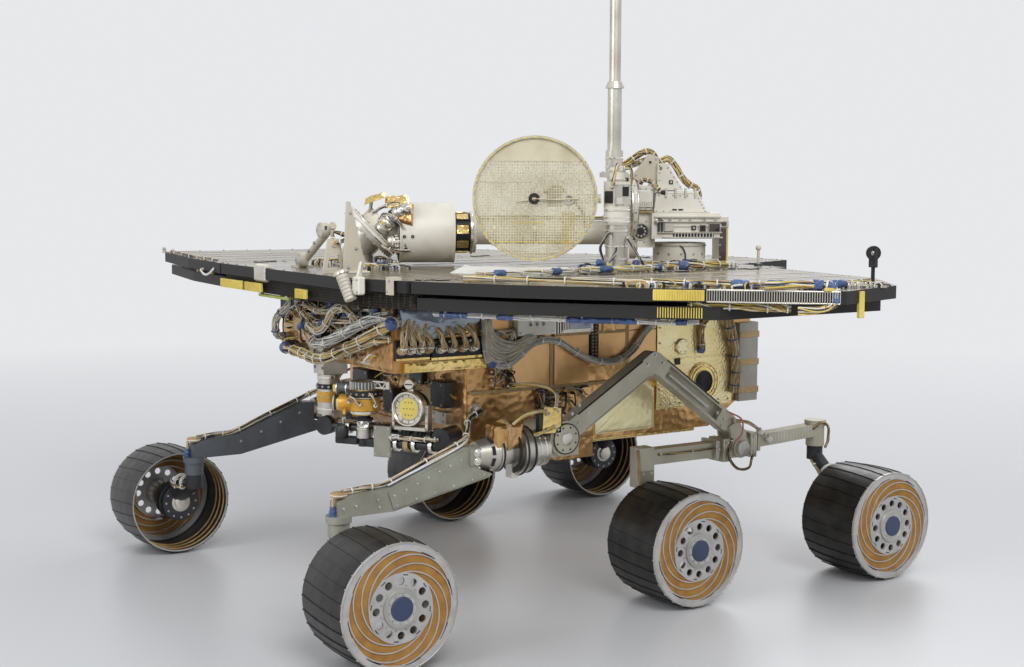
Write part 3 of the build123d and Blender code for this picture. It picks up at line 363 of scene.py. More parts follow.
@dataclass(frozen=True)
class SolarCells(Finish):
    """Rows of glossy cells on the top of a panel and near-black edges."""

    cell: float = 0.040
    gap: float = 0.0028
    cells: tuple = ((0.16, 0.125, 0.085), (0.105, 0.085, 0.062))
    seam: Colour = (0.60, 0.54, 0.40)
    finger: Colour = (0.30, 0.26, 0.19)
    string_size: tuple = (0.36, 0.12)

    def upward(self, graph: Graph) -> bpy.types.NodeSocket:
        """1 where the face points up, 0 on the sides."""
        facing = graph.node("ShaderNodeTexCoord").outputs["Normal"]
        return graph.step(graph.node("ShaderNodeSeparateXYZ", Vector=facing).outputs["Z"], 0.7, 0.8)

    def tint(self, graph: Graph) -> bpy.types.NodeSocket:
        """Cells in a brick grid where the face points up, and the plain colour elsewhere.

        Args:
            graph: The material being made.

        Returns:
            The colour's socket.
        """
        brick = graph.node(
            "ShaderNodeTexBrick", {"offset": 0.0}, Vector=graph.place, Scale=1.0, Brick_Width=2 * self.cell,
            Row_Height=self.cell, Mortar_Size=self.gap, Color1=self.cells[0], Color2=self.cells[1],
            Mortar=self.seam)
        fingers = graph.node(
            "ShaderNodeTexWave", {"wave_type": "BANDS", "bands_direction": "X"}, Vector=graph.place,
            Scale=60.0).outputs["Fac"]
        lined = graph.mix(graph.step(fingers, 0.90, 0.99), brick.outputs["Color"], self.finger)
        strings = graph.node(
            "ShaderNodeTexBrick", {"offset": 0.5}, Vector=graph.place, Scale=1.0,
            Brick_Width=self.string_size[0], Row_Height=self.string_size[1], Mortar_Size=0.0,
            Color1=(0.72, 0.72, 0.72), Color2=(1.0, 1.0, 1.0))
        shade = graph.node("ShaderNodeMix", {"data_type": "RGBA", "blend_type": "MULTIPLY"})
        for place, value in ((MIX_SHARE, 1.0), (MIX_FIRST, lined), (MIX_SECOND, strings.outputs["Color"])):
            graph.feed(shade.inputs[place], value)
        return graph.mix(self.upward(graph), self.colour, shade.outputs[MIX_RESULT])

    def gloss(self, graph: Graph) -> bpy.types.NodeSocket:
        """Cover glass on the cells, with faint unevenness, and dull edges."""
        glass = graph.maths("MULTIPLY_ADD", graph.noise(9.0, 3.0), 0.14, self.roughness)
        return graph.maths("MULTIPLY_ADD", self.upward(graph), graph.maths("SUBTRACT", glass, 0.6), 0.6)


@dataclass(frozen=True)
class Honeycomb(Finish):
    """A panel whose open edge shows the walls of its cells as fine upright lines."""

    pitch: float = 0.0055
    wall: Colour = (0.055, 0.048, 0.036)

    def tint(self, graph: Graph) -> bpy.types.NodeSocket:
        """Upright bright walls between dark cells on the sides, the plain colour elsewhere.

        Args:
            graph: The material being made.

        Returns:
            The colour's socket.
        """
        walls = graph.node(
            "ShaderNodeTexVoronoi", {"feature": "DISTANCE_TO_EDGE"}, Vector=graph.place,
            Scale=1.0 / self.pitch, Randomness=0.35).outputs["Distance"]
        facing = graph.node("ShaderNodeTexCoord").outputs["Normal"]
        upward = graph.node("ShaderNodeSeparateXYZ", Vector=facing).outputs["Z"]
        side = graph.step(graph.maths("ABSOLUTE", upward), 0.6, 0.4)
        line = graph.step(walls, 0.12, 0.05)
        return graph.mix(graph.maths("MULTIPLY", side, line), self.colour, self.wall)


@dataclass(frozen=True)
class MeshDish(Finish):
    """A translucent dish: a woven grid that shows what is behind it, under a plain cream crown."""

    clear: float = 0.85
    pitch: float = 0.0062
    thread: float = 0.0009
    veil: Colour = (0.96, 0.95, 0.90)
    aim: float = 0.9775
    crown: float = 0.998

    def build(self) -> bpy.types.Material:
        """Mix a pale surface with a clear one by a fine grid, turned into the dish's own plane.

        Returns:
            The new material.
        """
        graph = Graph(self.title)
        shader = graph.node(
            "ShaderNodeBsdfPrincipled", Base_Color=self.tint(graph), Roughness=self.roughness,
            Metallic=self.metallic)
        level = graph.node("ShaderNodeMapping", Vector=graph.place, Rotation=(
            0.0, 0.0, math.pi / 2 - self.aim))
        upright = graph.node("ShaderNodeMapping", Vector=level.outputs[0], Rotation=(-math.pi / 2, 0.0, 0.0))
        grid = graph.node(
            "ShaderNodeTexBrick", {"offset": 0.0}, Vector=upright.outputs[0], Scale=1.0,
            Brick_Width=self.pitch, Row_Height=self.pitch, Mortar_Size=self.thread, Color1=(self.clear,) * 3,
            Color2=(self.clear * 0.55,) * 3, Mortar=(0.0, 0.0, 0.0))
        height = graph.node("ShaderNodeSeparateXYZ", Vector=graph.place).outputs["Z"]
        below = graph.step(height, self.crown, self.crown - 0.001)
        open_share = graph.maths(
            "MULTIPLY", below, graph.node("ShaderNodeRGBToBW", Color=grid.outputs["Color"]).outputs[0])
        clear = graph.node("ShaderNodeBsdfTransparent", Color=self.veil)
        both = graph.node("ShaderNodeMixShader", Fac=open_share)
        graph.tree.links.new(shader.outputs[0], both.inputs[1])
        graph.tree.links.new(clear.outputs[0], both.inputs[2])
        return graph.finish(both)


FOIL_COPPER = Finish(
    "copper_foil", (0.68, 0.42, 0.19), (0.46, 0.26, 0.10), 0.95, 0.34, Relief.CRINKLE, 0.0020, 60.0, 9.0,
    slot="copper_foil")
FOIL_TILE = Finish(
    "copper_tile", (0.68, 0.43, 0.20), (0.58, 0.34, 0.14), 0.85, 0.40, Relief.CRINKLE, 0.0007, 40.0, 6.0,
    slot="copper_foil")
FOIL_GOLD = Finish(
    "gold_foil", (0.86, 0.66, 0.27), (0.68, 0.47, 0.15), 0.95, 0.27, Relief.CRINKLE, 0.0024, 70.0, 9.0,
    slot="gold_foil")
FOIL_PALE = Finish(
    "pale_gold_foil", (0.90, 0.83, 0.52), (0.84, 0.73, 0.38), 0.7, 0.32, Relief.CRINKLE, 0.0005, 60.0, 11.0,
    slot="gold_foil")
FOIL_SILVER = Finish(
    "silver_foil", (0.76, 0.75, 0.72), (0.52, 0.50, 0.46), 1.0, 0.24, Relief.CRINKLE, 0.0050, 80.0,
    slot="bare_metal")
SILVER = Finish(
    "silver", (0.64, 0.61, 0.54), (0.48, 0.455, 0.40), 0.9, 0.34, Relief.BRUSHED, 0.0001, 60.0,
    slot="bare_metal")
BOLT = Finish(
    "bolt_steel", (0.52, 0.51, 0.48), (0.34, 0.33, 0.31), 1.0, 0.32, Relief.SMOOTH, slot="bare_metal")
BRIGHT = Finish(
    "bright_ring", (0.80, 0.77, 0.70), (0.64, 0.61, 0.55), 1.0, 0.20, Relief.SMOOTH, slot="bare_metal")
DARK_METAL = Finish(
    "dark_metal", (0.060, 0.062, 0.066), (0.035, 0.035, 0.037), 0.6, 0.40, shine=0.3, slot="dark_metal")
BLACK = Finish(
    "black_plastic", (0.018, 0.018, 0.019), (0.030, 0.029, 0.028), 0.0, 0.42, shine=0.3, slot="dark_metal")
OLIVE = Finish(
    "olive_metal", (0.335, 0.335, 0.275), (0.255, 0.25, 0.20), 0.2, 0.46, Relief.GRAIN, 0.0002,
    slot="olive_metal")
ARCH_GREY = Finish(
    "arch_grey", (0.54, 0.51, 0.41), (0.43, 0.40, 0.31), 0.25, 0.44, Relief.GRAIN, 0.0002,
    slot="olive_metal")
STEEL_BLUE = Finish(
    "steel_blue", (0.115, 0.130, 0.150), (0.085, 0.090, 0.098), 0.35, 0.42, slot="olive_metal")
WHITE = Finish(
    "white_paint", (0.82, 0.79, 0.70), (0.70, 0.66, 0.56), 0.0, 0.42, Relief.GRAIN, 0.00015,
    slot="white_paint")
FOAM = Finish(
    "ochre_foam", (0.42, 0.215, 0.045), (0.30, 0.145, 0.030), 0.0, 0.75, Relief.GRAIN, 0.0012, 420.0, 40.0,
    slot="ochre_foam")
CREAM = Finish(
    "cream_wire", (0.66, 0.59, 0.43), (0.50, 0.43, 0.29), 0.0, 0.45, Relief.SMOOTH, mottle_scale=60.0,
    slot="cable_wrap")
TAN = Finish(
    "tan_wire", (0.50, 0.34, 0.15), (0.34, 0.21, 0.08), 0.0, 0.42, Relief.SMOOTH, mottle_scale=60.0,
    slot="cable_wrap")
GREY_WIRE = Finish(
    "grey_wire", (0.50, 0.49, 0.45), (0.36, 0.35, 0.32), 0.0, 0.48, Relief.SMOOTH, mottle_scale=60.0,
    slot="cable_wrap")
WHITE_WIRE = Finish(
    "white_wire", (0.78, 0.77, 0.72), (0.62, 0.60, 0.54), 0.0, 0.42, Relief.SMOOTH, slot="cable_wrap")
BLACK_WIRE = Finish(
    "black_wire", (0.022, 0.021, 0.020), (0.045, 0.040, 0.035), 0.0, 0.40, Relief.SMOOTH, slot="cable_wrap")
YELLOW_WIRE = Finish(
    "yellow_wire", (0.72, 0.56, 0.12), (0.56, 0.42, 0.08), 0.0, 0.42, Relief.SMOOTH, slot="cable_wrap")
PINK_WIRE = Finish(
    "pink_wire", (0.62, 0.20, 0.19), (0.48, 0.14, 0.13), 0.0, 0.42, Relief.SMOOTH, slot="cable_wrap")
BLUE_WRAP = Finish(
    "blue_wrap", (0.075, 0.13, 0.29), (0.045, 0.075, 0.18), 0.0, 0.34, Relief.CRINKLE, 0.0030, 120.0,
    slot="cable_wrap")
BAG = Finish(
    "grey_bag", (0.36, 0.41, 0.47), (0.25, 0.29, 0.35), 0.2, 0.20, Relief.CRINKLE, 0.0026, 45.0, 20.0,
    coat=0.8, slot="grey_cloth")
TAG = Finish(
    "yellow_tag", (0.80, 0.66, 0.16), (0.66, 0.50, 0.10), 0.0, 0.50, Relief.GRAIN, 0.0002, slot="gold_foil")
LIME = Finish(
    "lime_tag", (0.52, 0.58, 0.12), (0.40, 0.44, 0.08), 0.0, 0.50, Relief.GRAIN, 0.0002, slot="gold_foil")
NAVY = Finish(
    "navy_cap", (0.035, 0.055, 0.120), (0.026, 0.040, 0.085), 0.0, 0.36, Relief.GRAIN, 0.0001,
    slot="wheel_metal")
SHELL = Finish("hub_boss", (0.46, 0.45, 0.42), (0.34, 0.33, 0.30), 0.5, 0.40, slot="wheel_metal")
LENS = Finish(
    "dark_lens", (0.045, 0.016, 0.012), (0.020, 0.010, 0.010), 0.0, 0.10, Relief.SMOOTH, coat=1.0,
    slot="solar_cells")
BLANKET = Finish(
    "grey_blanket", (0.44, 0.42, 0.37), (0.33, 0.31, 0.27), 0.0, 0.70, Relief.WEAVE, 0.0012, 240.0, sheen=0.2,
    slot="grey_cloth")
CLOTH = Finish(
    "white_cloth", (0.80, 0.79, 0.75), (0.72, 0.71, 0.66), 0.0, 0.70, Relief.WEAVE, 0.0006, 700.0, sheen=0.2,
    slot="white_cloth")
TAPE = Finish(
    "tan_tape", (0.50, 0.35, 0.17), (0.40, 0.26, 0.11), 0.1, 0.40, Relief.CRINKLE, 0.0020, 110.0,
    slot="gold_foil")
AMBER = Finish(
    "amber_band", (0.72, 0.40, 0.055), (0.56, 0.28, 0.035), 0.35, 0.34, Relief.GRAIN, 0.0002,
    slot="gold_foil")
PANEL_GOLD = Finish(
    "panel_gold", (0.88, 0.77, 0.44), (0.80, 0.66, 0.32), 0.8, 0.32, Relief.CRINKLE, 0.0011, 190.0, 12.0,
    slot="gold_foil")
STRIP = Finish(
    "pale_strip", (0.62, 0.56, 0.42), (0.46, 0.40, 0.29), 0.4, 0.35, Relief.SMOOTH, slot="bare_metal")
CREAM_PAINT = Finish("cream_paint", (0.66, 0.61, 0.50), (0.54, 0.49, 0.39), 0.0, 0.45, slot="white_paint")
DECK_TOP = SolarCells(
    "solar_cells", (0.010, 0.009, 0.008), roughness=0.13, shine=0.45, relief=Relief.SMOOTH,
    slot="solar_cells")
DECK_EDGE = Honeycomb(
    "dark_honeycomb", (0.009, 0.008, 0.007), roughness=0.5, shine=0.06, slot="dark_honeycomb")
DISH = MeshDish("dish_mesh", (0.70, 0.65, 0.48), (0.54, 0.48, 0.32), 0.1, 0.35, slot="white_paint")


def unit(v: Array) -> Array:
    """Vectors of length one."""
    return v / np.maximum(np.linalg.norm(v, axis=-1, keepdims=True), 1e-12)


@dataclass
class Shape:
    """Points and faces in the making: loops lists each face's corners in turn."""

    points: Array
    loops: Array
    sizes: Array

    def volume(self) -> float:
        """Enclosed volume: the sum over faces of centre . area normal / 3.

        Returns:
            The volume, which is negative where the faces point inward.
        """
        ends = np.cumsum(self.sizes)
        starts = ends - self.sizes
        here = self.points[self.loops]
        after = np.arange(1, len(self.loops) + 1)
        after[ends - 1] = starts
        cross = np.cross(here, here[after]) / 2
        area = np.add.reduceat(cross, starts)
        middle = np.add.reduceat(here, starts) / self.sizes[:, None]
        return float(np.sum(middle * area) / 3)

    def outward(self) -> "Shape":
        """The same closed shape with its faces turned to point out.

        Returns:
            A shape of positive volume.
        """
        if self.volume() >= 0:
            return self
        return Shape(self.points, self.loops[::-1].copy(), self.sizes[::-1].copy())

    def mirrored(self, side: float) -> "Shape":
        """The port shape itself, or its starboard twin with y changed in sign.

        Args:
            side: 1 for port, -1 for starboard.

        Returns:
            The shape for that side.
        """
        if side > 0:
            return self
        return Shape(self.points * (1.0, -1.0, 1.0), self.loops[::-1].copy(), self.sizes[::-1].copy())

    def repeated(self, places: Array, turns: Array | None = None) -> "Shape":
        """Copies of the shape.

        Args:
            places: Where the copies' origins go, (n, 3).
            turns: 3x3 matrices whose columns are a copy's own x, y and z: one for each copy, one for
                all of them, or None for all as drawn.

        Returns:
            One shape with all the copies.
        """
        places = np.asarray(places, float)
        count = len(places)
        turns = np.broadcast_to(np.eye(3) if turns is None else turns, (count, 3, 3))
        points = np.einsum("nij,pj->npi", turns, self.points) + places[:, None]
        loops = self.loops[None] + np.arange(count)[:, None] * len(self.points)
        return Shape(points.reshape(-1, 3), loops.ravel(), np.tile(self.sizes, count))


def joined(shapes: list[Shape]) -> Shape:
    """Several shapes as one.

    Args:
        shapes: The shapes, in order.

    Returns:
        One shape with all their points and faces.
    """
    firsts = np.cumsum([0] + [len(s.points) for s in shapes[:-1]])
    return Shape(
        np.concatenate([s.points for s in shapes]),
        np.concatenate([s.loops + first for s, first in zip(shapes, firsts)]),
        np.concatenate([s.sizes for s in shapes]))


def loft(rings: Array, closed: bool = False, caps: bool = True) -> Shape:
    """A skin through rings of points, closed round each ring.

    Args:
        rings: Points of shape (rings, around, 3).
        closed: Whether the last ring joins the first.
        caps: Whether flat faces close both ends.

    Returns:
        The skin, face (i, j) having corners (i, j), (i, j+1), (i+1, j+1), (i+1, j).
    """
    count, around = rings.shape[:2]
    rows = np.arange(count if closed else count - 1)[:, None]
    cols = np.arange(around)[None]
    ahead, beside = (rows + 1) % count, (cols + 1) % around
    quads = np.stack(
        [rows * around + cols, rows * around + beside, ahead * around + beside, ahead * around + cols], -1)
    loops, sizes = quads.ravel(), np.full(quads.shape[0] * around, 4)
    if caps and not closed:
        first, last = np.arange(around)[::-1], np.arange(around) + (count - 1) * around
        loops = np.concatenate([loops, first, last])
        sizes = np.concatenate([sizes, [around, around]])
    return Shape(rings.reshape(-1, 3), loops, sizes).outward()


def frames(path: Array) -> tuple[Array, Array, Array]:
    """Unit vectors along a path and two across it: across = along x r, where r is the least parallel axis.

    Args:
        path: Points of the path, (n, 3).

    Returns:
        The directions along, across and square to both, each (n, 3).
    """
    along = unit(np.gradient(path, axis=0))
    choices = unit(np.array([
        (0, 0, 1), (0, 1, 0), (1, 0, 0), (1, 1, 1), (1, -1, 1), (-1, 1, 1.0), (1, 1, -1)]))
    reference = choices[np.argmin(np.abs(along @ choices.T).max(axis=0))]
    side = unit(np.cross(along, reference))
    return along, side, np.cross(along, side)


def curve(points: Array, count: int = 40, scale: float = 1.0) -> Array:
    """A smooth line through points.

    p(t) is the Catmull-Rom cubic 0.5 (2b + (c-a)t + (2a-5b+4c-d)t^2 + (3b-a-3c+d)t^3) between b and c.

    Args:
        points: Points that the line passes, (n, 3).
        count: How many points the line gets.
        scale: What the given points are multiplied by.

    Returns:
        The line's points, (count, 3).
    """
    given = np.asarray(points, float) * scale
    padded = np.concatenate([2 * given[:1] - given[1:2], given, 2 * given[-1:] - given[-2:-1]])
    spot = np.linspace(0, len(given) - 1 - 1e-9, count)
    index = spot.astype(int)
    t = (spot - index)[:, None]
    a, b, c, d = (padded[index + i] for i in range(4))
    return 0.5 * (2 * b + (c - a) * t + (2 * a - 5 * b + 4 * c - d) * t**2 + (3 * b - a - 3 * c + d) * t**3)


def tube(path: Array, radius: object, sides: int = 10) -> Shape:
    """A round tube with closed ends: path + r (cos a across + sin a across').

    Args:
        path: Points of its middle, (n, 3).
        radius: One radius, or one for each point.
        sides: How many sides it has round its axis.

    Returns:
        The closed tube.
    """
    _, side, up = frames(path)
    angle = np.linspace(0, 2 * math.pi, sides, endpoint=False)[None, :, None]
    ring = np.cos(angle) * side[:, None] + np.sin(angle) * up[:, None]
    size = np.broadcast_to(np.asarray(radius, float), (len(path),))[:, None, None]
    return loft(path[:, None] + size * ring)


def turned(
        start: Triple, end: Triple, profile: list[tuple[float, float]], sides: int = 32,
        closed: bool = False) -> Shape:
    """A turned part: the rings stand at start + share (end - start) and reach r (cos a side + sin a side').

    Args:
        start: Where the axis starts.
        end: Where it ends.
        profile: (share of the length, radius) for each ring.
        sides: How many points a ring has.
        closed: Whether the last ring joins the first, as for a hollow part.

    Returns:
        The skin through the rings.
    """
    start, end = np.asarray(start, float), np.asarray(end, float)
    axis = unit(end - start)
    side = unit(np.cross(axis, np.eye(3)[np.argmin(np.abs(axis))]))
    up = np.cross(axis, side)
    table = np.asarray(profile, float)
    angle = np.linspace(0, 2 * math.pi, sides, endpoint=False)[None, :, None]
    spoke = np.cos(angle) * side + np.sin(angle) * up
    middle = start + table[:, :1] * (end - start)
    return loft(middle[:, None] + table[:, 1][:, None, None] * spoke, closed)


def ring(
        start: Triple, end: Triple, inner: float, outer: float, sides: int = 40,
        bevel: float = 0.0006) -> Shape:
    """A flat ring or washer with softened edges, turned about the line from start to end.

    Args:
        start: Where the axis starts.
        end: Where it ends.
        inner: Radius of the hole.
        outer: Radius of the rim.
        sides: How many sides it has.
        bevel: How wide the softened edges are, at most.

    Returns:
        The closed ring.
    """
    length = float(np.linalg.norm(np.subtract(end, start)))
    step = min(bevel, 0.3 * length, 0.3 * (outer - inner))
    soft = step / length
    profile = [
        (0, inner + step), (0, outer - step), (soft, outer), (1 - soft, outer), (1, outer - step),
        (1, inner + step), (1 - soft, inner), (soft, inner)]
    return turned(start, end, profile, sides, closed=True)


def inset(outline: Array, depth: float) -> Array:
    """An outline moved inward: each corner p goes to p + d (m + n) / (1 + m.n), m and n its edges' normals.

    Args:
        outline: Corners (a, b) in order.
        depth: How far the edges move.

    Returns:
        The moved corners.
    """
    before, after = outline - np.roll(outline, 1, 0), np.roll(outline, -1, 0) - outline
    x, y = outline[:, 0], outline[:, 1]
    turn = np.sign(np.sum(x * np.roll(y, -1) - y * np.roll(x, -1)))
    m, n = (turn * unit(np.stack([-edge[:, 1], edge[:, 0]], -1)) for edge in (before, after))
    return outline + depth * (m + n) / np.maximum(1 + np.sum(m * n, -1, keepdims=True), 0.3)


def plate(
        outline: Array, low: float, high: float, normal: Triple = PLUS_Z, origin: Triple = (0, 0, 0),
        bevel: float = 0.0008) -> Shape:
    """A flat plate with softened edges.

    Args:
        outline: Corners (a, b) across the plate.
        low: Where the plate starts along its normal.
        high: Where it ends.
        normal: Its normal. An upright plate's a axis is level, and a level plate's a is x.
        origin: Where (0, 0) of the outline lies.
        bevel: How wide the softened edge is.

    Returns:
        Four rings through the outline and two end faces.
    """
    normal = unit(np.asarray(normal, float))
    if abs(normal[2]) > 0.99:
        across, over = np.array((1.0, 0, 0)), np.array((0, 1.0, 0)) * np.sign(normal[2])
    else:
        across = unit(np.array((abs(normal[1]), -normal[0] * np.sign(normal[1] or 1.0), 0.0)))
        over = unit(np.array((0, 0, 1.0)) - normal[2] * normal)
    flat = np.asarray(outline, float)
    soft = min(bevel, 0.4 * abs(high - low))
    small = inset(flat, soft)
    rings = [(small, low), (flat, low + soft), (flat, high - soft), (small, high)]
    points = np.array([origin + ab[:, :1] * across + ab[:, 1:] * over + at * normal for ab, at in rings])
    return loft(points)


def block(low: Triple, high: Triple, bevel: float = 0.001, turn: Array | None = None) -> Shape:
    """A box with softened edges between two corners, turned about its middle by a 3x3 matrix.

    Args:
        low: One corner.
        high: The opposite corner.
        bevel: How wide the softened edges are, at most.
        turn: The 3x3 matrix, or None for a box that stands straight.

    Returns:
        The closed box.
    """
    low, high = np.minimum(low, high).astype(float), np.maximum(low, high).astype(float)
    half, middle = (high - low) / 2, (high + low) / 2
    soft = min(bevel, 0.35 * float(half.min()))
    outline = [
        (-half[0], -half[1] + soft), (-half[0] + soft, -half[1]), (half[0] - soft, -half[1]),
        (half[0], -half[1] + soft), (half[0], half[1] - soft), (half[0] - soft, half[1]),
        (-half[0] + soft, half[1]), (-half[0], half[1] - soft)]
    made = plate(outline, -half[2], half[2], bevel=soft)
    turned_points = made.points if turn is None else made.points @ np.asarray(turn, float).T
    return Shape(turned_points + middle, made.loops, made.sizes)


def facing(normals: Array) -> Array:
    """Turns that carry z onto each normal, as 3x3 matrices with the new axes as columns.

    Args:
        normals: One direction or several, (n, 3).

    Returns:
        The turns, (n, 3, 3).
    """
    normals = unit(np.atleast_2d(np.asarray(normals, float)))
    reference = np.where(np.abs(normals[:, 2:]) < 0.9, (0.0, 0.0, 1.0), (1.0, 0.0, 0.0))
    side = unit(np.cross(reference, normals))
    return np.stack([side, np.cross(normals, side), normals], -1)


def bolts(
        places: Array, normal: Triple, radius: float = 0.003, height: float = 0.0025,
        sides: int = 9) -> Shape:
    """Bolt heads on their washers, all facing one way.

    Args:
        places: Where the washers' undersides are, (n, 3).
        normal: The way the heads face.
        radius: The head's radius.
        height: How far the head stands out.
        sides: How many sides it has round its axis.

    Returns:
        All the bolts as one shape.
    """
    profile = [(0.0, 1.5 * radius), (0.25, 1.5 * radius), (0.25, radius), (0.85, radius), (1.0, 0.8 * radius)]
    head = turned((0, 0, -0.0004), (0, 0, height), profile, sides)
    places = np.atleast_2d(np.asarray(places, float))
    return head.repeated(places, facing(normal))


def spread(start: Triple, end: Triple, count: int) -> Array:
    """Evenly spaced points from one end to the other."""
    share = np.linspace(0, 1, count)[:, None]
    return (1 - share) * np.asarray(start, float) + share * np.asarray(end, float)


def upright(spots: tuple, y: float) -> Array:
    """Points (x, y, z) from pairs (x, z)."""
    table = np.asarray(spots, float)
    return np.stack([table[:, 0], np.full(len(table), y), table[:, 1]], -1)


def level(spots: tuple, z: float) -> Array:
    """Points (x, y, z) from pairs (x, y)."""
    table = np.asarray(spots, float)
    return np.column_stack([table, np.full(len(table), z)])


def on_ring(middle: Triple, normal: Triple, radius: float, count: int, first: float = 0.0) -> Array:
    """Points round a circle: middle + r (cos a side + sin a side').

    Args:
        middle: The circle's middle.
        normal: The axis it goes round.
        radius: Its radius.
        count: How many points it gets.
        first: Angle of the first point.

    Returns:
        The points, (count, 3).
    """
    turn = facing(normal)[0]
    angle = first + np.linspace(0, 2 * math.pi, count, endpoint=False)[:, None]
    return np.asarray(middle, float) + radius * (np.cos(angle) * turn[:, 0] + np.sin(angle) * turn[:, 1])


def crumple(a: Array, b: Array, seed: int, size: float, folds: int = 11) -> Array:
    """Creased heights from 0 to 1: the mean of triangle waves |2 frac(d.p / s + c) - 1| in random
    directions d.

    Args:
        a: First coordinate on the sheet.
        b: Second coordinate on the sheet.
        seed: Seed of the random draws.
        size: Width of the widest folds.
        folds: How many waves are added up.

    Returns:
        Heights, one for each pair of coordinates.
    """
    draw = np.random.default_rng(seed)
    total, weight = np.zeros(np.broadcast(a, b).shape), 0.0
    for k in range(folds):
        angle, shift = draw.uniform(0, math.pi), draw.uniform()
        span = size * draw.uniform(0.6, 1.0) * 0.86**k
        bend = 0.35 * np.sin((a * math.sin(angle) - b * math.cos(angle)) / (1.7 * span) + 6 * shift)
        wave = np.abs(2 * np.mod((a * math.cos(angle) + b * math.sin(angle)) / span + shift + bend, 1.0) - 1)
        share = 0.88**k
        total, weight = total + share * wave, weight + share
    return total / weight


@dataclass(frozen=True)
class Sheet:
    """A crumpled foil or film over a flat quadrilateral, with its edges tucked in."""

    corners: tuple
    normal: Triple
    depth: float = 0.004
    size: float = 0.05
    seed: int = 1
    grid: float = 0.0052
    lift: float = 0.001
    tuck: float = 0.006

    def shape(self) -> Shape:
        """p = bilinear(corners) + n (lift + depth crumple e): e falls to 0 at the edges, which a rim closes.

        Returns:
            The closed sheet.
        """
        corners = np.asarray(self.corners, float)
        normal = unit(np.asarray(self.normal, float))
        wide = max(np.linalg.norm(corners[1] - corners[0]), np.linalg.norm(corners[2] - corners[3]))
        tall = max(np.linalg.norm(corners[3] - corners[0]), np.linalg.norm(corners[2] - corners[1]))
        columns, rows = (max(int(length / self.grid), 4) for length in (wide, tall))
        u, v = np.meshgrid(np.linspace(0, 1, columns), np.linspace(0, 1, rows), indexing="ij")
        edge = np.clip(np.minimum(np.minimum(u, 1 - u) * wide, np.minimum(v, 1 - v) * tall) / self.tuck, 0, 1)
        height = self.lift + self.depth * crumple(u * wide, v * tall, self.seed, self.size) * edge
        weights = [(1 - u) * (1 - v), u * (1 - v), u * v, (1 - u) * v]
        flat = sum(w[..., None] * corner for w, corner in zip(weights, corners))
        top, under = flat + height[..., None] * normal, flat
        base = np.arange(columns - 1)[:, None] * rows + np.arange(rows - 1)[None]
        quads = np.stack([base, base + rows, base + rows + 1, base + 1], -1).reshape(-1, 4)
        first = np.arange(columns)
        rim = np.concatenate([
            first * rows, (columns - 1) * rows + np.arange(1, rows), first[-2::-1] * rows + rows - 1,
            np.arange(rows - 2, 0, -1)])
        count = columns * rows
        low = count + np.arange(len(rim))
        walls = np.stack([rim, low, np.roll(low, -1), np.roll(rim, -1)], -1)
        points = np.concatenate([top.reshape(-1, 3), under.reshape(-1, 3)[rim]])
        loops = np.concatenate([quads.ravel(), walls.ravel(), low[::-1]])
        sizes = np.concatenate([np.full(len(quads) + len(walls), 4), [len(rim)]])
        return Shape(points, loops, sizes).outward()


@dataclass(frozen=True)
class Bundle:
    """Wires laid along one route, which cross over each other slowly, with ties round them."""

    route: tuple
    radius: float
    wire: float = 0.0016
    wires: int = 12
    twist: float = 3.0
    seed: int = 1
    samples: int = 70
    finishes: tuple = ()
    ties: int = 0
    tie_finish: Finish = WHITE_WIRE
    tie_half: float = 0.0016
    thinning: float = 0.68
    least_samples: int = 14

    def lay(self, work: "Workpiece") -> None:
        """Add the wires, each at route + q r (cos a across + sin a across'), a and q drifting along it.

        Args:
            work: The workpiece that takes the shapes.
        """
        samples = max(int(self.thinning * self.samples), self.least_samples)
        path = curve(self.route, samples)
        _, across, over = frames(path)
        draw = np.random.default_rng(self.seed)
        share = np.linspace(0, 1, samples)[:, None]
        reach = max(self.radius - self.wire, 0.0)
        for k in range(self.wires):
            outer = k >= self.wires // 4
            start = 2 * math.pi * k / max(self.wires, 1) + draw.uniform(-0.3, 0.3)
            wander = np.sin(2 * math.pi * (draw.uniform(1, 3) * share + draw.uniform()))
            angle = start + self.twist * share + 0.5 * wander
            out = reach * (1.0 if outer else 0.45) * (0.92 + 0.08 * np.sin(9 * share + 6 * draw.uniform()))
            line = path + out * (np.cos(angle) * across + np.sin(angle) * over)
            finish = self.finishes[k % len(self.finishes)]
            work.add(finish, tube(line, self.wire, WIRE_SIDES))
        for spot in np.linspace(0.06, 0.94, self.ties) if self.ties else ():
            index = int(spot * (samples - 1))
            ahead = unit(path[min(index + 1, samples - 1)] - path[max(index - 1, 0)])
            band = ring(
                path[index] - self.tie_half * ahead, path[index] + self.tie_half * ahead,
                self.radius - 0.0008, self.radius + 0.0012, 12)
            work.add(self.tie_finish, band)


@dataclass(frozen=True)
class Seat:
    """Directions of a part that stands askew: its own x runs level at an angle, its z up."""

    origin: Triple
    heading: float

    def put(self, points: Array) -> Array:
        """Carry own points into the rover's frame: origin + turn about z by the heading.

        Args:
            points: Own points, (n, 3).

        Returns:
            The carried points.
        """
        cos, sin = math.cos(self.heading), math.sin(self.heading)
        turn = np.array(((cos, -sin, 0), (sin, cos, 0), (0, 0, 1.0)))
        return np.asarray(self.origin, float) + points @ turn.T


MAST_SEAT = Seat((0.292, -0.170, 0.825), math.radians(153.5))


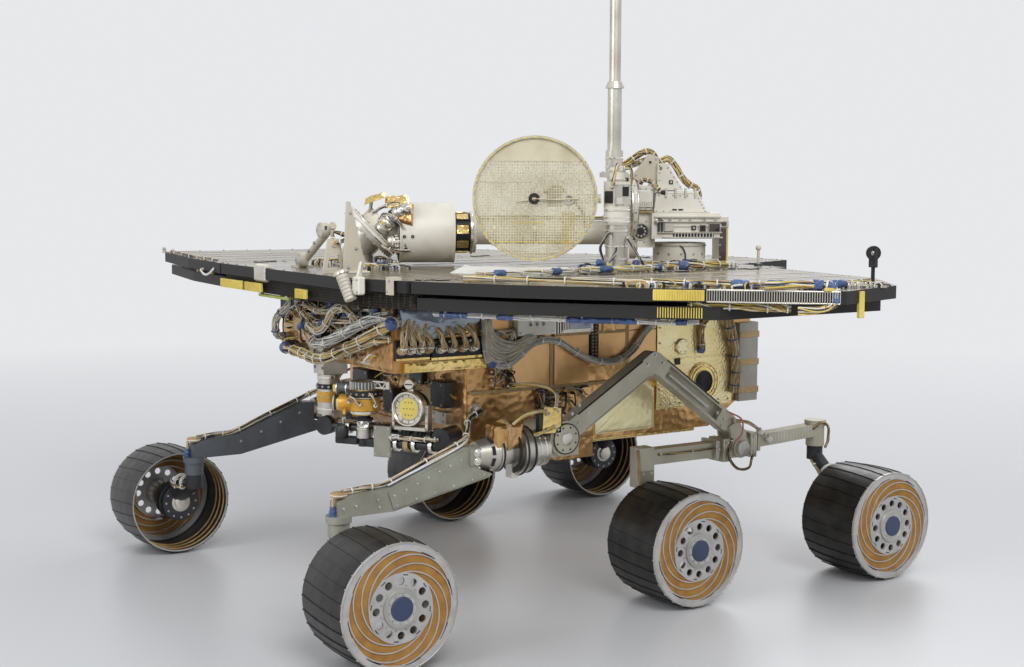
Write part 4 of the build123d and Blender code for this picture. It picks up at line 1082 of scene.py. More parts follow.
@dataclass
class Workpiece:
    """What one sub-assembly adds to one body, kept by finish and made one mesh a finish."""

    name: str
    body: str
    seat: Seat | None = None
    side: float = 1.0
    shapes: dict = field(default_factory=dict)

    def add(self, finish: Finish, *shapes: Shape) -> None:
        """Keep shapes of one finish, drawn for port and mirrored on a starboard workpiece."""
        kept = self.shapes.setdefault(finish.name, (finish, []))[1]
        kept.extend(shape.mirrored(self.side) for shape in shapes)

    def make(self, replaces: tuple[str, ...] = ()) -> None:
        """Make the meshes, ride them on the body and hide the CAD nodes that they replace.

        Args:
            replaces: CAD nodes that the first of the meshes stands for.
        """
        faces = 0
        for number, (finish, shapes) in enumerate(self.shapes.values()):
            whole = joined(shapes)
            points = self.seat.put(whole.points) if self.seat else whole.points
            mesh = bpy.data.meshes.new(f"{self.name}.{finish.name}")
            mesh.vertices.add(len(points))
            mesh.vertices.foreach_set("co", points.astype(np.float32).ravel())
            mesh.loops.add(len(whole.loops))
            mesh.loops.foreach_set("vertex_index", whole.loops.astype(np.int32))
            mesh.polygons.add(len(whole.sizes))
            mesh.polygons.foreach_set("loop_start", (np.cumsum(whole.sizes) - whole.sizes).astype(np.int32))
            mesh.update(calc_edges=True)
            mesh.validate()
            mesh.shade_smooth()
            mesh.set_sharp_from_angle(angle=SHARP_ANGLE)
            mesh.materials.append(finish.material())
            piece = bpy.data.objects.new(mesh.name, mesh)
            bpy.context.scene.collection.objects.link(piece)
            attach(piece, self.body)
            if number == 0 and replaces:
                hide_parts(*replaces)
            faces += int(np.sum(whole.sizes - 2))
        log.info("%s: %d meshes, %d triangles", self.name, len(self.shapes), faces)


@dataclass
class PhotoCamera:
    """The camera that the photograph was taken with."""

    place: Triple = (2.0614, 3.1844, 0.9487)
    pitch: float = 0.09843988
    heading: float = -2.14854703
    roll: float = 0.00379611
    lens: float = 53.74

    def build(self) -> None:
        """Place the camera and make it the scene's."""
        level = math.cos(self.pitch)
        ahead = Vector(
            (level * math.cos(self.heading), level * math.sin(self.heading), -math.sin(self.pitch)))
        flat_right = ahead.cross(Vector(PLUS_Z)).normalized()
        flat_up = flat_right.cross(ahead)
        right = math.cos(self.roll) * flat_right + math.sin(self.roll) * flat_up
        up = -math.sin(self.roll) * flat_right + math.cos(self.roll) * flat_up
        data = bpy.data.cameras.new("photo_camera")
        data.lens = self.lens
        camera = bpy.data.objects.new("photo_camera", data)
        turn = Matrix((right, up, -ahead)).transposed().to_4x4()
        camera.matrix_world = Matrix.Translation(self.place) @ turn
        bpy.context.scene.collection.objects.link(camera)
        bpy.context.scene.camera = camera


@dataclass
class Studio:
    """A pale floor, a pale surround and large soft lamps."""

    floor_size: float = 60.0
    floor_colour: Colour = (0.66, 0.67, 0.69)
    sky_colour: Colour = (0.80, 0.81, 0.83)
    sky_light: float = 0.55
    fade_start: float = 1.6
    fade_end: float = 5.5
    lit_point: Triple = (0.0, 0.0, 0.5)
    lamps: tuple = (
        ("key", (1.2, 4.4, 4.4), 3.0, 165.0),
        ("fill", (4.8, 0.6, 2.6), 2.4, 70.0),
        ("back", (-4.2, -3.0, 4.2), 3.0, 110.0),
    )

    def build(self) -> None:
        """Make the floor, the lamps and the world."""
        half = self.floor_size / 2
        mesh = bpy.data.meshes.new("floor")
        mesh.from_pydata(
            [(-half, -half, 0), (half, -half, 0), (half, half, 0), (-half, half, 0)], [], [(0, 1, 2, 3)])
        floor = bpy.data.objects.new("floor", mesh)
        bpy.context.scene.collection.objects.link(floor)
        mesh.materials.append(self.floor_material())
        for name, place, size, power in self.lamps:
            self.lamp(name, Vector(place), size, power)
        self.world()

    def floor_material(self) -> bpy.types.Material:
        """A satin floor near the rover, which fades to the surround's colour with distance.

        Returns:
            The floor's material.
        """
        graph = Graph("pale_floor")
        cloud = graph.step(graph.noise(0.7, 3.0), 0.3, 0.7)
        shade = tuple(0.985 * c for c in self.floor_colour)
        near = graph.node(
            "ShaderNodeBsdfPrincipled", Base_Color=graph.mix(cloud, self.floor_colour, shade),
            Roughness=0.34)
        far = graph.node("ShaderNodeEmission", Color=self.sky_colour, Strength=1.0)
        here = graph.node("ShaderNodeSeparateXYZ", Vector=graph.place)
        away = [graph.maths("MULTIPLY", here.outputs[axis], here.outputs[axis]) for axis in ("X", "Y")]
        distance = graph.maths("SQRT", graph.maths("ADD", *away))
        rays = graph.node("ShaderNodeLightPath")
        seen = graph.maths("MAXIMUM", rays.outputs["Is Camera Ray"], graph.maths(
            "MAXIMUM", rays.outputs["Is Glossy Ray"], rays.outputs["Is Transmission Ray"]))
        share = graph.maths("MULTIPLY", graph.step(distance, self.fade_start, self.fade_end), seen)
        both = graph.node("ShaderNodeMixShader", Fac=share)
        graph.tree.links.new(near.outputs[0], both.inputs[1])
        graph.tree.links.new(far.outputs[0], both.inputs[2])
        return graph.finish(both)

    def lamp(self, name: str, place: Vector, size: float, power: float) -> None:
        """Hang one square soft lamp that points at the rover's middle.

        Args:
            name: Its name.
            place: Where it hangs.
            size: Its width.
            power: Its power in watts.
        """
        data = bpy.data.lights.new(name, "AREA")
        data.size = size
        data.energy = power
        lamp = bpy.data.objects.new(name, data)
        aim = Vector(self.lit_point) - place
        lamp.matrix_world = Matrix.Translation(place) @ aim.to_track_quat("-Z", "Y").to_matrix().to_4x4()
        bpy.context.scene.collection.objects.link(lamp)

    def world(self) -> None:
        """Light from all round, with a pale background for the camera and for reflections."""
        world = bpy.data.worlds.new("surround")
        bpy.context.scene.world = world
        world.use_nodes = True
        tree = world.node_tree
        tree.nodes.clear()
        rays = tree.nodes.new("ShaderNodeLightPath")
        seen = tree.nodes.new("ShaderNodeMath")
        seen.operation = "MAXIMUM"
        mirror = tree.nodes.new("ShaderNodeMath")
        mirror.operation = "MAXIMUM"
        tree.links.new(rays.outputs["Is Camera Ray"], seen.inputs[0])
        tree.links.new(rays.outputs["Is Glossy Ray"], mirror.inputs[0])
        tree.links.new(rays.outputs["Is Transmission Ray"], mirror.inputs[1])
        tree.links.new(mirror.outputs[0], seen.inputs[1])
        strength = tree.nodes.new("ShaderNodeMapRange")
        strength.inputs["To Min"].default_value = self.sky_light
        tree.links.new(seen.outputs[0], strength.inputs["Value"])
        sky = tree.nodes.new("ShaderNodeBackground")
        sky.inputs["Color"].default_value = (*self.sky_colour, 1.0)
        tree.links.new(strength.outputs[0], sky.inputs["Strength"])
        output = tree.nodes.new("ShaderNodeOutputWorld")
        tree.links.new(sky.outputs[0], output.inputs["Surface"])


@dataclass
class WheelSet:
    """Small parts of the six wheels: caps, bolts, dots, rim edges and the ridges inside the barrels."""

    boss_height: float = 0.004
    half_width: float = WHEEL_HALF_WIDTH
    rim_radius: float = RIM_RADIUS
    wall: float = 0.003
    boss_radius: float = 0.038
    cap_radius: float = 0.024
    cap_height: float = 0.003
    bolt_circle: float = 0.0315
    outer_bolt_circle: float = 0.0445
    dot_circle: float = 0.0655
    dot_groups: int = 8
    ridge_depths: tuple = (0.018, 0.042, 0.066)

    def build(self) -> None:
        """Dress every wheel."""
        for row in ("front", "middle", "rear"):
            for side_name, side in SIDES.items():
                self.wheel(row, side_name, side)

    def wheel(self, row: str, side_name: str, side: float) -> None:
        """Add the parts of one wheel, drawn on the port side.

        Args:
            row: Front, middle or rear.
            side_name: Port or starboard.
            side: 1 for port, -1 for starboard.
        """
        low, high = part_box(f"wheel_{row}_{side_name}")
        x, z = (low.x + high.x) / 2, (low.z + high.z) / 2
        face = max(abs(low.y), abs(high.y)) - self.boss_height
        boss = face + self.boss_height
        work = Workpiece(f"wheel_fittings_{row}_{side_name}", f"{row}_{side_name}_wheel", side=side)
        cap = turned(
            (x, boss - 0.0005, z), (x, boss + self.cap_height, z),
            [
                (0, self.cap_radius), (0.7, self.cap_radius), (0.94, self.cap_radius - 0.001),
                (1, self.cap_radius - 0.003)], 40)
        work.add(NAVY, cap)
        collar = ring(
            (x, face - 0.001, z), (x, boss + 0.0008, z), self.boss_radius - 0.007, self.boss_radius + 0.001)
        work.add(SHELL, collar)
        heads = bolts(
            on_ring((x, boss + 0.0002, z), PLUS_Y, self.bolt_circle - 0.0035, 10, 0.2), PLUS_Y, 0.0017,
            0.0016)
        spots = on_ring((x, face, z), PLUS_Y, self.outer_bolt_circle, 12, math.pi / 12)
        work.add(BOLT, heads, bolts(spots, PLUS_Y, 0.0015, 0.0014))
        work.add(BLACK, self.dots(x, face, z))
        inner = face - 2 * self.half_width
        rim = self.rim_radius
        edge = ring((x, inner - 0.0002, z), (x, inner + 0.005, z), rim - self.wall - 0.0016, rim - 0.0004, 72)
        lip = ring((x, face - 0.0008, z), (x, face + 0.0012, z), rim - 0.0030, rim - 0.0002, 72)
        work.add(SHELL, edge, lip)
        for depth in self.ridge_depths:
            ridge = ring(
                (x, inner + depth, z), (x, inner + depth + 0.003, z), rim - self.wall - 0.0035,
                rim - self.wall + 0.0002, 64)
            work.add(TAN, ridge)
        work.make()

    def dots(self, x: float, face: float, z: float) -> Shape:
        """Threes of small dark plugs round the hub's rim: a = 2 pi g / groups + j step.

        Args:
            x: Where the axle is along the rover.
            face: y of the hub's face.
            z: The axle's height.

        Returns:
            All the plugs as one shape.
        """
        groups = np.arange(self.dot_groups)[:, None] * 2 * math.pi / self.dot_groups
        angle = (groups + np.array((-0.055, 0.0, 0.055))).ravel() + 0.16
        places = np.stack(
            [
                x + self.dot_circle * np.cos(angle), np.full(angle.shape, face),
                z + self.dot_circle * np.sin(angle)], -1)
        plug = turned((0, 0, -0.0004), (0, 0, 0.0006), [(0, 0.0016), (0.6, 0.0016), (1, 0.0010)], 10)
        return plug.repeated(places, facing(PLUS_Y))


@dataclass
class WheelDrives:
    """Flanges, bolts and wires on the drive motors and their struts."""

    housing_radius: float = 0.045
    axle_z: float = 0.1335
    flange_bolts: int = 12
    gear_y: float = GEAR_Y
    fixed_rows: tuple = (("middle", -0.118, 0.4435, 0.246),)
    steered_rows: tuple = (("front", 0.670, 0.497, 0.199), ("rear", -0.670, 0.497, 0.268))

    def build(self) -> None:
        """Dress the drives of all six wheels."""
        for side_name, side in SIDES.items():
            for row, x, inner, top in self.fixed_rows:
                self.drive(f"drive_{row}_{side_name}", "chassis", side, x, inner, top)
            for row, x, inner, top in self.steered_rows:
                self.drive(f"drive_{row}_{side_name}", f"{row}_{side_name}_steering", side, x, inner, top)

    def drive(self, name: str, body: str, side: float, x: float, inner: float, top: float) -> None:
        """Add one drive's flanges, bolts, end cap, strut bands and wire loop.

        Args:
            name: Name for its meshes.
            body: The body that it rides on.
            side: 1 for port, -1 for starboard.
            x: Where the axle is along the rover.
            inner: y of the motor's inner end.
            top: Height of the strut's top.
        """
        z, r = self.axle_z, self.housing_radius
        work = Workpiece(name, body, side=side)
        work.add(
            DARK_METAL, ring((x, inner - 0.003, z), (x, inner + 0.002, z), 0.020, r + 0.002),
            ring((x, inner + 0.022, z), (x, inner + 0.028, z), r - 0.004, r + 0.004),
            ring((x, inner + 0.048, z), (x, inner + 0.054, z), r - 0.004, r + 0.003))
        cap = turned(
            (x, inner + 0.001, z), (x, inner - 0.016, z),
            [(0, 0.024), (0.25, 0.024), (0.35, 0.018), (0.85, 0.018), (1, 0.014)], 28)
        work.add(SILVER, cap)
        heads = bolts(
            on_ring((x, inner - 0.003, z), PLUS_Y, r - 0.006, self.flange_bolts), MINUS_Y, 0.0018, 0.0022)
        work.add(BOLT, heads)
        strut_low = np.array((x, inner + 0.022, z + 0.046))
        strut_high = np.array((x, self.gear_y + 0.002, top))
        for share in (0.30, 0.62):
            at = strut_low + share * (strut_high - strut_low)
            step = 0.003 * unit(strut_high - strut_low)
            radius = 0.026 - 0.009 * share
            work.add(WHITE_WIRE, ring(at - step, at + step, radius - 0.006, radius + 0.0012, 28))
        route = (
            (x + 0.012, inner + 0.010, z + 0.042), (x + 0.030, inner - 0.012, z + 0.062),
            (x + 0.030, inner - 0.036, (z + top) / 2 + 0.02), (x + 0.022, self.gear_y + 0.012, top - 0.012))
        Bundle(route, 0.0042, 0.0014, 6, 2.0, 5, 36, (TAN, BLACK_WIRE, GREY_WIRE), 2).lay(work)
        work.make()


@dataclass
class RunningGear:
    """Bolts, covers, foil, straps and wires on the arms, deploy motors, rockers and bogies."""

    gear_y: float = GEAR_Y
    cover_y: float = 0.423
    motor_z: float = 0.362
    pivot: tuple = (0.121, 0.381)
    bogie: tuple = (-0.398, 0.312)
    arch_face: float = 0.418
    arm_route: tuple = (
        (0.662, 0.400, 0.3125), (0.610, 0.400, 0.3170), (0.559, 0.400, 0.3215), (0.470, 0.400, 0.3560),
        (0.380, 0.400, 0.3900), (0.352, 0.384, 0.4060), (0.318, 0.336, 0.4280), (0.278, 0.318, 0.4400),
        (0.272, 0.287, 0.4400))
    arm_top_bolts: tuple = (
        (0.552, 0.297), (0.524, 0.307), (0.497, 0.317), (0.470, 0.327), (0.443, 0.337), (0.416, 0.347),
        (0.390, 0.357), (0.366, 0.366))
    arm_low_bolts: tuple = (
        (0.546, 0.276), (0.500, 0.285), (0.454, 0.294), (0.408, 0.303), (0.362, 0.312), (0.332, 0.321),
        (0.344, 0.336))

    def build(self) -> None:
        """Dress both sides."""
        for side_name, side in SIDES.items():
            self.harness(side_name, side)
            work = Workpiece(f"arm_fittings_{side_name}", "chassis", side=side)
            self.front_arm(work)
            self.deploy_motor(work)
            work.make()
            work = Workpiece(f"rocker_fittings_{side_name}", "chassis", side=side)
            self.rocker(work)
            self.bogie_fittings(work)
            work.make()

    def harness(self, side_name: str, side: float) -> None:
        """The tied wires along the front arm, in place of the CAD cable.

        Args:
            side_name: Port or starboard.
            side: 1 for port, -1 for starboard.
        """
        work = Workpiece(f"arm_wires_{side_name}", "chassis", side=side)
        Bundle(
            self.arm_route, 0.0066, 0.0016, 15, 4.0, 3, 90, (BLACK_WIRE, TAN, BLACK_WIRE, CREAM, GREY_WIRE),
            9).lay(work)
        x, _, z = self.arm_route[-1]
        work.add(SILVER, ring((x, 0.2845, z), (x, 0.2885, z), 0.0060, 0.0135, 28))
        work.make((f"arm_harness_{side_name}",))

    def front_arm(self, work: Workpiece) -> None:
        """Bolts, the tip's cap and tie, the plug beside it, and the wires that run under the harness.

        Args:
            work: The workpiece that takes the shapes.
        """
        face, back = self.cover_y, self.gear_y - 0.020
        work.add(BOLT, bolts(upright(self.arm_top_bolts + self.arm_low_bolts, face), PLUS_Y, *HEAD_48))
        tip = ((0.590, 0.292), (0.586, 0.276), (0.640, 0.284), (0.668, 0.281))
        work.add(BOLT, bolts(upright(tip, self.gear_y + 0.020), PLUS_Y, 0.0028, 0.0026), bolts(
            upright(self.arm_top_bolts[::2], back), MINUS_Y, *HEAD_48))
        slotted = bolts(
            upright(((0.352, 0.371), (0.352, 0.352)), self.gear_y + 0.029), PLUS_Y, 0.0058, 0.004, 20)
        work.add(BRIGHT, slotted)
        cap = turned((0.670, 0.400, 0.305), (0.670, 0.400, 0.314), [(0, 0.017), (0.8, 0.017), (1, 0.014)], 28)
        work.add(TAPE, cap)
        work.add(WHITE_WIRE, ring((0.670, 0.400, 0.3075), (0.670, 0.400, 0.3100), 0.015, 0.0182, 28))
        plug = turned(
            (0.686, 0.404, 0.286), (0.686, 0.404, 0.262),
            [(0, 0.006), (0.3, 0.006), (0.35, 0.0075), (0.9, 0.0075), (1, 0.006)], 20)
        work.add(BLUE_WRAP, plug)
        over = ((0.664, 0.404, 0.310), (0.682, 0.405, 0.308), (0.686, 0.404, 0.284))
        Bundle(over, 0.0034, 0.0013, 5, 1.0, 8, 24, (TAN, CREAM, BLACK_WIRE)).lay(work)
        white = (
            (0.560, 0.411, 0.318), (0.500, 0.412, 0.341), (0.430, 0.412, 0.367), (0.384, 0.411, 0.385),
            (0.358, 0.398, 0.396))
        Bundle(white, 0.0034, 0.0014, 4, 1.5, 9, 60, (WHITE_WIRE, BLUE_WRAP, WHITE_WIRE)).lay(work)

    def deploy_motor(self, work: Workpiece) -> None:
        """Rings, recesses, the foil-wrapped box with its strap, and the connector plate over the motor.

        Args:
            work: The workpiece that takes the shapes.
        """
        y, z = self.gear_y, self.motor_z
        for x, width, radius in (
                (0.2110, 0.005, 0.0530), (0.2330, 0.004, 0.0570), (0.2470, 0.003, 0.0500),
                (0.2870, 0.005, 0.0430)):
            work.add(BLACK, ring((x, y, z), (x + width, y, z), radius - 0.012, radius, 48))
        for x, radius, count in ((0.2075, 0.047, 16), (0.2860, 0.037, 12)):
            heads = bolts(on_ring((x, y, z), PLUS_X, radius - 0.003, count), MINUS_X, *HEAD_36_TALL)
            work.add(BOLT, heads)
        for x, radius in ((0.1760, 0.0412), (0.1900, 0.0412), (0.2030, 0.0412)):
            work.add(BRIGHT, ring((x, y, z), (x + 0.0025, y, z), radius - 0.004, radius, 48))
        recess = on_ring((0.312, y, z), PLUS_X, 0.0342, 8, 0.3)
        normals = unit(recess - np.array((0.312, y, z)))
        slot = block((-0.004, -0.010, -0.001), (0.004, 0.010, 0.001), 0.0006)
        work.add(BLACK, slot.repeated(recess, facing(normals)))
        low, high = np.array((0.238, 0.383, 0.372)), np.array((0.304, 0.432, 0.424))
        work.add(FOIL_COPPER, *foil_box(low, high, 21, 0.006))
        work.add(TAPE, ring((0.268, 0.406, 0.397), (0.278, 0.406, 0.397), 0.028, 0.0385, 8))
        work.add(FOIL_GOLD, plate(
            [(0.186, 0.398), (0.136, 0.396), (0.136, 0.452), (0.182, 0.458)], 0.4300, 0.4330, PLUS_Y))
        spots = ((0.178, 0.404), (0.144, 0.404), (0.144, 0.444), (0.176, 0.450))
        work.add(BOLT, bolts(upright(spots, 0.433), PLUS_Y, 0.0026, 0.0026))
        work.add(DARK_METAL, block((0.130, 0.412, 0.400), (0.192, 0.4305, 0.452), 0.002))
        for seed, route in (
                (
                    11,
                    (
                        (0.170, 0.434, 0.440), (0.200, 0.448, 0.452), (0.236, 0.440, 0.444),
                        (0.262, 0.428, 0.424))),
                (
                    12,
                    (
                        (0.152, 0.434, 0.448), (0.150, 0.430, 0.486), (0.166, 0.380, 0.500),
                        (0.180, 0.300, 0.492), (0.182, 0.287, 0.490))),
                (13, ((0.150, 0.434, 0.412), (0.196, 0.442, 0.402), (0.214, 0.440, 0.398)))):
            Bundle(route, 0.0042, 0.0015, 6, 2.0, seed, 40, (YELLOW_WIRE, CREAM, TAN), 1).lay(work)

    def rocker(self, work: Workpiece) -> None:
        """Bolts on the arch and its ends, dark cap edges, and the ring of dots on the pivot.

        Args:
            work: The workpiece that takes the shapes.
        """
        x, z = self.pivot
        y = self.gear_y + 0.033
        work.add(BLACK, ring((x, y - 0.002, z), (x, y + 0.001, z), 0.0325, 0.0350, 48))
        dots = bolts(on_ring((x, y, z), PLUS_Y, 0.0265, 8, 0.39), PLUS_Y, 0.0022, 0.0010, 12)
        work.add(BLACK, dots)
        work.add(SILVER, turned(
            (x, y - 0.001, z), (x, y + 0.004, z), [(0, 0.014), (0.8, 0.014), (1, 0.012)], 32))
        spots = (
            (0.076, 0.452), (0.096, 0.434), (0.052, 0.432), (0.078, 0.412), (-0.118, 0.532), (-0.162, 0.532),
            (-0.140, 0.552), (-0.330, 0.402), (-0.352, 0.386), (-0.345, 0.370), (-0.368, 0.354))
        work.add(BOLT, bolts(upright(spots, self.arch_face), PLUS_Y, 0.0030, 0.0026))
        apex, feet = np.array((-0.140, 0.537)), ((0.121, 0.381), (-0.368, 0.374))
        for foot in feet:
            along = unit(np.asarray(foot) - apex)
            across = np.array((-along[1], along[0])) * (1 if foot[0] > apex[0] else -1)
            length = float(np.linalg.norm(np.asarray(foot) - apex))
            for edge in (0.0215, -0.0215):
                start, end = (apex + s * length * along + edge * across for s in (0.10, 0.80))
                cut = 0.0015 * across
                outline = [start - cut, end - cut, end + cut, start + cut]
                work.add(BLACK if edge > 0 else ARCH_GREY, plate(
                    outline, self.arch_face - 0.002, self.arch_face + 0.0018, PLUS_Y, bevel=0.0005))
        line = [apex + s * 0.49 * unit(np.asarray(feet[1]) - apex) for s in (0.12, 0.42)]
        route = tuple((float(p[0]), self.gear_y + 0.008, float(p[1])) for p in line)
        work.add(WHITE_WIRE, tube(spread(route[0], route[1], 12), 0.0030, 10))

    def bogie_fittings(self, work: Workpiece) -> None:
        """The pale pivot disc, ribs and bolts on the clamps, the strut's plate and the wires round the pivot.

        Args:
            work: The workpiece that takes the shapes.
        """
        x, z = self.bogie
        y = self.gear_y + 0.036
        disc = turned((x, y - 0.001, z), (x, y + 0.005, z), [(0, 0.0185), (0.75, 0.0185), (1, 0.016)], 36)
        work.add(SHELL, disc)
        work.add(BOLT, bolts(on_ring((x, y + 0.004, z), PLUS_Y, 0.012, 6), PLUS_Y, 0.0016, 0.002))
        for near, far, height in ((0.036, 0.056, 0.047), (0.069, 0.079, 0.043), (-0.052, -0.032, 0.053)):
            for share in (0.15, 0.5, 0.85):
                at = x + near + share * (far - near)
                rib = block(
                    (at - 0.0012, self.gear_y - 0.028, z - height / 2),
                    (at + 0.0012, self.gear_y + 0.0285, z + height / 2 + 0.003), 0.0005)
                work.add(SILVER, rib)
        spots = ((0.044, 0.016), (0.044, -0.016), (-0.042, 0.024), (-0.042, -0.012))
        places = tuple((x + dx, z + dz) for dx, dz in spots)
        work.add(BOLT, bolts(upright(places, self.gear_y + 0.0285), PLUS_Y, 0.0030, 0.0028))
        ribs = np.arange(-0.640, -0.500, 0.010)
        rib = block((-0.0015, -0.0176, -0.016), (0.0015, 0.0176, 0.016), 0.0005)
        rise = 0.318 + (x - ribs) * 0.0515
        work.add(SILVER, rib.repeated(np.stack([ribs, np.full(len(ribs), self.gear_y), rise], -1)))
        plate_z = 0.262
        work.add(OLIVE, plate(
            [
                (-0.136, plate_z - 0.020), (-0.100, plate_z - 0.020), (-0.100, plate_z + 0.020),
                (-0.136, plate_z + 0.020)], 0.418, 0.421, PLUS_Y))
        corners = (
            (-0.130, plate_z - 0.014), (-0.106, plate_z - 0.014), (-0.130, plate_z + 0.014),
            (-0.106, plate_z + 0.014))
        work.add(BOLT, bolts(upright(corners, 0.421), PLUS_Y, *HEAD_44))
        wires = (
            (
                31, 0.0045,
                (
                    (-0.098, 0.408, 0.336), (-0.090, 0.424, 0.310), (-0.092, 0.426, 0.268),
                    (-0.100, 0.430, 0.226), (-0.112, 0.448, 0.190)), (TAN, TAPE, TAN), 2),
            (
                32, 0.0040,
                (
                    (-0.372, 0.424, 0.336), (-0.352, 0.436, 0.300), (-0.372, 0.442, 0.268),
                    (-0.412, 0.440, 0.264), (-0.436, 0.428, 0.290)), (BLACK_WIRE, BLACK_WIRE, TAN), 1),
            (
                33, 0.0050,
                (
                    (-0.372, 0.4235, 0.382), (-0.420, 0.428, 0.372), (-0.452, 0.430, 0.352),
                    (-0.480, 0.424, 0.334)), (TAPE, TAN, CREAM), 2),
            (
                34, 0.0022,
                (
                    (-0.362, 0.422, 0.402), (-0.388, 0.440, 0.384), (-0.386, 0.444, 0.352),
                    (-0.372, 0.436, 0.330)), (PINK_WIRE, PINK_WIRE), 0),
            (
                35, 0.0040,
                (
                    (-0.640, 0.412, 0.330), (-0.664, 0.430, 0.352), (-0.688, 0.428, 0.338),
                    (-0.692, 0.424, 0.306), (-0.682, 0.424, 0.286)), (TAN, TAPE, BLACK_WIRE), 1),
            (
                36, 0.0032,
                (
                    (-0.150, 0.4185, 0.318), (-0.220, 0.4195, 0.316), (-0.300, 0.4195, 0.317),
                    (-0.334, 0.4300, 0.316)), (TAN, BLACK_WIRE), 3),
        )
        for seed, radius, route, finishes, ties in wires:
            Bundle(
                route, radius, 0.0014 if radius > 0.0025 else 0.0022, 7 if radius > 0.0025 else 1, 2.5, seed,
                44, finishes, ties).lay(work)
        for at in ((-0.452, 0.430, 0.352), (-0.486, 0.424, 0.331)):
            stub = turned(
                at, (at[0] - 0.012, at[1], at[2] - 0.010), [(0, 0.0075), (0.9, 0.0075), (1, 0.006)], 18)
            work.add(WHITE_WIRE, stub)


def foil_box(low: Array, high: Array, seed: int, depth: float) -> list[Shape]:
    """Crumpled foil over five sides of a box, all but the bottom.

    Args:
        low: The box's low corner.
        high: Its high corner.
        seed: Seed of the random draws.
        depth: How deep the creases are.

    Returns:
        One closed sheet a side.
    """
    (x0, y0, z0), (x1, y1, z1) = low, high
    sides = [
        (((x0, y1, z0), (x1, y1, z0), (x1, y1, z1), (x0, y1, z1)), PLUS_Y),
        (((x0, y0, z0), (x1, y0, z0), (x1, y0, z1), (x0, y0, z1)), MINUS_Y),
        (((x0, y0, z0), (x0, y1, z0), (x0, y1, z1), (x0, y0, z1)), MINUS_X),
        (((x1, y0, z0), (x1, y1, z0), (x1, y1, z1), (x1, y0, z1)), PLUS_X),
        (((x0, y0, z1), (x1, y0, z1), (x1, y1, z1), (x0, y1, z1)), PLUS_Z),
    ]
    return [
        Sheet(corners, normal, depth, 0.030, seed + i, 0.003, 0.0).shape()
        for i, (corners, normal) in enumerate(sides)]


def sleeve(route: Array, radius: float, seed: int, depth: float = 0.0012, sides: int = 15) -> Shape:
    """A crumpled wrap round a cable: radius r + d crumple(round, along), pinched at both ends.

    Args:
        route: Points of the cable's middle, (n, 3).
        radius: Radius of the smooth wrap.
        seed: Seed of the random draws.
        depth: How far the creases rise.
        sides: How many sides it has round its axis.

    Returns:
        The closed wrap.
    """
    path = np.asarray(route, float)
    _, side, up = frames(path)
    angle = np.linspace(0, 2 * math.pi, sides, endpoint=False)
    along = np.linalg.norm(np.gradient(path, axis=0), axis=1).cumsum()[:, None]
    rough = depth * crumple(
        np.cos(angle)[None] * radius * 3, along + np.sin(angle)[None] * radius, seed, 0.012)
    share = np.linspace(0, 1, len(path))[:, None]
    size = (radius + rough) * np.minimum(1.0, 0.72 + 6 * np.minimum(share, 1 - share))
    spoke = np.cos(angle)[None, :, None] * side[:, None] + np.sin(angle)[None, :, None] * up[:, None]
    return loft(path[:, None] + size[..., None] * spoke)


@dataclass(frozen=True)
class Tangle:
    """Short loops of loose wire that start and end on a flat face and bow out from it."""

    corner: tuple
    across: tuple
    over: tuple
    normal: tuple
    count: int = 14
    reach: float = 0.018
    span: float = 0.07
    wire: float = 0.0016
    seed: int = 1
    finishes: tuple = ()

    def lay(self, work: Workpiece) -> None:
        """Add the loops, each a curve from a to b through points raised by up to the reach.

        Args:
            work: The workpiece that takes the shapes.
        """
        draw = np.random.default_rng(self.seed)
        corner, across, over = (np.asarray(v, float) for v in (self.corner, self.across, self.over))
        normal = unit(np.asarray(self.normal, float))
        plug = turned(
            (0, 0, -0.001), (0, 0, 0.011), [(0, 0.0042), (0.55, 0.0042), (0.6, 0.0030), (1, 0.0026)], 9)
        for k in range(self.count):
            u, v = draw.uniform(0.04, 0.96, 2)
            start = corner + u * across + v * over
            angle = draw.uniform(0, 2 * math.pi)
            step = self.span * draw.uniform(0.5, 1.0)
            end_uv = np.clip(
                (
                    u + step * math.cos(angle) / max(np.linalg.norm(across), 1e-6),
                    v + step * math.sin(angle) / max(np.linalg.norm(over), 1e-6)), 0.03, 0.97)
            end = corner + end_uv[0] * across + end_uv[1] * over
            high = self.reach * draw.uniform(0.5, 1.0)
            sag = draw.uniform(-0.3, 0.3, 2)
            middle = (start + end) / 2 + high * normal
            drift = 0.25 * step * (sag[0] * unit(across) + sag[1] * unit(over))
            route = [start, start + 0.7 * high * normal, middle + drift, end + 0.7 * high * normal, end]
            work.add(self.finishes[k % len(self.finishes)], tube(
                curve(route, 18), self.wire * draw.uniform(0.8, 1.4), WIRE_SIDES))
            work.add(SILVER if k % 3 else BLACK, plug.repeated(start[None], facing(normal)))


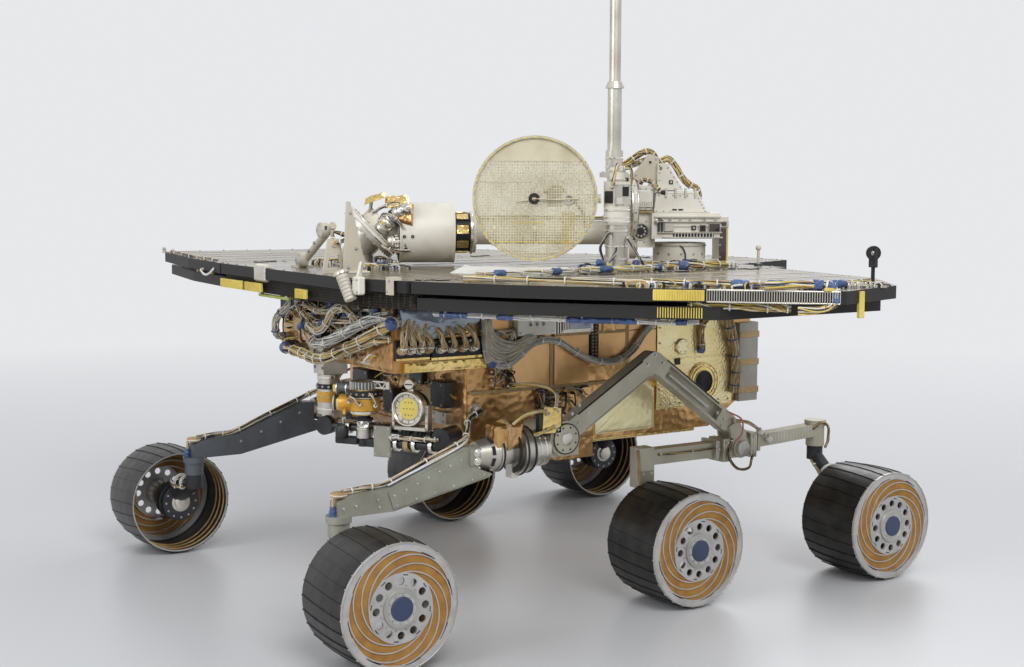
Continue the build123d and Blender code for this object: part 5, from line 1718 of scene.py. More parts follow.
@dataclass
class FoilSkin:
    """Crumpled foil over the body's walls, tiles and panels."""

    half_width: float = WALL_Y
    tile_face: float = TILE_Y
    gold_face: float = GOLD_Y
    port_tiles: tuple = (
        (-0.066, -0.152, 0.600, 0.657), (-0.155, -0.241, 0.600, 0.640), (-0.066, -0.152, 0.520, 0.597),
        (-0.155, -0.241, 0.500, 0.597), (0.476, 0.400, 0.610, 0.660), (0.397, 0.180, 0.610, 0.660),
        (0.232, 0.180, 0.530, 0.607), (0.060, -0.040, 0.480, 0.596), (-0.485, -0.543, 0.603, 0.650),
        (0.176, 0.072, 0.480, 0.596))
    starboard_tiles: tuple = (
        (0.476, 0.300, 0.540, 0.660), (0.297, 0.100, 0.540, 0.660), (0.097, -0.140, 0.520, 0.660),
        (-0.143, -0.340, 0.520, 0.660), (-0.343, -0.540, 0.520, 0.660), (-0.143, -0.400, 0.360, 0.517),
        (0.088, -0.140, 0.360, 0.517))
    bare_port: tuple = (
        (0.289, 0.072, 0.350, 0.476), (0.069, -0.059, 0.350, 0.476), (0.472, 0.236, 0.562, 0.606),
        (-0.155, -0.238, 0.476, 0.497))
    bare_starboard: tuple = ((0.287, 0.100, 0.350, 0.535), (-0.403, -0.540, 0.440, 0.515))
    black_patch: int = 2

    def build(self) -> None:
        """Lay foil on the port and starboard walls, the nose, the tail and the belly."""
        work = Workpiece("body_foil", "chassis")
        for tiles, finish, face, seed, depth, lap, side in (
                (self.port_tiles, FOIL_TILE, self.tile_face, 40, 0.0010, 0.003, 1.0),
                (self.bare_port, FOIL_COPPER, self.half_width, 60, 0.0035, 0.0, 1.0),
                (self.starboard_tiles, FOIL_TILE, self.tile_face, 80, 0.0010, 0.003, -1.0),
                (self.bare_starboard, FOIL_COPPER, self.half_width, 90, 0.0028, 0.0, -1.0)):
            for number, (front, rear, low, high) in enumerate(tiles):
                sheet = self.wall_sheet(front - lap, rear, low, high, face, seed + number, depth)
                black = tiles is self.bare_port and number == self.black_patch
                work.add(BLACK if black else finish, sheet.mirrored(side))
        self.gold(work)
        self.ends(work)
        work.make()

    def wall_sheet(
            self, front: float, rear: float, low: float, high: float, y: float, seed: int,
            depth: float) -> Shape:
        """Foil on the port wall between two x and two z."""
        corners = ((front, y, low), (rear, y, low), (rear, y, high), (front, y, high))
        return Sheet(corners, PLUS_Y, depth, 0.052, seed).shape()

    def gold(self, work: Workpiece) -> None:
        """The gold panel and the pale panel, with their seams.

        Args:
            work: The workpiece that takes the shapes.
        """
        y = self.gold_face
        columns, rows = ((-0.2435, -0.362), (-0.363, -0.4815)), ((0.401, 0.5195), (0.5205, 0.639))
        fields = [(*column, *row) for column in columns for row in rows]
        for number, (front, rear, low, high) in enumerate(fields):
            corners = ((front, y, low), (rear, y, low), (rear, y, high), (front, y, high))
            work.add(PANEL_GOLD, Sheet(corners, PLUS_Y, 0.0015, 0.045, 100 + number, 0.0035, 0.0004).shape())
        pale = (
            (-0.064, 0.357), (-0.064, 0.428), (-0.130, 0.468), (-0.213, 0.468), (-0.236, 0.452),
            (-0.236, 0.359))
        left, right = (pale[0], pale[3], pale[2], pale[1]), (pale[0], pale[5], pale[4], pale[3])
        for number, four in enumerate((left, right)):
            corners = tuple((x, self.tile_face, z) for x, z in four)
            work.add(FOIL_PALE, Sheet(corners, PLUS_Y, 0.0009, 0.090, 110 + number, 0.0035, 0.0004).shape())

    def ends(self, work: Workpiece) -> None:
        """The nose's front face and underside, the recess wall, the belly and the tail.

        Args:
            work: The workpiece that takes the shapes.
        """
        h = self.half_width - 0.002
        quads = (
            (
                ((NOSE_X, h, 0.537), (NOSE_X, -h, 0.537), (NOSE_X, -h, 0.682), (NOSE_X, h, 0.682)), PLUS_X,
                0.005, FOIL_COPPER),
            (
                ((0.292, h, 0.382), (0.292, -h, 0.382), (0.292, -h, 0.533), (0.292, h, 0.533)), PLUS_X, 0.006,
                FOIL_COPPER),
            (
                ((0.476, h, 0.535), (0.294, h, 0.535), (0.294, -h, 0.535), (0.476, -h, 0.535)), MINUS_Z,
                0.004, FOIL_COPPER),
            (
                ((0.291, h, 0.378), (0.258, h, 0.346), (0.258, -h, 0.346), (0.291, -h, 0.378)),
                (0.69, 0, -0.72), 0.004, FOIL_COPPER),
            (
                ((0.165, h, 0.345), (-0.225, h, 0.345), (-0.225, 0.158, 0.345), (0.165, 0.158, 0.345)),
                MINUS_Z, 0.003, FOIL_GOLD),
            (
                ((0.165, -h, 0.345), (-0.225, -h, 0.345), (-0.225, -0.158, 0.345), (0.165, -0.158, 0.345)),
                MINUS_Z, 0.003, FOIL_GOLD),
            (
                ((-0.416, h, 0.346), (-0.544, h, 0.429), (-0.544, -h, 0.429), (-0.416, -h, 0.346)),
                (-0.55, 0, -0.84), 0.004, FOIL_COPPER),
            (
                ((-0.545, 0.160, 0.432), (-0.545, -h, 0.432), (-0.545, -h, 0.680), (-0.545, 0.160, 0.680)),
                MINUS_X, 0.004, FOIL_COPPER),
        )
        for number, (corners, normal, depth, finish) in enumerate(quads):
            work.add(finish, Sheet(corners, normal, depth, 0.060, 120 + number, 0.005).shape())


@dataclass
class WallEquipment:
    """Boxes, connectors, the ringed vent, straps and tape on the port wall and the nose."""

    wall: float = WALL_Y
    tile: float = TILE_Y
    gold: float = GOLD_Y
    vent: tuple = (-0.387, 0.460)
    disc: tuple = (-0.318, 0.551)
    plugs: tuple = (0.465, 0.443, 0.421, 0.400)
    more_plugs: tuple = (0.372, 0.344, 0.316, 0.288)
    plug_z: float = 0.584
    # Corner, two edges, normal, count, reach, span, radius, seed and finishes.
    loose_wires: tuple = (
        Tangle(
            (0.232, 0.290, 0.485), (-0.060, 0, 0), (0, 0, 0.090), PLUS_Y, 26, 0.020, 0.05, 0.0015, 5,
            (BLACK_WIRE, GREY_WIRE, TAN, BLACK_WIRE)),
        Tangle(
            (0.226, 0.292, 0.540), (-0.052, 0, 0), (0, 0, 0.080), PLUS_Y, 16, 0.022, 0.06, 0.0013, 6,
            (GREY_WIRE, WHITE_WIRE, CREAM)),
        Tangle(
            (0.110, 0.287, 0.405), (-0.150, 0, 0), (0, 0, 0.070), PLUS_Y, 34, 0.018, 0.07, 0.0018, 11,
            (BLACK_WIRE, TAN, BLACK_WIRE, GREY_WIRE)),
        Tangle(
            (NOSE_X, -0.270, 0.548), (0, 0.500, 0), (0, 0, 0.120), PLUS_X, 54, 0.024, 0.09, 0.0017, 7,
            (CREAM, TAN, GREY_WIRE, BLACK_WIRE, WHITE_WIRE, YELLOW_WIRE)),
        Tangle(
            (0.476, 0.286, 0.650), (-0.680, 0, 0), (0, 0, 0.028), PLUS_Y, 44, 0.013, 0.06, 0.0013, 8,
            (WHITE_WIRE, CREAM, YELLOW_WIRE, BLUE_WRAP, GREY_WIRE)),
        Tangle(
            (0.292, 0.262, 0.410), (0, -0.510, 0), (0, 0, 0.110), PLUS_X, 40, 0.020, 0.08, 0.0017, 9,
            (BLACK_WIRE, TAN, GREY_WIRE, YELLOW_WIRE)),
        Tangle(
            (-0.486, 0.286, 0.610), (-0.050, 0, 0), (0, 0, 0.060), PLUS_Y, 14, 0.016, 0.04, 0.0015, 10,
            (WHITE_WIRE, YELLOW_WIRE, TAN)),
    )
    # Low corner, high corner and finish.
    nose_boxes: tuple = (
        ((NOSE_X, -0.250, 0.640), (0.500, -0.170, 0.676), BLACK),
        ((NOSE_X, 0.150, 0.640), (0.496, 0.220, 0.672), SILVER),
        ((NOSE_X, 0.050, 0.600), (0.492, 0.110, 0.640), FOIL_GOLD),
        ((NOSE_X, -0.110, 0.570), (0.490, -0.050, 0.600), DARK_METAL),
        ((NOSE_X, -0.190, 0.590), (0.494, -0.130, 0.625), TAPE),
    )

    def build(self) -> None:
        """Make the pieces in four groups."""
        work = Workpiece("wall_equipment", "chassis")
        self.boxes(work)
        self.vent_and_disc(work)
        self.connectors(work)
        self.trim(work)
        work.make()

    def boxes(self, work: Workpiece) -> None:
        """Screws and edges of the white box and the finned box, and the perforated strip behind them.

        Args:
            work: The workpiece that takes the shapes.
        """
        face = self.wall + 0.026
        corners = [(x, face, z) for x in (0.075, 0.165) for z in (0.609, 0.652)]
        work.add(BOLT, bolts(corners, PLUS_Y, *HEAD_44))
        for x in (0.102, 0.120, 0.138):
            rim = ring((x, face - 0.001, 0.6285), (x, face + 0.0012, 0.6285), 0.0040, 0.0062, 20)
            work.add(SILVER, rim)
        face = self.wall + 0.020
        work.add(BAG, block((-0.036, face - 0.001, 0.611), (0.026, face + 0.0034, 0.651), 0.003))
        ribs = block((-0.0011, 0.0, -0.021), (0.0011, 0.0040, 0.021), 0.0004)
        xs = np.linspace(0.031, 0.045, 4)
        work.add(SILVER, ribs.repeated(np.stack([xs, np.full(4, face + 0.0010), np.full(4, 0.631)], -1)))
        work.add(BOLT, bolts(
            [(x, face, z) for x in (-0.039, 0.044) for z in (0.607, 0.654)], PLUS_Y, *HEAD_40))
        work.add(BLACK, block((-0.065, self.wall - 0.001, 0.540), (-0.045, self.wall + 0.009, 0.660), 0.001))
        holes = [(x, self.wall + 0.009, z) for x in (-0.060, -0.050) for z in np.linspace(0.548, 0.652, 14)]
        pin = turned((0, 0, -0.0004), (0, 0, 0.0008), [(0, 0.0022), (1, 0.0016)], 10)
        work.add(TAPE, pin.repeated(np.array(holes), facing(PLUS_Y)))
        x, y, z = -0.098, self.tile, 0.618
        work.add(TAPE, block((x - 0.020, y + 0.001, z - 0.020), (x + 0.020, y + 0.0042, z + 0.020), 0.0015))
        steps = ((0.017, -0.017), (-0.017, -0.017), (-0.017, 0.017), (0.017, 0.017))
        square = tuple((x + a, y + 0.0042, z + b) for a, b in steps)
        work.add(FOIL_COPPER, Sheet(square, PLUS_Y, 0.0016, 0.02, 150, 0.002, 0.0003).shape())

    def vent_and_disc(self, work: Workpiece) -> None:
        """The ringed vent with its dark core, the pale disc and the small square hole.

        Args:
            work: The workpiece that takes the shapes.
        """
        x, z = self.vent
        face = self.gold + 0.005
        work.add(BLACK, turned(
            (x, self.gold, z), (x, face - 0.0006, z), [(0, 0.030), (0.9, 0.030), (1, 0.026)], 40))
        for radius in (0.0300, 0.0385, 0.0465):
            work.add(PANEL_GOLD, ring(
                (x, face - 0.001, z), (x, face + 0.0025, z), radius - 0.0022, radius, 48))
        for radius in (0.0105, 0.0180, 0.0245):
            work.add(DARK_METAL, ring(
                (x, face - 0.002, z), (x, face + 0.0010, z), radius - 0.0016, radius, 40))
        work.add(BOLT, bolts(on_ring((x, face + 0.0005, z), PLUS_Y, 0.0425, 12), PLUS_Y, *HEAD_32))
        x, z = self.disc
        work.add(FOIL_PALE, turned(
            (x, face - 0.001, z), (x, face + 0.003, z), [(0, 0.0195), (0.6, 0.0195), (1, 0.0175)], 40))
        work.add(BOLT, bolts(on_ring((x, face + 0.003, z), PLUS_Y, 0.0135, 6), PLUS_Y, 0.0014, 0.0014))
        work.add(BLACK, block((-0.314, self.gold, 0.507), (-0.298, self.gold + 0.0036, 0.523), 0.0006))
        spots = [(x, self.gold + 0.0015, z) for z in (0.412, 0.628) for x in np.linspace(-0.470, -0.255, 8)]
        spots += [(x, self.gold + 0.0015, z) for x in (-0.474, -0.251) for z in np.linspace(0.450, 0.600, 5)]
        work.add(BOLT, bolts(spots, PLUS_Y, 0.0020, 0.0022))

    def connectors(self, work: Workpiece) -> None:
        """Plugs with ribbed nuts on the black connector row, and the gold band along its foot.

        Args:
            work: The workpiece that takes the shapes.
        """
        thin, thick = self.wall + 0.008, self.wall + 0.016
        profile = [
            (0, 0.0098), (0.10, 0.0098), (0.12, 0.0086), (0.50, 0.0086), (0.52, 0.0070), (0.85, 0.0066),
            (1, 0.005)]
        for number, (x, y) in enumerate([(x, thin) for x in self.plugs] + [
                (x, thick) for x in self.more_plugs]):
            work.add(SILVER if number % 3 else TAPE, turned(
                (x, y, self.plug_z), (x, y + 0.021, self.plug_z), profile, 20))
            teeth = on_ring((x, y + 0.006, self.plug_z), PLUS_Y, 0.0088, 14)
            knurl = block((-0.0005, -0.0005, -0.0035), (0.0005, 0.0005, 0.0035), 0.0002)
            work.add(BRIGHT, knurl.repeated(teeth, facing(PLUS_Y)))
        work.add(
            FOIL_GOLD, block((0.262, thick - 0.002, 0.5595), (0.392, thick + 0.0025, 0.5665), 0.001),
            block((0.392, thin - 0.002, 0.5615), (0.476, thin + 0.0025, 0.5680), 0.001))
        spots = [(x, thick, 0.599) for x in np.linspace(0.274, 0.382, 7)]
        work.add(BOLT, bolts(spots, PLUS_Y, *HEAD_36_TALL))
        for number, x in enumerate(self.more_plugs):
            y = thick + 0.017
            route = (
                (x, y, self.plug_z), (x + 0.001, y + 0.006, self.plug_z + 0.014),
                (x + 0.010, y + 0.005, self.plug_z + 0.036), (x + 0.022, y - 0.008, self.plug_z + 0.056),
                (x + 0.030, y - 0.012, self.plug_z + 0.078))
            Bundle(route, 0.0075, 0.0018, 13, 2.0, 160 + number, 34, (TAN, CREAM, TAPE, TAN), 1).lay(work)
        strip = Sheet(
            ((0.456, 0.297, 0.5365), (0.236, 0.297, 0.5365), (0.236, 0.297, 0.5555), (0.456, 0.297, 0.5555)),
            PLUS_Y, 0.0022, 0.022, 170, 0.002, 0.0002)
        work.add(FOIL_GOLD, strip.shape())
        yellow = Sheet(
            ((0.392, 0.2905, 0.610), (0.290, 0.2905, 0.612), (0.286, 0.2905, 0.642), (0.396, 0.2905, 0.636)),
            PLUS_Y, 0.006, 0.030, 171, 0.0025, 0.0006)
        work.add(FOIL_GOLD, yellow.shape())

    def trim(self, work: Workpiece) -> None:
        """Tape along seams, loose wire, straps on the blanket, rails under the body.

        Args:
            work: The workpiece that takes the shapes.
        """
        for x0, x1, z0, z1 in (
                (-0.154, -0.1525, 0.520, 0.657), (0.1775, 0.1785, 0.480, 0.660),
                (0.0655, 0.0665, 0.35, 0.596)):
            work.add(TAPE, block(
                (x0 - 0.004, self.tile + 0.0005, z0), (x1 + 0.004, self.tile + 0.0022, z1), 0.0006))
        for z, x0, x1 in ((0.478, -0.240, 0.288), (0.5985, -0.152, 0.060), (0.662, -0.240, 0.470)):
            work.add(TAPE, block(
                (x0, self.tile - 0.003, z - 0.004), (x1, self.tile + 0.0020, z + 0.004), 0.0006))
        for x, z in ((-0.512, 0.430), (-0.512, 0.500), (-0.512, 0.570)):
            work.add(TAPE, block((x - 0.056, 0.2955, z - 0.008), (x + 0.008, 0.2995, z + 0.008), 0.001))
        for tangle in self.loose_wires:
            tangle.lay(work)
        for low, high, finish in self.nose_boxes:
            work.add(finish, block(low, high, 0.002))
            ys, zs = (low[1] + 0.006, high[1] - 0.006), (low[2] + 0.006, high[2] - 0.006)
            work.add(BOLT, bolts([(high[0], y, z) for y in ys for z in zs], PLUS_X, *HEAD_40))
        for y in (0.268, 0.222):
            work.add(FOIL_GOLD, tube(spread((0.150, y, 0.3395), (-0.380, y, 0.3395), 8), 0.0055, 10), tube(
                spread((0.150, -y, 0.3395), (-0.380, -y, 0.3395), 8), 0.0055, 10))


@dataclass
class BodyWiring:
    """The wire bundles along the body's walls and nose, in place of the CAD cables."""

    harness_y: float = 0.303
    level: tuple = (
        (0.470, 0.671), (0.452, 0.672), (0.300, 0.675), (0.120, 0.668), (-0.080, 0.674), (-0.262, 0.671),
        (-0.276, 0.671))
    wave: tuple = (
        (0.250, 0.672), (0.257, 0.622), (0.253, 0.585), (0.246, 0.556), (0.226, 0.538), (0.196, 0.537),
        (0.165, 0.556), (0.128, 0.582), (0.090, 0.590), (0.052, 0.583), (0.010, 0.560), (-0.035, 0.539),
        (-0.085, 0.529), (-0.130, 0.534), (-0.165, 0.555), (-0.195, 0.590), (-0.232, 0.622), (-0.258, 0.652),
        (-0.264, 0.670))
    plug_runs: tuple = ((0.460, 0.465), (0.444, 0.443), (0.430, 0.421), (0.412, 0.400))
    bag: tuple = (
        (0.474, 0.674), (0.472, 0.640), (0.440, 0.614), (0.392, 0.607), (0.330, 0.620), (0.272, 0.641),
        (0.262, 0.674))
    port_nose: tuple = (
        (0.476, 0.303, 0.650), (0.502, 0.303, 0.641), (0.514, 0.200, 0.600), (0.520, 0.128, 0.575),
        (0.528, 0.062, 0.551), (0.530, 0.000, 0.543), (0.527, -0.056, 0.548), (0.520, -0.135, 0.549),
        (0.506, -0.214, 0.549), (0.480, -0.220, 0.549))
    upper_nose: tuple = (
        (0.502, 0.250, 0.682), (0.502, 0.249, 0.657), (0.500, 0.225, 0.650), (0.500, 0.120, 0.640),
        (0.502, 0.040, 0.629), (0.500, -0.040, 0.620), (0.498, -0.110, 0.631), (0.498, -0.148, 0.652),
        (0.498, -0.150, 0.682))
    high_loop: tuple = (
        (0.480, -0.095, 0.628), (0.506, -0.078, 0.622), (0.522, -0.040, 0.612), (0.5255, 0.006, 0.607),
        (0.5250, 0.042, 0.619), (0.5240, 0.077, 0.652), (0.5215, 0.108, 0.670), (0.5170, 0.134, 0.669),
        (0.5110, 0.152, 0.655), (0.4980, 0.159, 0.642), (0.4780, 0.160, 0.638))
    nose_tiles: tuple = ((0.106, 0.181, 0.540, 0.596), (0.183, 0.268, 0.540, 0.598))
    starboard_nose: tuple = (
        (0.498, -0.196, 0.682), (0.499, -0.198, 0.655), (0.511, -0.243, 0.620), (0.513, -0.251, 0.590),
        (0.505, -0.252, 0.573), (0.480, -0.252, 0.572))
    curved: tuple = (
        (-0.377, 0.303, 0.545), (-0.374, 0.303, 0.590), (-0.392, 0.303, 0.618), (-0.425, 0.303, 0.633),
        (-0.452, 0.307, 0.630))
    hanging: tuple = (
        (-0.448, 0.307, 0.652), (-0.456, 0.309, 0.610), (-0.471, 0.309, 0.560), (-0.484, 0.307, 0.489),
        (-0.481, 0.305, 0.427))

    def build(self) -> None:
        """Make the side, nose and tail bundles."""
        self.side_wires()
        self.nose_wires()
        self.tail_wires()

    def side_wires(self) -> None:
        """The level and the waving bundles, the curved wires to the plugs, the wraps and the bag."""
        work = Workpiece("side_wires", "chassis")
        grey = (GREY_WIRE, CREAM, GREY_WIRE, WHITE_WIRE, GREY_WIRE)
        Bundle(upright(self.wave, self.harness_y), 0.0088, 0.0017, 20, 5.0, 21, 150, grey, 13).lay(work)
        Bundle(
            upright(self.level, self.harness_y), 0.0085, 0.0016, 18, 6.0, 22, 110,
            (WHITE_WIRE, CREAM, GREY_WIRE, YELLOW_WIRE), 12, BLUE_WRAP).lay(work)
        top = 0.674
        for number, (start, end) in enumerate(self.plug_runs):
            route = (
                (start - 0.030, 0.305, top - 0.006), (start - 0.006, 0.309, top - 0.022),
                (start + 0.006, 0.313, 0.628), (end + 0.002, 0.313, 0.604), (end, 0.311, 0.586))
            Bundle(
                route, 0.0085, 0.0018, 16, 1.6, 23 + number, 40, (CREAM, TAN, TAPE, CREAM, TAN), 2).lay(work)
        for k in range(7):
            lift, back = 0.0065 * k, 0.006 * k
            route = (
                (0.268 - 0.004 * k, 0.305, 0.672), (0.264 - 0.003 * k, 0.312, 0.625 + 0.3 * lift),
                (0.252 - 0.5 * back, 0.314, 0.566 + lift), (0.222 - back, 0.314, 0.550 + lift),
                (0.180 - back, 0.313, 0.562 + lift), (0.140 - 0.5 * back, 0.309, 0.583 + 0.4 * lift))
            Bundle(
                route, 0.0048, 0.0016, 5, 2.0, 27 + k, 60, (GREY_WIRE, WHITE_WIRE, GREY_WIRE, CREAM),
                1).lay(work)
        path = curve(upright(self.level, self.harness_y), 110)
        for first, last in ((3, 15), (40, 47), (66, 84)):
            work.add(BLUE_WRAP, sleeve(path[first:last], 0.0100, 30 + first))
        path = curve(upright(self.wave, self.harness_y), 150)
        for first, last in ((2, 9), (27, 33), (138, 147)):
            work.add(BLUE_WRAP, sleeve(path[first:last], 0.0104, 50 + first))
        work.add(BAG, self.crumpled_bag())
        work.make(("side_harness",))

    def crumpled_bag(self) -> Shape:
        """A slack clear bag: the outline's rings swell by sin(pi t), with creases added to the front face.

        Returns:
            The closed bag.
        """
        outline = np.asarray(self.bag)
        middle = outline.mean(axis=0)
        ends = np.linspace(0, len(outline), 84, endpoint=False)
        index = ends.astype(int)
        share = (ends - index)[:, None]
        edge = (1 - share) * outline[index] + share * outline[(index + 1) % len(outline)]
        share = np.linspace(0, 1, 12)[:, None, None]
        spots = middle + (edge[None] - middle) * np.sin(0.5 * math.pi * share)
        swell = 0.006 * np.cos(0.5 * math.pi * share[..., 0])
        fade = 0.25 + np.cos(0.5 * math.pi * share[..., 0])
        creases = 0.008 * crumple(spots[..., 0], spots[..., 1], 71, 0.040) * fade
        front = np.stack([spots[..., 0], 0.3085 + swell + creases, spots[..., 1]], -1)
        back = np.stack([spots[..., 0], np.full(creases.shape, 0.2975), spots[..., 1]], -1)[::-1]
        return loft(np.concatenate([front[1:], back[:-1]]))

    def nose_wires(self) -> None:
        """The thick tied bundles over the nose, the cable loops and the black plug at their end."""
        work = Workpiece("nose_wires", "chassis")
        gold = (CREAM, TAPE, TAN, GREY_WIRE, BLACK_WIRE, CREAM, YELLOW_WIRE, TAN)
        Bundle(self.port_nose, 0.0125, 0.0019, 26, 5.0, 31, 130, gold, 12).lay(work)
        Bundle(
            self.upper_nose, 0.0092, 0.0017, 18, 4.0, 32, 90, (CREAM, TAPE, WHITE_WIRE, TAN, BLACK_WIRE),
            7).lay(work)
        Bundle(self.high_loop, 0.0088, 0.0019, 16, 2.0, 34, 90, (WHITE_WIRE, TAN, TAPE, CREAM), 8).lay(work)
        for number, (near, far, low, high) in enumerate(self.nose_tiles):
            face = ((NOSE_X, near, low), (NOSE_X, far, low), (NOSE_X, far, high), (NOSE_X, near, high))
            work.add(FOIL_TILE, Sheet(face, PLUS_X, 0.0010, 0.052, 120 + number).shape())
        Bundle(
            self.starboard_nose, 0.0100, 0.0017, 18, 3.0, 33, 60, (GREY_WIRE, GREY_WIRE, CREAM), 4,
            BLUE_WRAP).lay(work)
        path = curve(self.port_nose, 130)
        for first, last in ((8, 15), (108, 114)):
            work.add(BLUE_WRAP, sleeve(path[first:last], 0.0138, 60 + first))
        path = curve(self.upper_nose, 90)
        for first, last in ((2, 12), (48, 54)):
            work.add(BLUE_WRAP, sleeve(path[first:last], 0.0106, 80 + first))
        work.add(BLACK, turned(
            (NOSE_X, -0.220, 0.549), (0.500, -0.220, 0.549), [(0, 0.0155), (0.8, 0.0155), (1, 0.013)], 24))
        work.make(("nose_harness",))

    def tail_wires(self) -> None:
        """The curved brown cable on the gold panel and the tied hanging bundle."""
        work = Workpiece("tail_wires", "chassis")
        Bundle(self.hanging, 0.0130, 0.0019, 26, 4.0, 41, 80, (TAN, TAPE, CREAM, TAN), 7, BLUE_WRAP).lay(work)
        Bundle(self.curved, 0.0085, 0.0017, 14, 3.0, 42, 60, (TAN, TAN, TAPE), 4).lay(work)
        for x, z in ((-0.377, 0.541), (-0.400, 0.626)):
            work.add(BLUE_WRAP, turned(
                (x, 0.2935, z), (x, 0.306, z), [(0, 0.0100), (0.8, 0.0100), (1, 0.008)], 20))
        work.make(("tail_harness",))


@dataclass
class DeckDetails:
    """Edge blocks, tags, bolts, brackets and wiring on the deck, its wings and its tail."""

    top: float = DECK_Z
    hinge: float = 0.425
    edge_blocks: tuple = (
        ("chassis", (0.583, -0.415, 0.0), (0.583, -0.285, 0.0), 0.687, 0.708),
        ("chassis", (0.583, -0.265, 0.0), (0.583, -0.170, 0.0), 0.687, 0.708),
        ("port_wing", (0.213, 0.850, 0.0), (0.140, 0.918, 0.0), 0.722, 0.743),
        ("port_wing", (0.200, 0.842, 0.0), (0.130, 0.907, 0.0), 0.687, 0.708),
        ("chassis", (0.583, 0.020, 0.0), (0.583, 0.075, 0.0), 0.687, 0.708),
    )
    port_edge: tuple = (
        (0.514, 0.428), (0.402, 0.627), (0.232, 0.830), (-0.058, 1.100), (-0.268, 1.030), (-0.412, 0.837),
        (-0.497, 0.428))
    starboard_edge: tuple = (
        (0.582, -0.428), (0.560, -0.700), (0.498, -1.040), (0.452, -1.100), (-0.268, -1.030),
        (-0.412, -0.837), (-0.497, -0.428))

    def build(self) -> None:
        """Make the pieces of each body."""
        self.panels()
        self.fixed()
        self.port()
        self.starboard()
        self.tail()

    def ribbed(self, work: Workpiece, start: tuple, end: tuple, low: float, high: float) -> None:
        """A yellow corrugated block along an edge: upright ribs on a backing.

        Args:
            work: The workpiece that takes the shapes.
            start: The edge's first end, at z 0.
            end: Its other end.
            low: Height of the block's foot.
            high: Height of its top.
        """
        start, end = np.asarray(start), np.asarray(end)
        length = float(np.linalg.norm(end - start))
        ahead = (end - start) / length
        out = np.array((-ahead[1], ahead[0], 0.0))
        out = out if out[0] > 0 else -out
        turn = np.stack([ahead, np.cross((0, 0, 1.0), ahead), (0, 0, 1.0)], -1)
        middle = (start + end) / 2 + (0, 0, (low + high) / 2)
        backing = block(
            (-length / 2, -0.003, (low - high) / 2), (length / 2, 0.003, (high - low) / 2), 0.0008)
        work.add(TAG, backing.repeated(middle[None], turn[None]))
        rib = block((-0.0011, -0.002, (low - high) / 2), (0.0011, 0.002, (high - low) / 2), 0.0004)
        count = int(length / 0.0052)
        places = spread(start, end, count + 2)[1:-1] + (0, 0, (low + high) / 2) + 0.0036 * out
        work.add(TAG, rib.repeated(places, turn))

    def strip(self, work: Workpiece, low: float, high: float, y: float) -> None:
        """One thin bright strip on the deck, from a low x to a high x."""
        half, sunk, proud = 0.0016, 0.0002, 0.0008
        work.add(STRIP, block((low, y - half, self.top - sunk), (high, y + half, self.top + proud), 0.0003))

    def strips(self, work: Workpiece, outline: tuple, low_y: float, high_y: float) -> None:
        """Thin bright strips between rows of cells, each cut where the outline ends.

        Args:
            work: The workpiece that takes the shapes.
            outline: The panel's corners (x, y).
            low_y: y of the first strip.
            high_y: Where the strips end.
        """
        edge = np.asarray(outline)
        for y in np.arange(low_y, high_y, 0.12):
            crossings = []
            for a, b in zip(edge, np.roll(edge, -1, 0)):
                if (a[1] - y) * (b[1] - y) < 0:
                    crossings.append(a[0] + (b[0] - a[0]) * (y - a[1]) / (b[1] - a[1]))
            if len(crossings) >= 2:
                low, high = min(crossings) + 0.02, max(crossings) - 0.02
                self.strip(work, low, high, y)

    def panels(self) -> None:
        """Strips between the cell rows, and bolts along folds and round rims."""
        for body, outline, side in (
                ("port_wing", self.port_edge, 1.0), ("starboard_wing", self.starboard_edge, -1.0)):
            work = Workpiece(f"{body}_panel", body)
            low, high = (0.50, 1.09) if side > 0 else (-1.09, -0.46)
            self.strips(work, outline, low, high)
            rim = np.asarray(outline)
            inner = inset(rim, 0.012)
            for a, b in zip(inner[:-1], inner[1:]):
                count = max(int(np.linalg.norm(b - a) / 0.07), 2)
                spots = np.linspace(a, b, count, endpoint=False)
                work.add(BOLT, bolts(
                    np.column_stack([spots, np.full(count, self.top)]), PLUS_Z, 0.0026, 0.0018))
            fold = [(x, side * (self.hinge + 0.014), self.top) for x in np.arange(-0.46, 0.50, 0.048)]
            work.add(BOLT, bolts(fold, PLUS_Z, *HEAD_48_FLAT))
            work.make()

    def fixed(self) -> None:
        """The middle deck's blocks, brackets, hook, wires and bolts."""
        work = Workpiece("deck_details", "chassis")
        for body, start, end, low, high in self.edge_blocks:
            if body == "chassis":
                self.ribbed(work, start, end, low, high)
        top = self.top
        for side in (1.0, -1.0):
            fold = [(x, side * (self.hinge - 0.017), top) for x in np.arange(-0.50, 0.50, 0.048)]
            work.add(BOLT, bolts(fold, PLUS_Z, *HEAD_48_FLAT))
        rim = [(0.572, y, top) for y in np.arange(-0.40, 0.25, 0.055)] + [
            (-0.530, y, top) for y in np.arange(-0.4, 0.4, 0.06)]
        work.add(BOLT, bolts(rim, PLUS_Z, 0.0026, 0.0018))
        for y in np.arange(-0.36, 0.37, 0.12):
            self.strip(work, -0.52, 0.20, y)
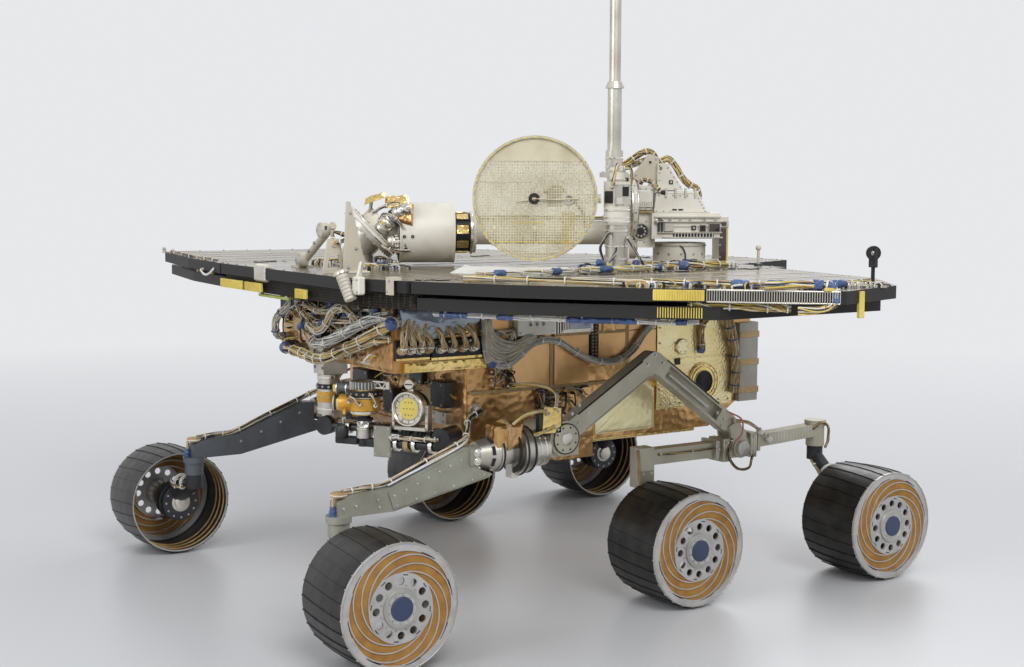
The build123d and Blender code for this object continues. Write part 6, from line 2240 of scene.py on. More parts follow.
        # The rounded corner cover at the front edge.
        work.add(SILVER, block((0.560, -0.215, 0.712), (0.5850, -0.150, 0.7500), 0.008))
        work.add(WHITE, turned(
            (0.572, -0.215, 0.7420), (0.572, -0.150, 0.7420), [(0, 0.0115), (1, 0.0115)], 24))
        work.add(WHITE, block((0.566, 0.296, 0.712), (0.5835, 0.326, 0.7500), 0.003))
        hook = ((0.572, 0.300, 0.749), (0.560, 0.285, 0.762), (0.545, 0.262, 0.775), (0.532, 0.240, 0.772),
                (0.528, 0.232, 0.758), (0.528, 0.230, 0.745))
        work.add(WHITE, tube(curve(hook, 30), 0.0032, 10))
        work.add(BOLT, bolts(
            [(0.5835, y, z) for y in (0.302, 0.320) for z in (0.718, 0.744)], PLUS_X, *HEAD_44))
        white = ((0.470, 0.416, 0.715), (0.300, 0.415, 0.715), (0.100, 0.412, 0.715))
        work.add(WHITE_WIRE, tube(curve(white, 30), 0.003, 8))
        # Wires that lie on the deck beside the mast's head, between the dish and the port wing, thickest
        # first.
        for number, (radius, height, spots) in enumerate((
                (
                    0.0085, 0.7555,
                    (
                        (-0.130, 0.255), (-0.190, 0.300), (-0.205, 0.345), (-0.240, 0.380), (-0.300, 0.392),
                        (-0.380, 0.385))),
                (
                    0.0070, 0.7535,
                    (
                        (0.060, 0.395), (-0.020, 0.398), (-0.110, 0.392), (-0.180, 0.370), (-0.230, 0.330),
                        (-0.260, 0.290))),
                (0.0060, 0.7525, ((0.330, 0.385), (0.220, 0.396), (0.110, 0.388), (0.020, 0.372))))):
            route = level(spots, height)
            finishes = (
                (YELLOW_WIRE, WHITE_WIRE, TAN, YELLOW_WIRE, BLACK_WIRE), (WHITE_WIRE, YELLOW_WIRE, GREY_WIRE),
                (WHITE_WIRE, CREAM))[number]
            Bundle(route, radius, 0.0016, 16 - 4 * number, 5.0, 200 + number, 80, finishes, 7).lay(work)
            path = curve(route, 80)
            for first in (10, 46):
                work.add(BLUE_WRAP, sleeve(path[first:first + 8], radius + 0.0012, 205 + number + first))
        for corner, across, over, count, seed in (
                ((0.020, 0.270, top), (-0.28, 0, 0), (0, 0.12, 0), 60, 211),
                ((-0.26, 0.235, top), (-0.18, 0, 0), (0, 0.14, 0), 44, 212),
                ((0.470, -0.060, top), (-0.16, 0, 0), (0, 0.14, 0), 26, 213),
                ((0.430, -0.260, top), (-0.24, 0, 0), (0, 0.06, 0), 26, 214)):
            Tangle(
                corner, across, over, PLUS_Z, count, 0.017, 0.06, 0.0016, seed,
                (YELLOW_WIRE, WHITE_WIRE, TAN, BLUE_WRAP, CREAM, BLACK_WIRE)).lay(work)
        flag = plate([(0.0, 0.0), (0.030, 0.0), (0.030, 0.026)], -0.001, 0.001, PLUS_Y, bevel=0.0003)
        work.add(TAG, flag.repeated(np.array([(-0.040, 0.400, top + 0.001)])))
        work.add(DARK_METAL, turned(
            (-0.519, 0.343, top), (-0.519, 0.343, top + 0.006), [(0, 0.011), (1, 0.009)], 20))
        self.fittings(work)
        work.make()

    def fittings(self, work: Workpiece) -> None:
        """Details of the guide arm, the window bracket, the stay plate, the canister and the hook.

        Args:
            work: The workpiece that takes the shapes.
        """
        x = 0.4975
        for y, z in ((-0.146, 0.763), (-0.030, 0.837)):
            work.add(SILVER, turned(
                (x, y, z), (x + 0.003, y, z), [(0, 0.0172), (0.6, 0.0172), (1, 0.015)], 32))
            work.add(BOLT, bolts(on_ring((x + 0.003, y, z), PLUS_X, 0.0125, 4), PLUS_X, 0.0016, 0.0014))
        work.add(BLACK, turned(
            (0.4900, -0.012, 0.843), (0.4940, -0.012, 0.843), [(0, 0.005), (1, 0.004)], 16))
        work.add(BOLT, bolts([(0.4915, -0.105, 0.786), (0.4915, -0.075, 0.806)], PLUS_X, 0.003, 0.003))
        work.add(TAN, turned(
            (0.524, 0.096, 0.812), (0.524, 0.101, 0.812), [(0, 0.0062), (0.7, 0.0062), (1, 0.004)], 20))
        loop = ((0.524, 0.090, 0.815), (0.516, 0.070, 0.832), (0.500, 0.045, 0.836), (0.484, 0.060, 0.830),
                (0.486, 0.090, 0.824), (0.505, 0.104, 0.818), (0.520, 0.100, 0.812))
        Bundle(loop, 0.0052, 0.0014, 7, 3.0, 221, 60, (BLACK_WIRE, GREY_WIRE, TAN), 3).lay(work)
        spots = [
            (0.4655, 0.1295, 0.757), (0.507, 0.1295, 0.757), (0.500, 0.1295, 0.880), (0.486, 0.1295, 0.800)]
        work.add(BOLT, bolts(spots, PLUS_Y, 0.0028, 0.0024))
        work.add(WHITE, block((0.455, 0.112, 0.745), (0.520, 0.136, 0.7495), 0.001))
        start, end = np.array((0.5914, 0.2635, 0.753)), np.array((0.5822, 0.290, 0.700))
        for share in (0.18, 0.32, 0.46, 0.60, 0.74, 0.88):
            spot = start + share * (end - start)
            step = 0.0012 * unit(end - start)
            work.add(GREY_WIRE, ring(spot - step, spot + step, 0.0122, 0.0142, 28))
        work.add(BRIGHT, ring(
            start - 0.002 * unit(end - start), start + 0.002 * unit(end - start), 0.0105, 0.0165, 32))
        work.add(BLACK, turned(
            start + 0.0001 * (end - start), start - 0.0006 * unit(end - start), [(0, 0.0105), (1, 0.0105)],
            24))
        work.add(BOLT, bolts([(0.5465, 0.384, 0.722), (0.5465, 0.392, 0.744)], PLUS_X, *HEAD_40))

    def port(self) -> None:
        """The port wing's blocks, silver honeycomb edge, wrapped cable bend, tags and tip wiring."""
        work = Workpiece("port_wing_details", "port_wing")
        for body, start, end, low, high in self.edge_blocks:
            if body == "port_wing":
                self.ribbed(work, start, end, low, high)
        start, end = np.array((0.136, 0.9205, 0.0)), np.array((-0.049, 1.0925, 0.0))
        ahead = unit(end - start)
        turn = np.stack([ahead, np.cross((0, 0, 1.0), ahead), (0, 0, 1.0)], -1)
        cell = block((-0.0009, -0.0022, -0.0115), (0.0009, 0.0022, 0.0115), 0.0003)
        count = int(np.linalg.norm(end - start) / 0.0046)
        places = spread(start, end, count) + (0, 0, 0.732)
        work.add(SILVER, cell.repeated(places, turn))
        for z in (0.7205, 0.7435):
            work.add(SILVER, tube(spread(start, end, 6) + (0, 0, z), 0.0018, 8))
        bend = (
            (0.060, 1.000, 0.7535), (0.000, 1.045, 0.7560), (-0.028, 1.060, 0.7560), (-0.044, 1.073, 0.7515),
            (-0.0500, 1.0800, 0.7400), (-0.0440, 1.0810, 0.7180), (-0.022, 1.0700, 0.7080),
            (0.010, 1.040, 0.7060))
        Bundle(bend, 0.0085, 0.0016, 14, 3.0, 231, 80, (YELLOW_WIRE, TAN, WHITE_WIRE, BLACK_WIRE)).lay(work)
        path = curve(bend, 80)
        for first, last in ((16, 26), (29, 40), (43, 56)):
            work.add(BLUE_WRAP, sleeve(path[first:last], 0.0102, 232 + first))
        for first in (27, 41):
            work.add(WHITE_WIRE, tube(path[first:first + 3], 0.0106, 14))
        inner = (
            (0.430, 0.500, 0.7520), (0.330, 0.640, 0.7530), (0.200, 0.790, 0.7530), (0.100, 0.900, 0.7530),
            (0.030, 0.968, 0.7530), (-0.040, 1.020, 0.7530), (-0.130, 1.030, 0.7530),
            (-0.220, 1.000, 0.7530))
        Bundle(
            inner, 0.0075, 0.0015, 14, 8.0, 241, 150, (YELLOW_WIRE, WHITE_WIRE, CREAM, TAN, BLACK_WIRE),
            15).lay(work)
        path = curve(inner, 150)
        for first in (70, 86, 100, 118):
            work.add(BLUE_WRAP, sleeve(path[first:first + 9], 0.0092, 242 + first))
        below = (
            (0.470, 0.445, 0.6765), (0.430, 0.520, 0.6765), (0.372, 0.618, 0.6768), (0.300, 0.704, 0.6765),
            (0.222, 0.796, 0.6768), (0.170, 0.846, 0.6765), (0.120, 0.880, 0.6770))
        Bundle(
            below, 0.0052, 0.0016, 9, 6.0, 245, 130, (WHITE_WIRE, CREAM, WHITE_WIRE, GREY_WIRE),
            12).lay(work)
        path = curve(below, 130)
        for first, last in ((4, 22), (34, 42), (62, 90), (112, 122)):
            work.add(BLUE_WRAP, sleeve(path[first:last], 0.0058, 246 + first))
        for spot in path[8:128:20]:
            work.add(SILVER, block(spot + (-0.004, -0.004, 0.002), spot + (0.004, 0.004, 0.0105), 0.0006))
        under = (
            (0.150, 0.880, 0.7150), (0.090, 0.935, 0.7120), (0.030, 0.985, 0.7090), (0.000, 1.010, 0.7090))
        Bundle(
            under, 0.0090, 0.0017, 12, 4.0, 251, 50, (YELLOW_WIRE, TAN, YELLOW_WIRE, WHITE_WIRE),
            4).lay(work)
        Tangle(
            (0.210, 0.720, self.top), (-0.230, 0.200, 0), (0.060, 0.060, 0), PLUS_Z, 46, 0.014, 0.06, 0.0015,
            252, (YELLOW_WIRE, WHITE_WIRE, BLUE_WRAP, TAN)).lay(work)
        Tangle(
            (-0.080, 1.000, self.top), (-0.150, 0.020, 0), (0.0, 0.045, 0), PLUS_Z, 24, 0.012, 0.05, 0.0015,
            253, (WHITE_WIRE, BLACK_WIRE, BLUE_WRAP, CREAM)).lay(work)
        for x, y, z, w, h in ((-0.033, 1.0800, 0.7480, 0.024, 0.006), (-0.115, 1.0820, 0.716, 0.014, 0.052)):
            work.add(TAG, block((x - w / 2, y - 0.004, z - h / 2), (x + w / 2, y + 0.004, z + h / 2), 0.001))
        x, y, z = -0.300, 0.935, 0.806
        work.add(DARK_METAL, block(
            (x - 0.004, y - 0.010, z - 0.030), (x + 0.004, y + 0.010, z + 0.010), 0.001))
        work.add(BOLT, bolts([(x + 0.002, y + 0.003, z)], (0.55, 0.83, 0), 0.004, 0.003))
        work.make()

    def starboard(self) -> None:
        """The starboard wing's tip bracket, hook wire and cable."""
        work = Workpiece("starboard_wing_details", "starboard_wing")
        work.add(SILVER, block((0.486, -1.052, 0.744), (0.504, -1.030, 0.7475), 0.001), block(
            (0.498, -1.052, 0.7475), (0.501, -1.030, 0.760), 0.0008))
        work.add(BOLT, bolts([(0.501, -1.047, 0.754), (0.501, -1.035, 0.754)], PLUS_X, 0.0024, 0.002))
        wire = (
            (0.5735, -0.560, 0.724), (0.582, -0.556, 0.722), (0.588, -0.530, 0.716), (0.590, -0.505, 0.712),
            (0.588, -0.486, 0.716), (0.583, -0.478, 0.724), (0.5790, -0.474, 0.730))
        work.add(WHITE_WIRE, tube(curve(wire, 40), 0.0028, 8))
        edge = level(((0.575, -0.460), (0.552, -0.680), (0.505, -0.960), (0.470, -1.050)), self.top + 0.005)
        Bundle(edge, 0.0045, 0.0014, 7, 8.0, 261, 90, (BLACK_WIRE, TAN, GREY_WIRE), 9).lay(work)
        for y in (-0.520, -0.640, -0.760, -0.880):
            x = 0.582 + 0.081 * (y + 0.428) - (0.03 if y < -0.7 else 0.0)
            work.add(TAN, block((x - 0.014, y - 0.006, 0.712), (x - 0.006, y + 0.006, 0.719), 0.001))
        work.make()

    def tail(self) -> None:
        """Bolts and strips on the tail panel."""
        work = Workpiece("tail_details", "tail")
        for y in (-0.12, 0.0, 0.12):
            self.strip(work, -0.780, -0.580, y)
        spots = [
            (x, s * (0.240 - 0.4 * (-0.556 - x)), self.top)
            for x in np.arange(-0.78, -0.56, 0.045) for s in (1, -1)]
        spots += [(-0.788, y, self.top) for y in np.arange(-0.12, 0.13, 0.06)]
        work.add(BOLT, bolts(spots, PLUS_Z, *HEAD_48_FLAT))
        work.make()


@dataclass
class DeckCloth:
    """The white cloth that lies on the deck beside the dish."""

    outline: tuple = (
        (0.300, 0.225), (0.212, 0.368), (0.060, 0.372), (-0.020, 0.250), (0.040, 0.070), (0.190, 0.080))
    top: float = DECK_Z
    rings: int = 40
    around: int = 150

    def build(self) -> None:
        """Rings that shrink to the middle, z = top + e (0.003 + 0.012 crumple) with e 0 at the rim."""
        outline = np.asarray(self.outline)
        spot = np.linspace(0, len(outline), self.around, endpoint=False)
        index = spot.astype(int)
        share = (spot - index)[:, None]
        edge = (1 - share) * outline[index] + share * outline[(index + 1) % len(outline)]
        middle = outline.mean(axis=0)
        reach = np.linspace(1.0, 0.02, self.rings)[:, None, None]
        flat = middle + (edge[None] - middle) * reach
        rise = np.clip((1 - reach[..., 0]) / 0.12, 0, 1)
        folds = crumple(flat[..., 0], flat[..., 1], 301, 0.11, 8)
        height = self.top + 0.0006 + rise * (0.0015 + 0.014 * folds**1.6)
        top = np.concatenate([flat, height[..., None]], -1)
        low = np.concatenate([flat, np.full(height.shape + (1,), self.top - 0.0002)], -1)
        work = Workpiece("deck_cloth_folds", "chassis")
        work.add(CLOTH, loft(np.concatenate([low[:1], top])))
        work.make(("deck_cloth",))


@dataclass
class MastDetails:
    """Bolts, motors, foil, bands and wires on the mast and its base. Own directions: x along it, z up."""

    seat: Seat = MAST_SEAT
    drum: tuple = (0.070, 0.204)

    def build(self) -> None:
        """Make the mast's own pieces and those of its fixed base."""
        self.base()
        work = Workpiece("mast_details", "mast_assembly", self.seat)
        self.flange(work, 0.0125, 1.0)
        self.motors(work)
        self.drum_and_collar(work)
        self.tube_wires(work)
        work.make()

    def flange(self, work: Workpiece, at: float, side: float) -> None:
        """Bolts on a 45 degree flange and a thin bright band round its rim.

        Args:
            work: The workpiece that takes the shapes.
            at: How far the flange's face is from the hinge's middle.
            side: 1 for the upper flange, -1 for the lower.
        """
        s = math.sqrt(0.5)
        normal = np.array((s, 0, s)) * side
        work.add(BOLT, bolts(on_ring(at * normal, normal, 0.066, 18), normal, 0.0032, 0.0030))
        work.add(BOLT, bolts(on_ring(at * normal, normal, 0.054, 18, 0.17), normal, *HEAD_36_TALL))
        work.add(BRIGHT, ring((at - 0.004) * normal, (at - 0.0015) * normal, 0.074, 0.0792, 64))

    def base(self) -> None:
        """The lower flange's bolts, and the cradle's details below the head."""
        work = Workpiece("mast_base_details", "chassis", self.seat)
        self.flange(work, 0.0125, -1.0)
        work.add(SILVER, ring((-0.034, 0, -0.080), (-0.034, 0, -0.075), 0.040, 0.060, 48))
        work.add(BOLT, bolts(on_ring((-0.034, 0, -0.075), PLUS_Z, 0.0535, 10), PLUS_Z, 0.003, 0.0025))
        # The cradle below the head is a cylinder of radius 0.066.
        middle = 0.776
        work.add(SILVER, ring((middle, 0, -0.033), (middle, 0, -0.030), 0.060, 0.0685, 64))
        work.add(WHITE, ring((middle, 0, -0.080), (middle, 0, -0.074), 0.060, 0.0715, 64))
        work.add(BOLT, bolts(on_ring((middle, 0, -0.0745), PLUS_Z, 0.0690, 20), PLUS_Z, *HEAD_36_TALL))
        cable = (
            (0.762, -0.0660, -0.030), (0.770, -0.0695, -0.036), (0.776, -0.0705, -0.050),
            (0.777, -0.0700, -0.066), (0.777, -0.0690, -0.074))
        work.add(BLACK_WIRE, tube(curve(cable, 30), 0.0016, 8))
        work.add(BLACK, block((0.771, -0.0720, -0.0745), (0.783, -0.0655, -0.0640), 0.0008))
        for angle in np.radians((205, 235, 262, 290, 318)):
            spot = np.array((middle + 0.066 * math.cos(angle), 0.066 * math.sin(angle), -0.052))
            out = np.array((math.cos(angle), math.sin(angle), 0.0))
            work.add(BOLT, bolts([spot], out, *HEAD_48))
        # The stop behind the head: a brown panel with a bright strip and boxes.
        work.add(LENS, block((0.8705, -0.0365, -0.070), (0.8885, -0.0335, 0.012), 0.0008))
        work.add(TAG, block((0.8885, -0.0365, -0.070), (0.8925, -0.0335, 0.012), 0.0006))
        work.add(SILVER, block((0.8680, -0.0375, 0.014), (0.8945, -0.0200, 0.030), 0.001), block(
            (0.8700, -0.0375, -0.079), (0.8960, -0.0200, -0.070), 0.001))
        work.add(LENS, block((0.8725, -0.0385, 0.017), (0.8880, -0.0370, 0.027), 0.0004))
        work.add(BOLT, bolts([(0.8725, -0.0365, u) for u in (-0.060, -0.030, 0.0)], MINUS_Y, 0.0016, 0.0014))
        work.make()

    def motors(self, work: Workpiece) -> None:
        """Steps, ribbed nuts and foil on the two geared motors, and the foil scraps above them.

        Args:
            work: The workpiece that takes the shapes.
        """
        first = (np.array((0.022, -0.046, 0.008)), np.array((0.066, -0.060, 0.050)))
        second = (np.array((0.040, -0.052, -0.022)), np.array((0.084, -0.052, -0.022)))
        steps = (
            (
                first,
                (
                    (0.00, 0.010, 0.0178, SILVER), (0.26, 0.016, 0.0205, BRIGHT),
                    (0.56, 0.006, 0.0215, SILVER), (0.72, 0.008, 0.0190, BLACK),
                    (0.92, 0.010, 0.0175, SILVER))),
            (
                second,
                (
                    (0.02, 0.008, 0.0175, SILVER), (0.30, 0.004, 0.0185, BRIGHT),
                    (0.60, 0.012, 0.0172, FOIL_SILVER), (0.90, 0.006, 0.0180, SILVER))))
        for (start, end), table in steps:
            ahead = unit(end - start)
            for share, length, radius, finish in table:
                foot = start + share * (end - start)
                work.add(finish, turned(
                    foot, foot + length * ahead,
                    [(0, 0.94 * radius), (0.12, radius), (0.88, radius), (1, 0.94 * radius)], 28))
            nut = start + 0.40 * (end - start)
            teeth = on_ring(nut, ahead, 0.0190, 12)
            work.add(BRIGHT, bolts(teeth, ahead, 0.0014, 0.009))
        start, end = first
        ahead = unit(end - start)
        wrap = spread(end, end + 0.030 * ahead + (0.010, 0, -0.008), 14)
        work.add(FOIL_SILVER, sleeve(wrap, 0.0150, 311, 0.003, 22))
        work.add(TAG, turned(
            start + 0.35 * (end - start) + (-0.010, -0.018, 0.004),
            start + 0.35 * (end - start) + (-0.010, -0.0215, 0.004), [(0, 0.0045), (1, 0.0035)], 14))
        scraps = (
            ((-0.016, -0.044, 0.068), (0.034, -0.044, 0.086), (0.040, 0.010, 0.094), (-0.012, 0.014, 0.078)),
            ((0.034, -0.058, 0.060), (0.092, -0.066, 0.070), (0.096, 0.010, 0.086), (0.036, 0.012, 0.084)),
            ((0.060, -0.070, 0.030), (0.100, -0.074, 0.018), (0.104, -0.060, 0.070), (0.064, -0.052, 0.074)))
        for number, corners in enumerate(scraps):
            normal = np.cross(np.subtract(corners[1], corners[0]), np.subtract(corners[3], corners[0]))
            work.add(
                FOIL_GOLD if number != 2 else FOIL_COPPER,
                Sheet(corners, tuple(normal), 0.013, 0.030, 320 + number, 0.0025, 0.0008).shape())
        for x in (-0.004, 0.050, 0.082):
            work.add(SILVER, tube(spread((x, -0.018, 0.030), (x + 0.006, -0.026, 0.080), 5), 0.0045, 10))
        for number, route in enumerate((
                (
                    (0.020, -0.040, 0.030), (0.030, -0.062, 0.046), (0.052, -0.078, 0.042),
                    (0.072, -0.074, 0.020), (0.088, -0.066, -0.004), (0.096, -0.060, -0.020)),
                (
                    (0.010, -0.040, -0.012), (0.022, -0.062, -0.026), (0.048, -0.074, -0.040),
                    (0.080, -0.066, -0.044), (0.100, -0.052, -0.040)),
                (
                    (0.004, -0.030, 0.046), (0.026, -0.050, 0.062), (0.060, -0.056, 0.072),
                    (0.092, -0.052, 0.062)))):
            Bundle(
                route, 0.0048, 0.0014, 8, 3.0, 330 + number, 44, (BLACK_WIRE, TAN, WHITE_WIRE, GREY_WIRE),
                3).lay(work)

    def drum_and_collar(self, work: Workpiece) -> None:
        """Rims and fasteners on the white drum, gold squares on the black collar.

        Args:
            work: The workpiece that takes the shapes.
        """
        start, end = self.drum
        for low, high in ((start - 0.001, start + 0.004), (end - 0.004, end + 0.001)):
            work.add(WHITE, ring((low, 0, 0), (high, 0, 0), 0.060, 0.0752, 72))
        work.add(BLACK, ring((start - 0.0030, 0, 0), (start - 0.0008, 0, 0), 0.036, 0.070, 60))
        work.add(SILVER, ring((start - 0.0050, 0, 0), (start - 0.0028, 0, 0), 0.046, 0.060, 60))
        work.add(BOLT, bolts(on_ring((start - 0.005, 0, 0), MINUS_X, 0.053, 16), MINUS_X, 0.0024, 0.0026))
        for degrees, a in (
                (264, start + 0.010), (264, start + 0.030), (240, start + 0.014), (300, start + 0.012)):
            angle = math.radians(degrees)
            out = np.array((0, math.sin(angle), math.cos(angle)))
            spot = np.array((a, 0, 0)) + 0.0742 * out
            work.add(BLACK, ring(spot, spot + 0.0018 * out, 0.0016, 0.0040, 18))
        work.add(BLACK, ring((0.2045, 0, 0), (0.2440, 0, 0), 0.020, 0.0475, 12))
        work.add(BRIGHT, ring((0.2440, 0, 0), (0.2500, 0, 0), 0.030, 0.0535, 48))
        tile = block((-0.0145, -0.0105, -0.0014), (0.0145, 0.0105, 0.0014), 0.0008)
        frame = block((-0.0165, -0.0125, -0.0012), (0.0165, 0.0125, 0.0010), 0.0006)
        angle = np.radians(np.arange(8) * 45.0 + 10.0)
        out = np.stack([np.zeros(8), np.sin(angle), np.cos(angle)], -1)
        across = np.cross(out, (1.0, 0, 0))
        turns = np.stack([np.broadcast_to((1.0, 0, 0), (8, 3)), across, out], -1)
        places = np.array((0.2245, 0, 0)) + 0.0468 * out
        work.add(DARK_METAL, frame.repeated(places, turns))
        work.add(FOIL_GOLD, tile.repeated(places + 0.0018 * out, turns))
        work.add(BOLT, bolts(on_ring((0.2582, 0, 0), PLUS_X, 0.042, 12), PLUS_X, *HEAD_44))

    def tube_wires(self, work: Workpiece) -> None:
        """Tied wires along the mast tube and clamps round it.

        Args:
            work: The workpiece that takes the shapes.
        """
        route = (
            (0.262, -0.010, 0.036), (0.340, -0.006, 0.037), (0.450, 0.000, 0.037), (0.560, -0.004, 0.037),
            (0.628, -0.008, 0.037))
        Bundle(
            route, 0.0060, 0.0015, 10, 6.0, 341, 90, (WHITE_WIRE, TAN, BLACK_WIRE, YELLOW_WIRE), 9).lay(work)
        for a in (0.300, 0.400, 0.500, 0.600):
            work.add(SILVER, ring((a, 0, 0), (a + 0.008, 0, 0), 0.028, 0.0325, 40))
            work.add(BOLT, bolts([(a + 0.004, -0.0325, 0)], MINUS_Y, *HEAD_40))


@dataclass
class HeadDetails:
    """Rings, plates, boxes, lenses and wires on the camera head, in the mast's own directions."""

    seat: Seat = MAST_SEAT
    box_face: float = -0.0780
    hood_face: float = -0.0580

    def build(self) -> None:
        """Make the head's pieces."""
        work = Workpiece("head_details", "mast_assembly", self.seat)
        self.yoke(work)
        self.middle(work)
        self.hoods(work)
        self.camera_box(work)
        self.wires(work)
        work.make()

    def square(self, work: Workpiece, a: float, c: float, u: float, half: float = 0.005) -> None:
        """A small dark square fastener in a pale frame, on a face that looks across.

        Args:
            work: The workpiece that takes the shapes.
            a: Its middle along the mast.
            c: The face, across the mast.
            u: Its middle's height.
            half: Half its width.
        """
        work.add(BLACK, block((a - half, c - 0.0022, u - half), (a + half, c + 0.001, u + half), 0.0005))
        work.add(SILVER, block(
            (a - 0.45 * half, c - 0.0030, u - 0.45 * half), (a + 0.45 * half, c - 0.0020, u + 0.45 * half),
            0.0003))

    def yoke(self, work: Workpiece) -> None:
        """The round rim on the yoke with its bolts, the side brackets and the dark lens box.

        Args:
            work: The workpiece that takes the shapes.
        """
        work.add(WHITE, ring((0.6420, 0, 0.060), (0.6540, 0, 0.060), 0.0600, 0.0850, 72, 0.002))
        work.add(SILVER, ring((0.6545, 0, 0.060), (0.6570, 0, 0.060), 0.0640, 0.0800, 72))
        work.add(BRIGHT, ring((0.6400, 0, 0.060), (0.6425, 0, 0.060), 0.0700, 0.0830, 72))
        work.add(BOLT, bolts(on_ring((0.6570, 0, 0.060), PLUS_X, 0.0720, 20), PLUS_X, *HEAD_44))
        work.add(BOLT, bolts(on_ring((0.6400, 0, 0.060), MINUS_X, 0.0765, 20), MINUS_X, *HEAD_44))
        for u in (0.120, 0.092, 0.010, -0.012):
            self.square(work, 0.650, -0.0400 if abs(u - 0.05) < 0.03 else -0.0410, u, 0.0045)
        for degrees in np.arange(200, 345, 16):
            angle = math.radians(degrees)
            spot = (0.648, 0.085 * math.sin(angle), 0.060 + 0.085 * math.cos(angle))
            work.add(BOLT, bolts([spot], (0, math.sin(angle), math.cos(angle)), 0.0018, 0.0016))
        low = plate(
            [(0.590, -0.070), (0.600, 0.014), (0.640, 0.000), (0.640, -0.070)], -0.0445, -0.0405, PLUS_Y)
        work.add(WHITE, low)
        boxes = (
            (BLACK, (0.600, -0.040, 0.088), (0.640, -0.004, 0.118)),
            (WHITE, (0.586, -0.044, 0.070), (0.606, -0.014, 0.096)),
            (SILVER, (0.612, -0.046, 0.052), (0.640, -0.010, 0.082)),
            (BLACK, (0.596, -0.036, 0.030), (0.640, -0.006, 0.050)),
            (TAN, (0.604, -0.030, -0.030), (0.616, -0.018, 0.032)),
            (SILVER, (0.616, -0.038, 0.010), (0.640, -0.012, 0.028)),
            (DARK_METAL, (0.590, -0.034, 0.118), (0.640, -0.004, 0.136)),
            (BRIGHT, (0.584, -0.036, 0.136), (0.640, 0.0, 0.141)))
        for finish, start, end in boxes:
            work.add(finish, block(start, end, 0.0015))
        work.add(LENS, block((0.604, -0.0425, 0.091), (0.621, -0.0395, 0.115), 0.001))
        work.add(SILVER, block((0.624, -0.0425, 0.091), (0.637, -0.0395, 0.104), 0.0008))

    def middle(self, work: Workpiece) -> None:
        """The sloped top plate, the gearing in the cheek's hole and the stack between yoke and box.

        Args:
            work: The workpiece that takes the shapes.
        """
        top = [(0.643, 0.140), (0.687, 0.196), (0.712, 0.188), (0.712, 0.120), (0.660, 0.128)]
        work.add(CREAM_PAINT, plate(top, -0.0460, -0.0400, PLUS_Y))
        work.add(BLACK, turned(
            (0.6900, -0.0460, 0.175), (0.6900, -0.0482, 0.175), [(0, 0.0034), (1, 0.0028)], 16))
        work.add(BOLT, bolts(
            [(0.704, -0.046, 0.182), (0.706, -0.046, 0.130), (0.654, -0.046, 0.142)], MINUS_Y, *HEAD_40))
        work.add(SILVER, ring((0.668, -0.0460, 0.004), (0.668, -0.0480, 0.004), 0.0185, 0.0225, 40))
        work.add(DARK_METAL, turned(
            (0.668, -0.0400, 0.004), (0.668, -0.0440, 0.004), [(0, 0.0165), (1, 0.015)], 32))
        work.add(SILVER, bolts(on_ring((0.668, -0.0440, 0.004), MINUS_Y, 0.0120, 9), MINUS_Y, *HEAD_40))
        work.add(BOLT, bolts(
            on_ring((0.668, -0.0460, 0.004), MINUS_Y, 0.0280, 8, 0.3), MINUS_Y, *HEAD_36))
        stack = ((WHITE, 0.064, 0.104), (SILVER, 0.056, 0.063), (TAPE, 0.050, 0.055), (WHITE, 0.106, 0.118))
        for finish, low, high in stack:
            work.add(finish, block((0.6600, -0.056, low), (0.6960, -0.010, high), 0.0012))
        for a in np.linspace(0.664, 0.692, 6):
            work.add(SILVER, block((a - 0.0012, -0.0575, 0.068), (a + 0.0012, -0.0555, 0.078), 0.0004))
        for u in (0.110, 0.060):
            work.add(BOLT, bolts([(a, -0.056, u) for a in (0.664, 0.678, 0.692)], MINUS_Y, 0.0016, 0.0018))

    def hoods(self, work: Workpiece) -> None:
        """Fasteners, slots, screws and clamps on the two sloped hoods.

        Args:
            work: The workpiece that takes the shapes.
        """
        face = self.hood_face
        self.square(work, 0.7400, face, 0.126)
        self.square(work, 0.7140, face, 0.160, 0.003)
        for a0, a1 in ((0.7440, 0.7560), (0.7600, 0.7720)):
            work.add(BLACK, block((a0, face - 0.0012, 0.0560), (a1, face + 0.001, 0.0600), 0.0004))
        slope = [(0.8350 - 0.0250 * t - 0.006, face, 0.0520 + 0.0440 * t) for t in np.linspace(0.05, 0.95, 6)]
        edge = [(a, face, 0.0540) for a in np.linspace(0.704, 0.740, 3)] + [
            (a, face, 0.0930) for a in np.linspace(0.71, 0.80, 6)]
        upper = [(0.711, face, u) for u in np.linspace(0.112, 0.166, 4)]
        upper += [(0.766 - 0.036 * t, face, 0.112 + 0.052 * t) for t in np.linspace(0.05, 0.95, 5)]
        work.add(BOLT, bolts(slope + edge + upper, MINUS_Y, *HEAD_32))
        for a in (0.728, 0.752, 0.777, 0.802):
            work.add(SILVER, block(
                (a - 0.0026, face - 0.0035, 0.0880), (a + 0.0026, face + 0.002, 0.1120), 0.0008))
        work.add(BLACK, turned(
            (0.716, -0.055, 0.100), (0.730, -0.055, 0.100), [(0, 0.0060), (0.8, 0.0060), (1, 0.0045)], 18))
        work.add(SILVER, block((0.700, face - 0.001, 0.1000), (0.716, face + 0.008, 0.1120), 0.001))
        work.add(SILVER, block((0.6980, face - 0.004, 0.0485), (0.8400, face + 0.004, 0.0530), 0.001))

